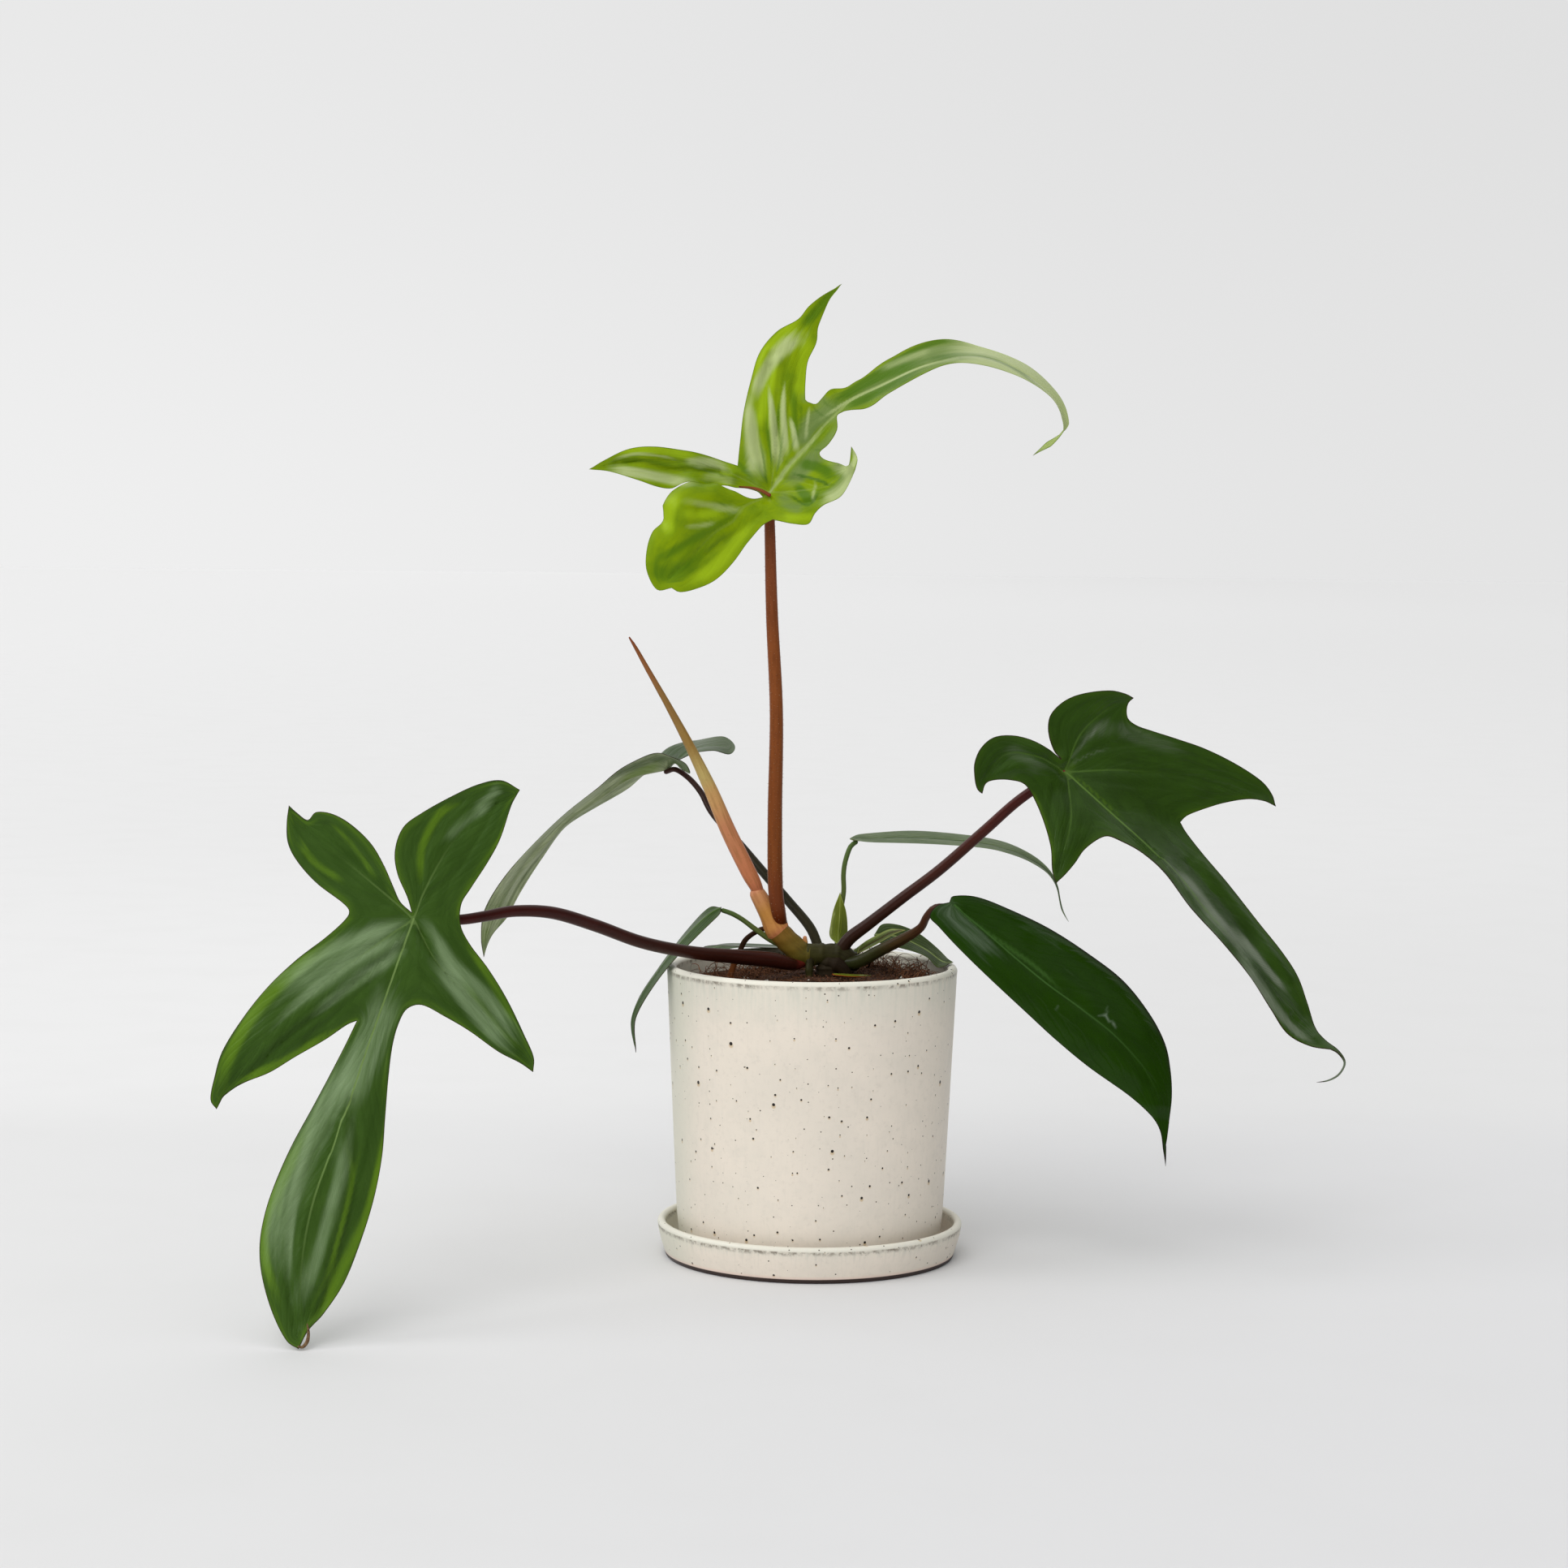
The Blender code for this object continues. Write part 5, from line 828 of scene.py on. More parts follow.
def strip(start, turn, stations, tip):
    """Rows for a lobe or a narrow leaf, pressed flat by its true lengths.

    It gives the rib's rows, the first edge's and the second's, all from the base out, and the
    tip's. The first edge lies on the left of the way out.
    """
    angle = math.radians(turn)
    along, left = (math.cos(angle), math.sin(angle)), (-math.sin(angle), math.cos(angle))
    base_flat = np.array(flat_place(start))
    reach, last = 0.0, place(*start[:3])
    ribs, firsts, seconds = [], [], []
    for rib, first, second in stations:
        here = place(*rib)
        reach += float(np.linalg.norm(here - last)) / MM
        last = here
        spot = base_flat + reach * np.array(along)
        ribs.append(rib + tuple(spot))
        for edge, side, rows in ((first, 1, firsts), (second, -1, seconds)):
            width = float(np.linalg.norm(place(*edge) - here)) / MM
            rows.append(edge + tuple(spot + side * width * np.array(left)))
    reach += float(np.linalg.norm(place(*tip) - last)) / MM
    return ribs, firsts, seconds, tip + tuple(base_flat + reach * np.array(along))


def narrow_blade(base, stations, tip, upper=1, tones=()):
    """A leaf without lobes, from its base out to its tip."""
    ribs, firsts, seconds, end = strip(base, 0.0, stations, tip)
    root = base + flat_place(base)
    return Blade([[root] + firsts, [end] + seconds[::-1]], [[root] + ribs + [end]], upper,
                 tones=tones)


def top_blade():
    ribs, firsts, seconds, tip = strip(TOP_LOBE_ROOT, TOP_LOBE_TURN, TOP_LOBE_STATIONS,
                                       TOP_LOBE_TIP)
    main_rib = [TOP_JUNCTION, (-15, 378, -6), (-7, 387, -5), (3, 399, -3), TOP_LOBE_ROOT]
    runs = [TOP_UPPER_LOBE, TOP_UPPER_LOBE_BACK, TOP_SHOULDER + firsts, [tip] + seconds[::-1],
            TOP_NECK, TOP_RIGHT_LOBE, TOP_LOW_LOBE, TOP_LOW_LOBE_END, TOP_LOW_LOBE_BACK,
            TOP_LEFT_LOBE, TOP_LEFT_LOBE_BACK]
    return Blade(runs, [main_rib + ribs + [tip]] + TOP_RIBS, 1, TOP_FOLDS, TOP_TONES, 1.0)


def back_blade():
    junction = BACK_JUNCTION + (0, 0)
    ribs, nears, fars, tip = strip(junction, 0, BACK_STATIONS, BACK_TIP)
    runs = [[BACK_NOTCH] + BACK_FAR_LOBE + fars, [tip] + nears[::-1] + BACK_NEAR_LOBE]
    near_rib = [junction, (-66, 238, 70, -6, 12), (-62, 235, 66, -14, 18)]
    far_rib = [junction, (-56, 245, 94, -16, -14), (-42, 246, 99, -31, -19)]
    return Blade(runs, [[junction] + ribs + [tip], near_rib, far_rib], tones=BACK_TONES)


def stalk_rows(points_and_radii, step):
    """The places, in metres, and the radii along a stalk, about a step apart."""
    rows = [tuple(p if isinstance(p, np.ndarray) else place(*p)) + (r * MM,)
            for p, r in points_and_radii]
    rows = smooth(rows, step * MM)
    return rows[:, :3], rows[:, 3]


def tube(name, points_and_radii, sides=20, step=2.0, shape=None):
    """A stalk with domed ends along a smooth path.

    shape gives a factor of the radius at (millimetres along, share of a turn). Each vertex has
    its place along the stalk, from 0 to 1, and its length in millimetres from the start.
    """
    line, radii = stalk_rows(points_and_radii, step)
    domes = []
    for end, neighbour, radius in ((line[0], line[1], radii[0]), (line[-1], line[-2], radii[-1])):
        out = (end - neighbour) / np.linalg.norm(end - neighbour)
        domes.append([(end + out * radius * math.sin(t), radius * math.cos(t))
                      for t in (math.radians(a) for a in (20, 40, 58, 74))])
    line = np.vstack([[p for p, _ in domes[0][::-1]], line, [p for p, _ in domes[1]]])
    radii = np.concatenate([[r for _, r in domes[0][::-1]], radii, [r for _, r in domes[1]]])
    ahead = np.gradient(line, axis=0)
    ahead /= np.linalg.norm(ahead, axis=1)[:, None]
    run = np.concatenate([[0], np.cumsum(np.linalg.norm(np.diff(line, axis=0), axis=1))]) / MM
    side = np.cross(ahead[0], (0.1, 0.9, 0.3))
    vertices, lengths, turns = [], [], []
    for point, way, radius, length in zip(line, ahead, radii, run):
        side = side - way * (side @ way)
        side /= np.linalg.norm(side)
        other = np.cross(way, side)
        for i in range(sides):
            turn = i / sides
            reach = radius * (shape(length, turn) if shape else 1)
            angle = 2 * math.pi * turn
            vertices.append(point + reach * (math.cos(angle) * side + math.sin(angle) * other))
            lengths.append(length)
            turns.append(turn)
    rings = len(line)
    faces = []
    for ring in range(rings - 1):
        for i in range(sides):
            a, b = ring * sides + i, ring * sides + (i + 1) % sides
            faces.append((a, b, b + sides, a + sides))
    first, last = len(vertices), len(vertices) + 1
    vertices += [line[0], line[-1]]
    lengths += [run[0], run[-1]]
    turns += [0, 0]
    for i in range(sides):
        j = (i + 1) % sides
        faces += [(first, j, i), (last, (rings - 1) * sides + i, (rings - 1) * sides + j)]
    return mesh_object(name, vertices, faces, along=np.array(lengths) / run[-1], run=lengths,
                       turn=turns)


def turned(name, profile, sides=192, wobble=0.0):
    """A round body from its profile, listed as (radius, height) from axis to axis.

    Its UV map is unrolled in millimetres: round the body from its back, and along the profile.
    wobble is how far a hand-thrown wall strays from round.
    """
    profile = np.array(profile)
    run = np.concatenate([[0], np.cumsum(np.linalg.norm(np.diff(profile, axis=0), axis=1))])
    vertices, starts = [], []
    for radius, height in profile:
        starts.append(len(vertices))
        if radius == 0:
            vertices.append((0, 0, height * MM))
            continue
        for i in range(sides):
            angle = 2 * math.pi * i / sides + math.pi / 2
            out = radius + wobble * (math.cos(2 * angle + height / 40) + 0.5 * math.sin(3 * angle))
            vertices.append((out * MM * math.cos(angle), out * MM * math.sin(angle), height * MM))
    faces, corners = [], []
    pairs = list(zip(range(len(profile)), range(1, len(profile))))
    if profile[0][0] > 0:
        pairs.append((len(profile) - 1, 0))
    for lower, upper in pairs:
        for i in range(sides):
            j = (i + 1) % sides
            spots = [(lower, i, i), (lower, j, i + 1), (upper, j, i + 1), (upper, i, i)]
            if profile[lower][0] == 0:
                spots.pop(1)
            elif profile[upper][0] == 0:
                spots.pop(2)
            faces.append([starts[ring] + (0 if profile[ring][0] == 0 else spot)
                          for ring, spot, _ in spots])
            for ring, _, turn in spots:
                corners.append((2 * math.pi * turn / sides * UNROLL_RADIUS, run[ring]))
    piece = mesh_object(name, vertices, faces)
    layer = piece.data.uv_layers.new(name="unrolled")
    layer.data.foreach_set("uv", np.array(corners, dtype=np.float32).ravel())
    piece.data.set_sharp_from_angle(angle=math.radians(50))
    return piece


def arc(centre_radius, centre_height, radius, start, end, count):
    """Profile points round a corner, by angles in degrees from the outward direction."""
    turns = [math.radians(start + (end - start) * i / count) for i in range(count + 1)]
    return [(centre_radius + radius * math.cos(t), centre_height + radius * math.sin(t))
            for t in turns]


def srgb(text):
    """A colour from its sRGB hex value, in the linear values that the shader takes."""
    channels = [int(text[i:i + 2], 16) / 255 for i in (1, 3, 5)]
    return tuple(c / 12.92 if c <= 0.04045 else ((c + 0.055) / 1.055) ** 2.4
                 for c in channels) + (1.0,)


def node(tree, kind, inputs=(), **settings):
    """Adds a node with its settings and links.

    An input is named, or numbered where names repeat. It is given a value, a colour's hex
    value, a socket, or a node, which stands for that node's first live output.
    """
    made = tree.nodes.new(kind)
    for name, value in settings.items():
        setattr(made, name, value)
    for name, value in dict(inputs).items():
        socket = made.inputs[name] if isinstance(name, int) else next(
            s for s in made.inputs if s.enabled and s.name == name)
        if isinstance(value, str):
            value = srgb(value)
        if isinstance(value, bpy.types.Node):
            value = next(s for s in value.outputs if s.enabled)
        if isinstance(value, bpy.types.NodeSocket):
            tree.links.new(value, socket)
        else:
            socket.default_value = value
    return made


def new_material(name):
    """An empty material and its node tree."""
    material = bpy.data.materials.new(name)
    material.use_nodes = True
    material.node_tree.nodes.clear()
    return material, material.node_tree


def painted(tree, colour, layers):
    """Lays colours over a first one, each by its own factor."""
    for factor, over in layers:
        colour = node(tree, "ShaderNodeMix", {0: factor, 6: colour, 7: over},
                      data_type="RGBA").outputs[2]
    return colour


def faded(tree, *steps, low=0.0, high=1.0):
    """A factor from soft steps, multiplied: each a value, where it is out and where it is in.

    The first step goes from low to high, the others from nought to one.
    """
    for value, out, full in steps:
        high = node(tree, "ShaderNodeMapRange",
                    {"Value": value, "From Min": out, "From Max": full, "To Min": low,
                     "To Max": high}, interpolation_type="SMOOTHSTEP")
        low = 0.0
    return high


def closed_by(tree, colour, roughness, bump, **fixed):
    """Ends a tree with its shader and output. fixed are the sockets that are the same all over."""
    shader = node(tree, "ShaderNodeBsdfPrincipled",
                  {"Base Color": colour, "Roughness": roughness, "Normal": bump})
    for title, value in fixed.items():
        shader.inputs[title.replace("_", " ")].default_value = value
    node(tree, "ShaderNodeOutputMaterial", {"Surface": shader})


def leaf_material(name, ground, deep, lime, pale, rib, margin, shaded="#5C8440", wine="#1E1018",
                  rough=0.34, gloss=0.3, rib_width=0.9, rib_fade=0.75, vein_tone=0.3,
                  vein_depth=0.25, streaks=0.35, margin_lime=0.0, side_ribs=0.45):
    """A waxy leaf surface: tones that follow the blade, painted sheen and painted shade among them,
    side veins, midrib and margin.
    """
    material, tree = new_material(name)
    at = {title: node(tree, "ShaderNodeAttribute", attribute_name=title).outputs["Fac"]
          for title in ("rib", "main", "edge", "across", "flank", "run", "share", *TONES)}
    spot = node(tree, "ShaderNodeTexCoord").outputs["Object"]
    # Streaks run lengthwise in each lobe, some 5 mm wide and 40 mm long.
    streak = node(tree, "ShaderNodeTexNoise", {"Vector": node(tree, "ShaderNodeMapping", {
        "Vector": node(tree, "ShaderNodeCombineXYZ", {"X": at["flank"], "Y": at["run"]}),
        "Scale": (5.0, 0.022, 1.0)}), "Scale": 1.0, "Detail": 4.0, "Roughness": 0.6})
    mottle = node(tree, "ShaderNodeTexNoise",
                  {"Vector": spot, "Scale": 75.0, "Detail": 4.0, "Roughness": 0.6})
    # Side veins leave the midrib every 13 mm, with finer ones every 2.6 mm. They run 60 mm
    # forward on their way out, wander a little, and fade just before the margin.
    veins = []
    for gap, trough in ((13.0, 0.0), (2.6, 0.3)):
        slant = node(tree, "ShaderNodeMath", {0: at["across"], 1: -60.0 / gap},
                     operation="MULTIPLY")
        turns = node(tree, "ShaderNodeMath", {0: at["run"], 1: 1 / gap, 2: slant},
                     operation="MULTIPLY_ADD")
        turns = node(tree, "ShaderNodeMath", {0: mottle, 1: 1.2, 2: turns},
                     operation="MULTIPLY_ADD")
        wave = node(tree, "ShaderNodeMath", {0: node(tree, "ShaderNodeMath", {
            0: turns, 1: 2 * math.pi}, operation="MULTIPLY")}, operation="COSINE")
        veins.append(faded(tree, (at["edge"], 0.5, 4.0), (wave, trough, 1.0)))
    wide_veins, fine_veins = veins
    fine_veins = node(tree, "ShaderNodeMath", {0: fine_veins, 1: faded(
        tree, (streak, 0.4, 0.6), high=vein_tone)}, operation="MULTIPLY")
    # The streaks make each tone's edge ragged.
    toned = {title: faded(tree, (node(tree, "ShaderNodeMath", {
        0: streak, 1: 0.8, 2: at[title]}, operation="MULTIPLY_ADD"), 0.47, 1.4), high=0.85)
        for title in TONES}
    # Over the ground colour: the pale tone is mostly painted sheen, the shade tone painted shade,
    # and the deep and wine tones partly painted shade in the grooves.
    colour = painted(tree, ground, [
        (faded(tree, (mottle, 0.35, 0.75), high=0.5), deep), (toned["shaded"], shaded),
        (faded(tree, (streak, 0.42, 0.62), high=streaks), deep),
        (faded(tree, (streak, 0.42, 0.6), (at["edge"], 4.5, 0.6), high=margin_lime), lime),
        (toned["deep"], deep), (toned["lime"], lime), (toned["pale"], pale),
        (toned["wine"], wine), (fine_veins, deep),
        (faded(tree, (at["run"], 55.0, 5.0), (at["rib"], 0.7, 0.2), high=side_ribs), rib),
        (faded(tree, (at["share"], rib_fade, rib_fade - 0.6),
               (at["main"], rib_width, rib_width * 0.35)), rib),
        (faded(tree, (at["pale"], 0.8, 0.3), (at["edge"], 0.45, 0.15), high=0.9), margin)])
    # The wider veins lie in shallow valleys, and the skin between them is finely pebbled.
    valleys = node(tree, "ShaderNodeBump", {"Height": wide_veins, "Strength": 1.0,
                                            "Distance": vein_depth * MM}, invert=True)
    pebble = node(tree, "ShaderNodeTexNoise",
                  {"Vector": spot, "Scale": 900.0, "Detail": 3.0, "Roughness": 0.6})
    bump = node(tree, "ShaderNodeBump", {"Height": node(
        tree, "ShaderNodeMath", {0: fine_veins, 1: -1.5, 2: pebble}, operation="MULTIPLY_ADD"),
        "Strength": 0.3, "Distance": 0.00006, "Normal": valleys})
    roughness = node(tree, "ShaderNodeMath", {
        0: faded(tree, (mottle, 0.3, 0.7), low=rough - 0.05, high=rough + 0.07),
        1: faded(tree, (at["edge"], 0.5, 0.1), high=0.9)}, operation="MAXIMUM")
    closed_by(tree, colour, roughness, bump, IOR=1.45, Specular_IOR_Level=gloss)
    return material


def stalk_material(name, colours, fleck, rough=0.4):
    """Smooth stalk skin: its colour changes along it, with fine lengthwise flecks."""
    material, tree = new_material(name)
    along, run, turn = (node(tree, "ShaderNodeAttribute", attribute_name=title).outputs["Fac"]
                        for title in ("along", "run", "turn"))
    spot = node(tree, "ShaderNodeTexCoord").outputs["Object"]
    # Fibres under the skin, 0.6 mm apart round the stalk and 15 mm long.
    round_about = node(tree, "ShaderNodeMath", {0: node(tree, "ShaderNodeMath", {
        0: turn, 1: 2 * math.pi}, operation="MULTIPLY")}, operation="SINE")
    fibre = node(tree, "ShaderNodeTexNoise", {"Vector": node(tree, "ShaderNodeMapping", {
        "Vector": node(tree, "ShaderNodeCombineXYZ", {"X": round_about, "Y": run}),
        "Scale": (8.0, 0.06, 1.0)}), "Scale": 1.0, "Detail": 3.0})
    grain = node(tree, "ShaderNodeTexNoise",
                 {"Vector": spot, "Scale": 700.0, "Detail": 3.0, "Roughness": 0.65})
    changes = [(faded(tree, (along, start, end)), shade)
               for (start, _), (end, shade) in zip(colours, colours[1:])]
    colour = painted(tree, colours[0][1], changes + [
        (faded(tree, (fibre, 0.4, 0.7), high=0.45), fleck),
        (faded(tree, (grain, 0.55, 0.75), high=0.35), fleck)])
    bump = node(tree, "ShaderNodeBump", {"Height": node(
        tree, "ShaderNodeMath", {0: fibre, 1: grain}, operation="ADD"),
        "Strength": 0.4, "Distance": 0.00015})
    closed_by(tree, colour, rough, bump, IOR=1.45, Specular_IOR_Level=0.16)
    return material


def glaze_material(name, rim_height, foot_height, thinned):
    """Stoneware under a satin tin-white glaze, fired so that iron in the clay bleeds through.

    The glaze is creamy where it lies thick, grey-green where it thins near the rim, and breaks
    to a dark line under the lip. Iron specks show as dark dots, some with an ochre run.
    thinned is how far down from the rim it runs thin.
    """
    material, tree = new_material(name)
    spot = node(tree, "ShaderNodeTexCoord").outputs["Object"]
    unrolled = node(tree, "ShaderNodeUVMap", uv_map="unrolled").outputs["UV"]
    across, _, height = node(tree, "ShaderNodeSeparateXYZ", {"Vector": spot}).outputs

    def below_rim(out, full):
        """A step by how far a place lies below the rim."""
        return height, (rim_height - out) * MM, (rim_height - full) * MM

    def specks(gap, drop):
        """Cells a gap apart on the unrolled wall, let down by a share of the gap."""
        return node(tree, "ShaderNodeTexVoronoi", {"Vector": node(
            tree, "ShaderNodeMapping", {"Vector": unrolled,
                                        "Location": (gap, gap / 3 + gap * drop, 0)}),
            "Scale": 1 / gap}, voronoi_dimensions="2D")

    # Runs in the glaze: a few millimetres wide, drawn out downwards.
    runs = node(tree, "ShaderNodeTexNoise", {"Vector": node(
        tree, "ShaderNodeMapping", {"Vector": unrolled, "Scale": (0.55, 0.05, 1.0)}),
        "Scale": 1.0, "Detail": 4.0, "Roughness": 0.6})
    cloud, patches, grain = (
        node(tree, "ShaderNodeTexNoise",
             {"Vector": spot, "Scale": scale, "Detail": detail, "Roughness": roughness})
        for scale, detail, roughness in ((22.0, 3.0, 0.5), (110.0, 3.0, 0.6), (420.0, 4.0, 0.65)))
    broken = node(tree, "ShaderNodeMath", {
        0: faded(tree, (grain, 0.4, 0.6), low=0.15),
        1: faded(tree, (patches, 0.3, 0.6), low=0.25)}, operation="MULTIPLY")
    layers = [
        (faded(tree, (cloud, 0.35, 0.7), high=0.7), "#DBD3C6"),
        (faded(tree, (patches, 0.45, 0.7), high=0.3), "#D4CDC0"),
        (faded(tree, (runs, 0.5, 0.8), high=0.25), "#CFC8BC"),
        (faded(tree, (grain, 0.5, 0.8), high=0.35), "#C4BCB0"),
        # It runs thin near the rim, and one side, the left, is painted greener: a painted
        # reflection.
        (faded(tree, (runs, 0.25, 0.7), below_rim(thinned, thinned * 0.15), low=0.2625,
               high=0.75), "#CFCFC1"),
        (faded(tree, (across, -0.05, -0.066), high=0.55), "#CDD0BE"),
        # A smear, the dark broken line and the pale lip over it.
        (faded(tree, (runs, 0.45, 0.75), below_rim(11, 3.2), high=0.28), "#AEACA2"),
        (faded(tree, below_rim(1.7, 2.3), below_rim(4.6, 2.5), high=broken), "#827A6D"),
        (faded(tree, below_rim(2.1, 1.4), high=0.8), "#DEDBCE")]
    # Specks: few of up to 1.6 mm across and many finer ones, in cells of 21, 11 and 7 mm.
    dents = []
    for gap, share, size, ochre in ((21.0, 0.5, 0.040, 0.6), (11.0, 0.6, 0.046, 0.42),
                                    (7.0, 0.4, 0.048, 0.0)):
        cells = specks(gap, 0.0)
        chance = node(tree, "ShaderNodeSeparateColor", {"Color": cells.outputs["Color"]})
        shown = node(tree, "ShaderNodeMath", {0: chance.outputs["Red"], 1: share},
                     operation="LESS_THAN")
        reach = faded(tree, (chance.outputs["Green"], 0.0, 1.0), low=size * 0.35, high=size)
        away = node(tree, "ShaderNodeMath", {0: cells, 1: reach}, operation="DIVIDE")
        if ochre:
            run_away = node(tree, "ShaderNodeMath", {0: specks(gap, 0.04), 1: reach},
                            operation="DIVIDE")
            layers.append((faded(tree, (shown, 0, 1), (run_away, 1.9, 0.8), high=ochre),
                           "#B99A62"))
        dents.append(faded(tree, (away, 1.1, 0.95), high=shown))
        layers.append((dents[-1], "#1A0F08" if ochre else "#3A2A1A"))
    # The foot is left bare, with a pink blush over it where the glaze ends. The bare clay is
    # painted
    # near black: dark clay, deepened by painted contact shadow where it meets the floor.
    for out, full, most, colour in ((4.0, 1.8, 0.7, "#DDC0B2"), (2.3, 1.9, 1.0, "#2A1812")):
        layers.append((faded(tree, (height, (foot_height + out) * MM, (foot_height + full) * MM),
                             high=most), colour))
    relief = node(tree, "ShaderNodeMath", {0: grain, 1: node(
        tree, "ShaderNodeMath", {0: dents[0], 1: dents[1]}, operation="MAXIMUM")},
        operation="SUBTRACT")
    bump = node(tree, "ShaderNodeBump", {"Height": relief, "Strength": 0.35,
                                         "Distance": 0.00025})
    closed_by(tree, painted(tree, "#E4DACC", layers),
              faded(tree, (cloud, 0.3, 0.7), low=0.42, high=0.55), bump, IOR=1.5)
    return material


def earth_material(name, colours, scale, rough=0.95):
    """Crumbly or fibrous matter, of a few colours mixed by noise of a set scale."""
    material, tree = new_material(name)
    spot = node(tree, "ShaderNodeTexCoord").outputs["Object"]
    clumps = node(tree, "ShaderNodeTexNoise",
                  {"Vector": spot, "Scale": scale, "Detail": 5.0, "Roughness": 0.7})
    crumbs = node(tree, "ShaderNodeTexVoronoi", {"Vector": spot, "Scale": scale * 3})
    colour = painted(tree, colours[0], [
        (faded(tree, (clumps, 0.4, 0.6)), colours[1]),
        (faded(tree, (crumbs, 0.35, 0.7), high=0.7), colours[2])])
    bump = node(tree, "ShaderNodeBump", {"Height": node(
        tree, "ShaderNodeMath", {0: clumps, 1: crumbs}, operation="ADD"),
        "Strength": 0.9, "Distance": 0.4 * MM})
    closed_by(tree, colour, rough, bump)
    return material


def soil_height(radius):
    return SOIL_EDGE_Z + SOIL_MOUND * math.exp(-(radius / SOIL_MOUND_RADIUS) ** 2)


def heaped(x, y):
    """How much higher the loose mix lies than its even mound: heaped at the right, sunk left."""
    heap = 5.0 * math.exp(-((x - 38) / 20) ** 2 - ((y - 14) / 24) ** 2)
    hollow = 3.0 * math.exp(-((x + 42) / 20) ** 2 - ((y - 10) / 40) ** 2)
    return heap - hollow


def pot_radius(height):
    """The pot's outer radius at a height: a slow flare, drawn in at the foot."""
    share = np.clip((height - POT_FOOT) / (POT_RIM_Z - POT_FOOT), 0, 1)
    flare = POT_RIM_RADIUS - POT_FLARE * (1 - share) ** POT_FLARE_POWER
    return flare - POT_TUCK * np.exp(-(height - POT_FOOT) / POT_TUCK_HEIGHT)


def inside_wall(clearance):
    """The pot's inside from under its lip down to its floor, less a clearance all over."""
    floor = POT_FOOT + POT_FLOOR
    heights = (134, 128, 120, 110, 100, 80, 60, 40, 28)
    wall = [(pot_radius(h) - POT_WALL - clearance, h) for h in heights]
    corner = 7.5
    toe = pot_radius(20) - POT_WALL - clearance
    return wall + [(toe - corner + corner * math.cos(t), floor + clearance + corner
                    - corner * math.sin(t)) for t in (0, 0.4, 0.8, 1.2, math.pi / 2)]


def build_pot():
    inner_ring = FOOT_RING_RADIUS - FOOT_RING_WIDTH
    outer = [(DRAIN_RADIUS, POT_FOOT + FOOT_RECESS),
             (inner_ring - FOOT_RECESS, POT_FOOT + FOOT_RECESS), (inner_ring, POT_FOOT + 0.3),
             (inner_ring + 0.4, POT_FOOT), (FOOT_RING_RADIUS - 0.2, POT_FOOT)]
    outer += [(pot_radius(h), h)
              for h in [POT_FOOT + up for up in (0.4, 1.2, 2.5, 4, 6, 8, 11, 15)]
              + [27, 40, 55, 70, 85, 100, 112, 124, 131, 135]]
    lip = POT_WALL / 2
    rim = arc(POT_RIM_RADIUS - lip, POT_RIM_Z - lip, lip, 0, 180, 12)
    inner = inside_wall(0) + [(DRAIN_RADIUS, POT_FOOT + POT_FLOOR)]
    return turned("glazed_pot", outer + rim + inner, wobble=0.12)


def build_saucer():
    foot, lip = SAUCER_FOOT_RADIUS, SAUCER_LIP_ROUND
    outer = [(0, 0), (40, 0), (foot - 1.0, 0), (foot - 0.5, 0.13), (foot - 0.13, 0.5), (foot, 1.0),
             (foot + 0.6, 3.0), (foot + 1.6, 6.0), (foot + 2.5, 9.0),
             (SAUCER_LIP_RADIUS - 0.5, 12.5)]
    rim = arc(SAUCER_LIP_RADIUS - lip, SAUCER_HEIGHT - lip, lip, 0, 180, 12)
    inner = [(SAUCER_INNER_RADIUS + 0.15, 13.6), (SAUCER_INNER_RADIUS, 12.0),
             (SAUCER_INNER_RADIUS - 0.4, 9.5), (SAUCER_INNER_RADIUS - 1.2, 7.5),
             (SAUCER_INNER_RADIUS - 2.2, 6.0), (SAUCER_INNER_RADIUS - 3.5, SAUCER_FLOOR),
             (40, SAUCER_FLOOR), (0, SAUCER_FLOOR)]
    return turned("glazed_saucer", outer + rim + inner, wobble=0.1)


def build_soil():
    """The potting mix: a mounded, crumbly top over the plain sides and bottom of the filling."""
    below = [row for row in inside_wall(SEAT_GAP)[::-1] if row[1] < SOIL_EDGE_Z - 2]
    edge = pot_radius(SOIL_EDGE_Z) - POT_WALL - SEAT_GAP
    radii = np.arange(edge, 0.9, -0.9)
    profile = [(0, below[0][1])] + below + [(r, soil_height(r)) for r in radii]
    profile.append((0, soil_height(0)))
    piece = turned("potting_mix", profile, sides=220)
    for vertex in piece.data.vertices:
        at = vertex.co / MM
        radius = math.hypot(at.x, at.y)
        if at.z < SOIL_EDGE_Z - 1 or radius > edge - 0.5:
            continue
        lump = noise.fractal(at / 9.0, 0.8, 2.2, 4)        # clods some 9 mm apart
        crumb = noise.noise(at / 1.6)                      # and crumbs of 1.6 mm
        vertex.co.z += (1.5 * lump + 0.5 * crumb + heaped(at.x, at.y)) * MM * min(
            1.0, (edge - radius) / 3)
    return piece


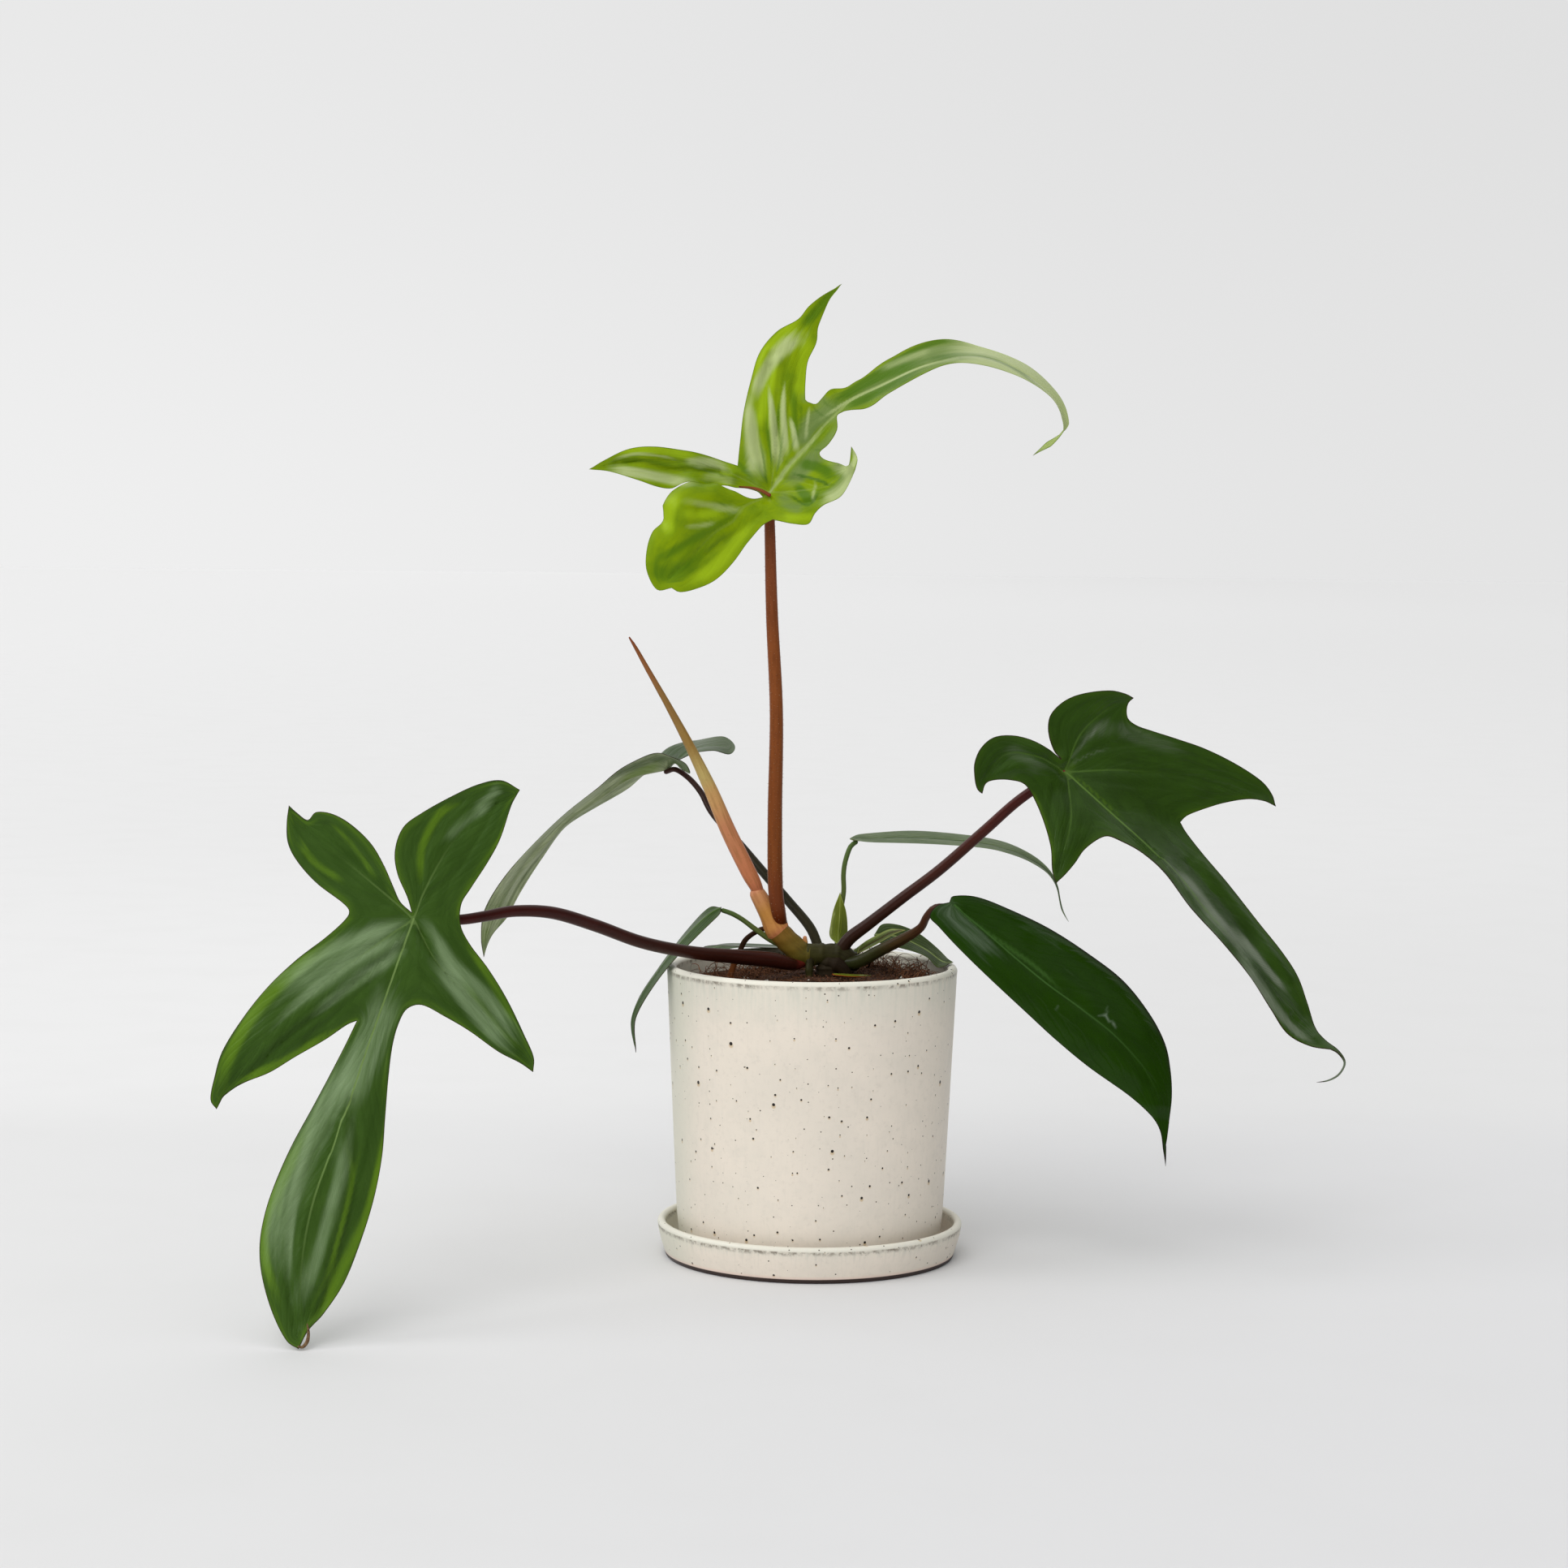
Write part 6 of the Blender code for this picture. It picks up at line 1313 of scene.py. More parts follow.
def soil_top():
    """The open ground that fibres and crumbs are strewn on, clear of the pot's wall."""
    rings, sides = 14, 48
    edge = pot_radius(SOIL_EDGE_Z) - POT_WALL - 7.0
    vertices = []
    for r in range(1, rings + 1):
        for i in range(sides):
            x = edge * r / rings * math.cos(2 * math.pi * i / sides)
            y = edge * r / rings * math.sin(2 * math.pi * i / sides)
            vertices.append((x * MM, y * MM, (soil_height(math.hypot(x, y)) + heaped(x, y)) * MM))
    faces = [((r - 1) * sides + i, r * sides + i, r * sides + (i + 1) % sides,
              (r - 1) * sides + (i + 1) % sides) for r in range(1, rings) for i in range(sides)]
    return mesh_object("soil_top", vertices, faces)


def scattered(name, ground, seed, spacing, shapes, sizes, lean, material, sunk):
    """Small pieces strewn over a ground by geometry nodes, as one plain mesh.

    spacing is the least distance between two of them, shapes the collection they are picked
    from, sizes the least and greatest scale, lean how far they tip over, in radians, and sunk
    how deep they lie in the ground.
    """
    amounts = {"Spacing": spacing * MM, "Density": 0.9 / (spacing * MM) ** 2,
               "Least size": sizes[0], "Greatest size": sizes[1], "Lean": lean,
               "Sunk": -sunk * MM}
    tree = bpy.data.node_groups.new(name + "_strewn", "GeometryNodeTree")
    tree.interface.new_socket("Ground", in_out="INPUT", socket_type="NodeSocketGeometry")
    for title in amounts:
        tree.interface.new_socket(title, in_out="INPUT", socket_type="NodeSocketFloat")
    tree.interface.new_socket("Pieces", in_out="OUTPUT", socket_type="NodeSocketGeometry")
    given = node(tree, "NodeGroupInput").outputs
    points = node(tree, "GeometryNodeDistributePointsOnFaces", {
        "Mesh": given["Ground"], "Distance Min": given["Spacing"],
        "Density Max": given["Density"], "Seed": seed}, distribute_method="POISSON")
    lowered = node(tree, "GeometryNodeSetPosition", {
        "Geometry": points.outputs["Points"], "Offset": node(tree, "ShaderNodeVectorMath", {
            0: points.outputs["Normal"], "Scale": given["Sunk"]}, operation="SCALE")})
    kinds = node(tree, "GeometryNodeCollectionInfo",
                 {"Collection": shapes, "Separate Children": True, "Reset Children": True})
    turn = node(tree, "FunctionNodeRandomValue", {0: (-1.0, -1.0, 0.0), 1: (1.0, 1.0, 6.283),
                                                  "Seed": seed + 1}, data_type="FLOAT_VECTOR")
    tilt = node(tree, "ShaderNodeVectorMath", {0: turn, 1: node(
        tree, "ShaderNodeCombineXYZ", {"X": given["Lean"], "Y": given["Lean"], "Z": 1.0})},
        operation="MULTIPLY")
    upright = node(tree, "FunctionNodeEulerToRotation", {"Euler": tilt})
    standing = node(tree, "FunctionNodeRotateRotation", {
        "Rotation": points.outputs["Rotation"], "Rotate By": upright}, rotation_space="LOCAL")
    size = node(tree, "FunctionNodeRandomValue", {
        2: given["Least size"], 3: given["Greatest size"], "Seed": seed + 2},
        data_type="FLOAT")
    placed = node(tree, "GeometryNodeInstanceOnPoints", {
        "Points": lowered, "Instance": kinds, "Pick Instance": True, "Rotation": standing,
        "Scale": size})
    real = node(tree, "GeometryNodeRealizeInstances", {"Geometry": placed})
    coloured = node(tree, "GeometryNodeSetMaterial", {"Geometry": real, "Material": material})
    node(tree, "NodeGroupOutput", {"Pieces": coloured})

    modifier = ground.modifiers.new("strewn", "NODES")
    modifier.node_group = tree
    keys = {item.name: item.identifier for item in tree.interface.items_tree
            if item.item_type == "SOCKET" and item.in_out == "INPUT"}
    for title, amount in amounts.items():
        modifier[keys[title]] = amount
    bpy.context.view_layer.update()
    shown = ground.evaluated_get(bpy.context.evaluated_depsgraph_get())
    mesh = bpy.data.meshes.new_from_object(shown)
    ground.modifiers.remove(modifier)
    mesh.name = name
    piece = bpy.data.objects.new(name, mesh)
    bpy.context.scene.collection.objects.link(piece)
    return piece


def shape_collection(name, meshes):
    """A collection of small shapes that the strewing picks from, kept out of the scene."""
    shapes = bpy.data.collections.new(name)
    for mesh in meshes:
        bpy.context.scene.collection.objects.unlink(mesh)
        shapes.objects.link(mesh)
    return shapes


def fibre(name, length, bend, curl):
    """One coir fibre: it lies in a low arch along +X and tapers, with three flat sides."""
    rows, width = 8, 0.26
    vertices = []
    for row in range(rows):
        t = row / (rows - 1)
        centre = Vector((t, curl * math.sin(3.4 * t), bend * math.sin(2.8 * t)))
        for turn in (0, 2.1, 4.2):
            side = Vector((0, math.cos(turn), math.sin(turn))) * width * (1 - 0.7 * t)
            vertices.append((centre * length + side) * MM)
    faces = [(3 * r + i, 3 * r + (i + 1) % 3, 3 * r + 3 + (i + 1) % 3, 3 * r + 3 + i)
             for r in range(rows - 1) for i in range(3)]
    last = 3 * (rows - 1)
    return mesh_object(name, vertices, faces + [(2, 1, 0), (last, last + 1, last + 2)])


def bristle(name, length, width):
    """One blunt bristle of a stalk's skin, standing along +Z."""
    vertices = [(width * math.cos(a) * MM, width * math.sin(a) * MM, -0.1 * MM)
                for a in (0, 2.1, 4.2)] + [(0.15 * length * MM, 0, length * MM)]
    return mesh_object(name, vertices, [(0, 2, 1), (0, 1, 3), (1, 2, 3), (2, 0, 3)])


def crumb(name, size, seed):
    """One lump of bark or perlite, an uneven ball."""
    sides, rings = 8, 5
    vertices = []
    for ring in range(1, rings):
        for i in range(sides):
            up = math.pi * ring / rings
            turn = 2 * math.pi * i / sides
            way = Vector((math.sin(up) * math.cos(turn), math.sin(up) * math.sin(turn),
                          math.cos(up)))
            reach = size * (1 + 0.5 * noise.noise(way * 2 + Vector((seed, 0, 0))))
            vertices.append(way * reach * MM)
    faces = [(r * sides + i, (r + 1) * sides + i, (r + 1) * sides + (i + 1) % sides,
              r * sides + (i + 1) % sides) for r in range(rings - 2) for i in range(sides)]
    top, bottom = len(vertices), len(vertices) + 1
    vertices += [Vector((0, 0, size * MM)), Vector((0, 0, -size * MM))]
    last = (rings - 2) * sides
    faces += [(top, i, (i + 1) % sides) for i in range(sides)]
    faces += [(bottom, last + (i + 1) % sides, last + i) for i in range(sides)]
    return mesh_object(name, vertices, faces)


def shown_as(piece, slot, *nodes, skin=None):
    """Puts a finished piece on the frame, in its skin and in the place of its CAD nodes."""
    if skin:
        piece.data.materials.append(skin)
    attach(piece, "root")
    if nodes:
        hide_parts(*nodes)


# Waxy leaf surfaces. Each gives its ground colour, its deep, lime and pale tones, and the
# colours of its ribs and margin. The pale tone is mostly painted sheen, the deep one partly
# painted shade.
# A soft new leaf: fresh lime and barely glossy, its sheen painted in its pale tone.
leaf_lime = leaf_material(
    "lime_leaf_skin", "#7A9204", "#466A0C", "#92AE14", "#B0BC84", "#8EA05C", "#667A1A",
    shaded="#6A7E4A", wine="#3E6216", rough=0.36, gloss=0.1, rib_fade=0.6, vein_tone=0.0,
    vein_depth=0.05, streaks=0.2, margin_lime=0.2, side_ribs=0.2)
# A grown leaf: mid green in long streaks, under a wide, soft sheen that is painted in its pale
# tone.
leaf_left = leaf_material(
    "mature_leaf_skin", "#344F17", "#28420C", "#5A7C16", "#80966E", "#667E44", "#2E2014",
    shaded="#46603A", rough=0.45, gloss=0.15, rib_width=0.65, rib_fade=1.0, vein_tone=0.12,
    vein_depth=0.1, streaks=0.45, margin_lime=0.4)
# A leathery leaf: dark green with a brown margin, and a narrower sheen on its folds, painted
# in its pale tone.
leaf_right = leaf_material(
    "dark_leaf_skin", "#2B4410", "#1F3407", "#44620F", "#747D6B", "#4E6A2A", "#2C1A12",
    shaded="#3C4A30", rough=0.32, gloss=0.18, rib_width=0.5, rib_fade=0.8, vein_tone=0.3,
    vein_depth=0.08, streaks=0.4, margin_lime=0.25)
# The oldest leaf: bottle green, smooth enough to mirror the bright backdrop; part of that
# reflection is painted in its pale tone.
leaf_lower = leaf_material(
    "darkest_leaf_skin", "#1B3504", "#142A03", "#3A5C24", "#7E8C7A", "#325020", "#1C0E12",
    wine="#1A0E14", rough=0.24, gloss=0.12, rib_width=0.6, rib_fade=0.95, vein_tone=0.15,
    vein_depth=0.08, streaks=0.25, margin_lime=0.1)
# Undersides are duller and greyer than what faces the light. The new leaf's is milky green.
under_lime = leaf_material(
    "lime_leaf_underside", "#86A04A", "#6A8A2C", "#98B04A", "#B0C084", "#C0C894", "#6A7A2C",
    rough=0.55, gloss=0.25, rib_width=1.6, rib_fade=1.2)
# A grown leaf's is a flat mid green with a broad pale midrib.
under_green = leaf_material(
    "green_leaf_underside", "#587444", "#37501F", "#6F8C4C", "#869C7C", "#8CA276", "#3A2E1E",
    rough=0.5, gloss=0.25, rib_width=1.3, rib_fade=1.2)
# The leaf behind shows a grey-green one, with darker stripes between its veins.
under_grey = leaf_material(
    "greyed_leaf_underside", "#A6B288", "#4A5E2C", "#748C40", "#A8B292", "#A0A88A", "#4A4A32",
    wine="#6A7A50", rough=0.5, gloss=0.15, rib_width=0.8, rib_fade=0.9, streaks=0.5)
# A small old leaf's is olive.
under_olive = leaf_material(
    "old_leaf_underside", "#3A4A20", "#2A3816", "#5E6E34", "#6A7850", "#7A8A50", "#4E5A2A",
    rough=0.45, gloss=0.3, rib_width=0.8, rib_fade=1.2)
# A narrow young leaf: greyish green and matt, with a dark midrib.
leaf_young = leaf_material(
    "pale_young_leaf_skin", "#5C6C46", "#46583A", "#7C8E4E", "#8C9878", "#34482E", "#7E8A70",
    rough=0.45, gloss=0.15, rib_width=0.9, rib_fade=1.6)
# A dry papery bract: yellow-green, its edge bleached.
sheath_skin = leaf_material(
    "papery_sheath_skin", "#66721E", "#4E5A14", "#848F30", "#9CA65E", "#8A9448", "#9AA45C",
    rough=0.5, gloss=0.2, rib_width=0.6, rib_fade=1.6)
# A stalk's fleshy wing: smooth olive with a pale edge.
sheath_dark = leaf_material(
    "olive_sheath_skin", "#4E5A26", "#36421A", "#6E7A38", "#7E8A4A", "#3E3A1A", "#8A8E50",
    rough=0.4, gloss=0.3, rib_width=1.2, rib_fade=1.6)
# An ageing leaf: yellowed, with a rust-red rim.
leaf_fallen = leaf_material(
    "ageing_leaf_skin", "#6E7A1E", "#565E18", "#8A7E22", "#8E8A3C", "#8E8636", "#9A3A1A",
    rough=0.45, gloss=0.25, rib_width=0.5)

# Stalk skins, from the stem out to the leaf: smooth, with a dull shine along the side that
# faces the light. The top leaf's is red-brown, and its bristles break the shine up.
skin_top = stalk_material("red_brown_stalk_skin", [
    (0, "#541806"), (0.04, "#5E220C"), (0.1, "#6C3416"), (0.2, "#743E1A"), (0.6, "#804620"),
    (0.9, "#7C4226"), (0.99, "#8A3028")], "#582C12", rough=0.38)
# Dark green at the foot, brown as it bends over.
skin_lower = stalk_material("winged_stalk_skin", [
    (0, "#1E2410"), (0.3, "#2E3016"), (0.5, "#3E2E18"), (0.75, "#46281A"), (1, "#3A2018")],
    "#1E180C", rough=0.35)
# Nearly black maroon, bright red where it leaves the stem.
skin_left = stalk_material("maroon_stalk_skin", [
    (0, "#4A1A12"), (0.012, "#74281C"), (0.03, "#5E2018"), (0.05, "#38160F"), (0.3, "#33150D"),
    (0.7, "#3A1410"), (1, "#461412")], "#200C06", rough=0.36)
# Dark brown that reddens to wine at the leaf.
skin_right = stalk_material("maroon_brown_stalk_skin", [
    (0, "#2A1C10"), (0.12, "#301A12"), (0.5, "#3E1C14"), (0.85, "#4E1C18"), (1, "#6E1E24")],
    "#24100C", rough=0.34)
# Blackish olive, browner at the leaf.
skin_back = stalk_material("dark_stalk_skin", [
    (0, "#2E2A18"), (0.3, "#262414"), (0.8, "#301C16"), (1, "#402420")], "#16140E", rough=0.4)
# The thin stalks' plain olive green.
skin_olive = stalk_material("olive_stalk_skin", [
    (0, "#5E5A28"), (0.4, "#55602E"), (1, "#4E6434")], "#3A4420", rough=0.42)
# The stem's dark green bark, with a pale dry ring at its end.
stem_bark = stalk_material("jointed_stem_bark", [
    (0, "#241E10"), (0.5, "#302E16"), (0.85, "#3A3818"), (0.93, "#8A865C"), (1, "#8A865C")],
    "#1C160C", rough=0.5)
# Its old wood at the soil, dull and almost black.
stem_foot_bark = stalk_material("woody_stem_foot", [
    (0, "#2A2416"), (0.5, "#241A10"), (1, "#2A1E12")], "#140E08", rough=0.7)
# Its rising end, green that ripens to ochre.
stem_green = stalk_material("rising_stem_skin", [
    (0, "#46441A"), (0.3, "#564C1A"), (0.5, "#6A561E"), (0.8, "#7A5A22"), (1, "#7E5C26")],
    "#4A3A16", rough=0.42)
# The newest segment: matt orange-tan.
skin_tip = stalk_material("new_growth_skin", [
    (0, "#C4744A"), (0.18, "#CC8456"), (0.3, "#BE8448"), (0.55, "#B88240"), (0.85, "#C0885A"),
    (1, "#C08464")], "#8E4A26", rough=0.45)
# The rolled leaf: copper, straw in the middle, with a faint shine.
skin_spike = stalk_material("rolled_leaf_skin", [
    (0, "#9A4E36"), (0.05, "#B46A48"), (0.1, "#C07650"), (0.28, "#BE7E58"), (0.4, "#C0945E"),
    (0.48, "#B6A062"), (0.6, "#94763E"), (0.76, "#8A6A3C"), (0.88, "#8A5834"), (1, "#7E4226")],
    "#80582A", rough=0.36)
# The root's dull cork, brighter where it nears the soil.
root_skin = stalk_material("aerial_root_skin", [
    (0, "#3A2416"), (0.4, "#2E1C10"), (0.7, "#7A4420"), (1, "#8E5426")], "#4A2E18", rough=0.7)

glaze_pot = glaze_material("pot_glaze", POT_RIM_Z, POT_FOOT - 3.0, 26)
glaze_saucer = glaze_material("saucer_glaze", SAUCER_HEIGHT, 0.0, 7)
# Coir-based mix, loose fibre, dried leaf and chipped bark: browns that don't shine.
coir = earth_material("potting_mix_coir", ("#402414", "#26140A", "#5E3A24"), 220.0)
fibre_brown = earth_material("coir_fibre", ("#643C26", "#3C2214", "#8A5C3C"), 300.0)
dried_brown = earth_material("dried_leaf_tip", ("#6A4E30", "#4A3420", "#7E6442"), 300.0, 0.7)
bark = earth_material("bark_chips", ("#3A2818", "#2A1C10", "#4E3622"), 260.0)
# Burnt glassy perlite reads as white grains, and the dry bristles as pale points.
perlite = earth_material("white_perlite", ("#E4E0D6", "#CFC9BC", "#F0ECE2"), 500.0)
bristle_pale = earth_material("stalk_bristle", ("#B89878", "#A08060", "#C8AC90"), 900.0)

# Blades.
bristles = shape_collection("bristle_shapes", [bristle("bristle", 0.55, 0.13)])
blades = {
    "top": (top_blade(), leaf_lime, under_lime, "leaf_lime"),
    "left": (Blade(LEFT_EDGE, LEFT_RIBS, 1, LEFT_FOLDS, LEFT_TONES), leaf_left, under_green,
             "leaf_deep_green"),
    "right": (Blade(RIGHT_EDGE, RIGHT_RIBS, 1, RIGHT_FOLDS, RIGHT_TONES), leaf_right, under_green,
              "leaf_deep_green"),
    "lower_right": (Blade(LOWER_EDGE, LOWER_RIBS, 1, LOWER_FOLDS, LOWER_TONES), leaf_lower,
                    under_green, "leaf_deep_green"),
    "back_left": (back_blade(), leaf_right, under_grey, "leaf_underside"),
    "small_left": (narrow_blade(*SMALL_LEFT, -1), leaf_right, under_green, "leaf_underside"),
    "back_right": (narrow_blade(*BACK_RIGHT), leaf_young, under_lime, "leaf_pale"),
    "rim_right": (narrow_blade(*RIM_RIGHT), under_olive, under_olive, "leaf_underside"),
    "rim_back": (narrow_blade(*RIM_BACK, -1), leaf_right, under_green, "leaf_underside"),
    "on_soil": (narrow_blade(*SOIL_LEAF, -1), leaf_fallen, leaf_fallen, "leaf_pale"),
}
for name, (blade, upper, under, slot) in blades.items():
    shown_as(blade.piece("leaf_" + name, upper, under), slot, "blade_" + name)

# Stalks start inside the stem and end a hair under their blades.
heels = {"top": ((-12.5, 155.5, 3.0), 2.4), "left": ((-3, 142.5, -0.5), 2.4),
         "lower_right": ((11.5, 143.5, 0), 2.8)}
stalks = {
    "top": (TOP_STALK, TOP_JUNCTION, -1, skin_top, "stalk_red_brown"),
    "left": (LEFT_STALK, LEFT_JUNCTION, -1, skin_left, "stalk_maroon"),
    "right": (RIGHT_STALK, RIGHT_JUNCTION, -1, skin_right, "stalk_maroon"),
    "lower_right": (LOWER_STALK, LOWER_JUNCTION, -1, skin_lower, "stalk_red_brown"),
    "back_left": (BACK_STALK, (2, 0), -1, skin_back, "stalk_maroon"),
    "small_left": (SMALL_LEFT_STALK, SMALL_LEFT[0], 1, skin_olive, "stalk_olive"),
    "back_right": (BACK_RIGHT_STALK, (21, 202.5), -1, skin_olive, "stalk_olive"),
    "rim_right": (RIM_RIGHT_STALK, (33, 156), -1, skin_olive, "stalk_olive"),
    "rim_back": (RIM_BACK_STALK, RIM_BACK[0], 1, skin_olive, "stalk_olive"),
}
for name, (path, spot, side, skin, slot) in stalks.items():
    radius = path[-1][1]
    end = blades[name][0].seat(spot[:2], side, BLADE_THICKNESS / 2 + radius + SEAT_GAP)
    heel = [heels[name]] if name in heels else []
    piece = tube("leafstalk_" + name, heel + path + [(end, radius * 0.95)])
    shown_as(piece, slot, "stalk_" + name, skin=skin)
    if name == "top":
        hairs = scattered("stalk_bristles", piece, 7, 1.5, bristles, (0.7, 1.3), 0.25,
                          bristle_pale, 0.0)
        shown_as(hairs, slot)

# At the top leaf's foot a red vein lies bare along the edge of the gap between two lobes.
vein = tube("bared_vein", [((-37, 369.4, -3.4), 0.35), ((-31, 368.9, -5.2), 0.6),
                           ((-26.5, 367.6, -7.0), 0.8), ((-22.8, 365.6, -8.0), 0.9)],
            sides=12, step=0.8)
shown_as(vein, "stalk_red_brown", skin=skin_top)

for name, outline, skin, tones in (
        ("back_right", SHEATH_BACK, sheath_skin,
         {"pale": [(0.8, 0.6, [(8.9, 152), (9.0, 160), (10.6, 168)])],
          "lime": [(0.7, 1.0, [(12.8, 163), (13.0, 170), (12.9, 175)])]}),
        ("lower_right", SHEATH_LOWER, sheath_dark,
         {"pale": [(0.9, 0.5, [(23.6, 150.6), (30.8, 155), (37.4, 158.2), (43, 158.6)])]})):
    piece = narrow_blade(*outline, tones=tones).piece("bract_" + name, skin, skin)
    shown_as(piece, "sheath", "sheath_" + name)


def joints(*places):
    """The stem's swellings: a ring stands out at each place, and it is drawn in on both sides."""
    def shape(run, turn):
        swell = sum(0.16 * math.exp(-((run - at) / 0.8) ** 2)
                    - 0.06 * math.exp(-((run - at) / 3.0) ** 2) for at in places)
        return 1 + swell + 0.02 * math.sin(2 * math.pi * turn * 3 + run)
    return shape


stub = [((-1.0, 143, -3.5), 2.0), ((-1.4, 138, -5.5), 1.9), ((-1.2, 131, -6.2), 1.5)]
knob = [((7, 142, -2.5), 3.2), ((12, 140.5, -4), 3.9), ((15.5, 137.5, -4), 3.4),
        ((16, 132, -4), 2.4)]
for name, path, rings, skin in (
        ("creeping_stem", STEM_CREEP, (5.0, 12.5, 20.0), stem_bark),
        ("root_stub", stub, (3.0, 7.5), stem_bark), ("stem_knob", knob, (4.0, 8.0), stem_foot_bark),
        ("stem_foot", STEM_FOOT, (9.0, 16.0), stem_foot_bark),
        ("stem_scar", STEM_SCAR, (), skin_tip), ("rising_stem", STEM_RISE, (6.5,), stem_green)):
    piece = tube(name, path, sides=28, step=0.8, shape=joints(*rings))
    shown_as(piece, "stem", "stem", skin=skin)


def rolled(run, turn):
    """The rolled leaf's outer edge: a low step that winds slowly round the roll."""
    return 1.02 - 0.13 * ((turn + 0.62 + run / 420) % 1)


for name, path, skin, slot, stands_for in (
        ("new_segment", TIP_SEGMENT, skin_tip, "new_growth", "stem_tip"),
        ("rolled_new_leaf", NEW_LEAF, skin_spike, "new_growth", "new_leaf"),
        ("thick_aerial_root", AERIAL_ROOT, root_skin, "root", "aerial_root")):
    piece = tube(name, path, sides=36, shape=rolled if stands_for == "new_leaf" else None)
    shown_as(piece, slot, stands_for, skin=skin)

# The left leaf's tip has dried and curled up.
tip_curl = tube("dried_leaf_tip", [
    ((-247.5, -48.6, -207.5), 0.4), ((-245.4, -48.8, -206.6), 0.7), ((-243.2, -46, -205), 0.8),
    ((-242.6, -41.5, -204), 0.6), ((-243.2, -37.5, -204), 0.25)], sides=10, step=0.6)
shown_as(tip_curl, "leaf_deep_green", skin=dried_brown)

shown_as(build_pot(), "glazed_stoneware", "pot", skin=glaze_pot)
shown_as(build_saucer(), "glazed_stoneware", "saucer", skin=glaze_saucer)
shown_as(build_soil(), "potting_mix", "soil", skin=coir)
top_of_soil = soil_top()
fibres = shape_collection("fibre_shapes", [fibre(f"fibre_{i}", length, bend, curl)
                          for i, (length, bend, curl) in enumerate((
                              (9, 0.4, 0.1), (6, 0.3, 0.2), (13, 0.45, 0.15), (5, 0.4, 0.3),
                              (10, 0.5, -0.25)))])
for name, seed, spacing, shapes, sizes, lean, skin, sunk in (
        ("loose_fibres", 11, 1.5, fibres, (0.6, 1.3), 0.6, fibre_brown, 0.3),
        ("bark_bits", 23, 7.0, shape_collection("bark_shapes", [
            crumb("chip_a", 1.8, 2), crumb("chip_b", 1.3, 9)]), (0.5, 1.4), 3.0, bark, 0.2),
        ("perlite_bits", 31, 17.0, shape_collection("perlite_shapes", [
            crumb("grain_a", 1.0, 4), crumb("grain_b", 0.8, 6)]), (0.6, 1.3), 3.0, perlite,
         -0.3)):
    strewn = scattered(name, top_of_soil, seed, spacing, shapes, sizes, lean, skin, sunk)
    inside = (pot_radius(SOIL_EDGE_Z) - POT_WALL - 0.6) * MM
    for vertex in strewn.data.vertices:       # what would reach the wall is bent in along it
        radius = math.hypot(vertex.co.x, vertex.co.y)
        if radius > inside:
            vertex.co.x *= inside / radius
            vertex.co.y *= inside / radius
        at = vertex.co / MM                   # and what lies round the stem is pressed down
        if math.hypot(at.x - CLEARING[0], at.y - CLEARING[1]) < CLEARING[2]:
            vertex.co.z = min(at.z, soil_height(math.hypot(at.x, at.y)) + heaped(at.x, at.y)
                              + 1.0) * MM
    shown_as(strewn, "potting_mix")
bpy.data.objects.remove(top_of_soil)

# The stage: a pale floor that runs on into a pale backdrop, brighter towards the window side.
# On the floor that brightness is painted light in the paper's colour.
floor = mesh_object("studio_floor", [(-40, -40, 0), (40, -40, 0), (40, 40, 0), (-40, 40, 0)],
                    [(0, 1, 2, 3)])
paper, tree = new_material("studio_floor_paper")
spot = node(tree, "ShaderNodeTexCoord").outputs["Object"]
floor_x, floor_y, _ = node(tree, "ShaderNodeSeparateXYZ", {"Vector": spot}).outputs
# Painted light falloff: it darkens to the right, away from the window, over a longer way the
# farther off it lies.
painted_falloff = faded(tree, (floor_x, -0.5, 0.35))
near_floor = painted(tree, "#DDDDDD", [(painted_falloff, "#D5D5D6")])
for start, end, left, right in ((0.8, 2.5, -3.0, 3.0), (8.0, 18.0, -4.5, 5.8)):
    painted_falloff = node(tree, "ShaderNodeMix", {0: faded(tree, (floor_y, start, end)), 2: painted_falloff,
                                            3: faded(tree, (floor_x, left, right))})
swept = painted(tree, "#E3E3E3", [(painted_falloff, "#D9D9D9")])
clouding = node(tree, "ShaderNodeTexNoise", {"Vector": spot, "Scale": 14.0, "Detail": 2.0})
# Farther off the paper is painted lighter too, painted light that runs it on into the backdrop; its
# faint darker clouds are the paper's own.
tone = painted(tree, near_floor, [(faded(tree, (floor_y, 0.26, 0.5)), swept),
                                  (faded(tree, (clouding, 0.4, 0.8), high=0.06), "#C9C8C6")])
tooth = node(tree, "ShaderNodeTexNoise", {"Vector": spot, "Scale": 900.0, "Detail": 2.0})
closed_by(tree, tone, 0.85, node(tree, "ShaderNodeBump", {
    "Height": tooth, "Strength": 0.08, "Distance": 0.0002}))
floor.data.materials.append(paper)

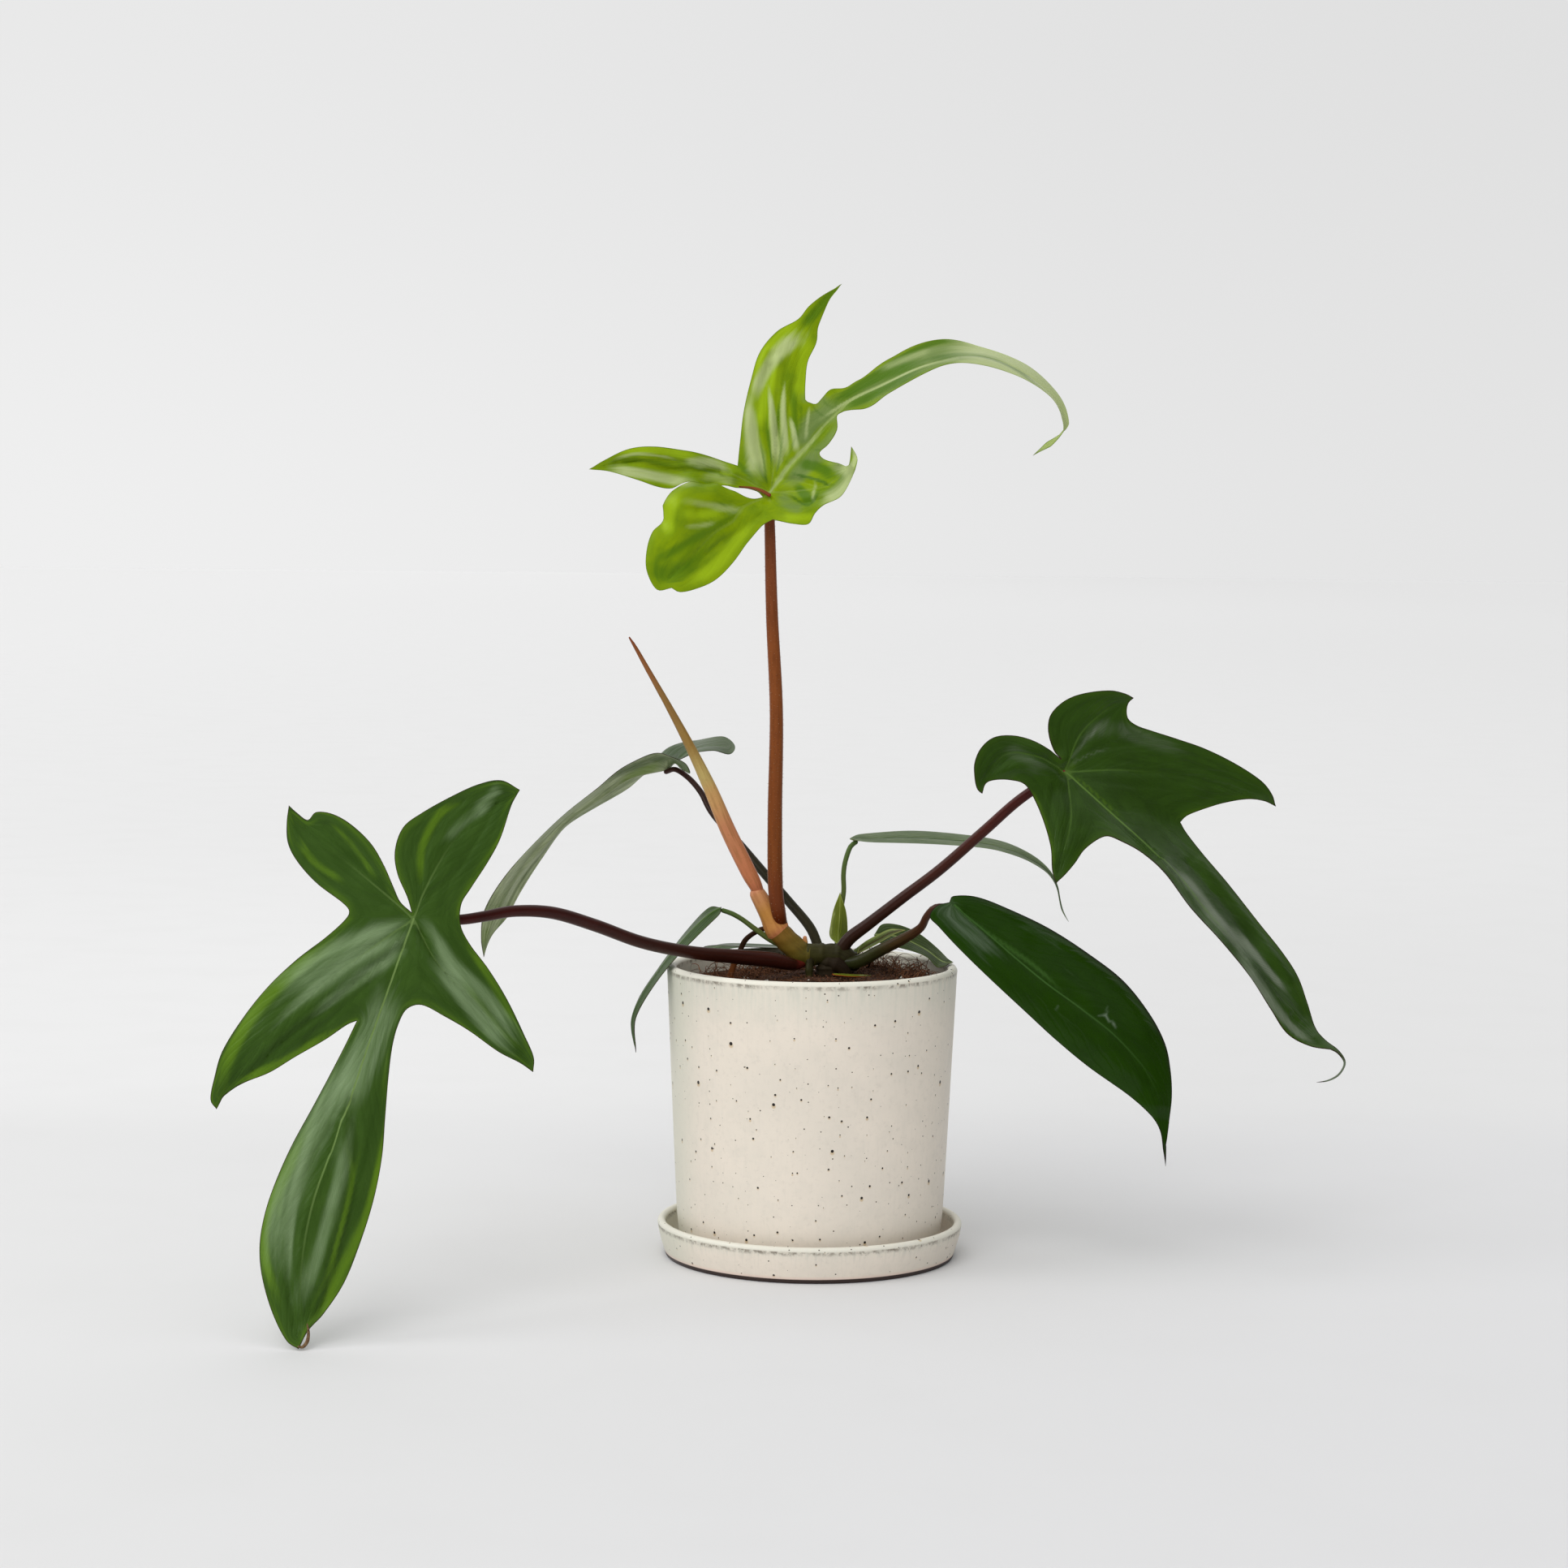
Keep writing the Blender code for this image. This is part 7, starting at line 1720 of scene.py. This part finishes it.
# The room: a pale wall behind, a little duller to the right and towards the ceiling.
world = bpy.data.worlds.new("studio")
bpy.context.scene.world = world
world.use_nodes = True
tree = world.node_tree
tree.nodes.clear()
way = node(tree, "ShaderNodeSeparateXYZ", {
    "Vector": node(tree, "ShaderNodeTexCoord").outputs["Generated"]}).outputs
wall = painted(tree, "#EFEFEF", [
    (faded(tree, (way["X"], -0.25, 0.25)), "#E4E4E4"),
    (faded(tree, (way["Z"], 0.0, 0.16), high=0.22), "#D2D2D2"),
    (faded(tree, (way["Y"], 0.3, -0.6), high=0.8), "#C4C4C4"),
    (faded(tree, (node(tree, "ShaderNodeMath", {0: way["X"]}, operation="ABSOLUTE"),
                  0.35, 0.85), high=0.9), "#9E9E9E"),
    (faded(tree, (way["X"], 0.45, 0.95), high=0.6), "#6A6A6A"),
    (faded(tree, (way["Z"], 0.3, 0.9)), "#F8F8F8")])
# What the leaves mirror is the dim room in front, below a bright ceiling, and a tall window.
mirrored = painted(tree, wall, [
    (faded(tree, (way["Y"], 0.35, 0.0), high=0.97), "#303030"),
    (faded(tree, (way["Z"], 0.55, 0.95), high=0.8), "#D8D8D8"),
    (faded(tree, (way["X"], -0.45, -0.75), (way["Z"], 0.25, 0.5)), (2.6, 2.6, 2.6, 1.0))])
seen = painted(tree, wall, [(node(tree, "ShaderNodeLightPath").outputs["Is Glossy Ray"],
                             mirrored)])
node(tree, "ShaderNodeOutputWorld", {
    "Surface": node(tree, "ShaderNodeBackground", {"Color": seen, "Strength": 1.0})})


def lamp(name, towards, strength, angle, mirrored=True):
    """Light from far off in one direction, its softness the lamp's width in degrees."""
    light = bpy.data.lights.new(name, "SUN")
    light.energy = strength
    light.angle = math.radians(angle)
    made = bpy.data.objects.new(name, light)
    made.rotation_euler = Vector(towards).to_track_quat("-Z", "Y").to_euler()
    made.visible_glossy = mirrored
    bpy.context.scene.collection.objects.link(made)


lamp("window_light", (0.95, 0.3, -0.75), 0.55, 30)
lamp("front_light", (0.3, 0.85, -0.7), 1.3, 45, mirrored=False)

camera = bpy.data.cameras.new("camera")
camera.sensor_width = 36
camera.lens = LENS
camera.clip_start = 0.05
camera.clip_end = 120
viewpoint = bpy.data.objects.new("camera", camera)
viewpoint.matrix_world = (Matrix.Translation(Vector(SIGHT) * MM)
                          @ Matrix.Rotation(math.radians(90 - LOOK_DOWN), 4, "X")
                          @ Matrix.Rotation(math.radians(ROLL), 4, "Z"))
bpy.context.scene.collection.objects.link(viewpoint)
bpy.context.scene.camera = viewpoint
bpy.context.scene.view_settings.view_transform = "Standard"
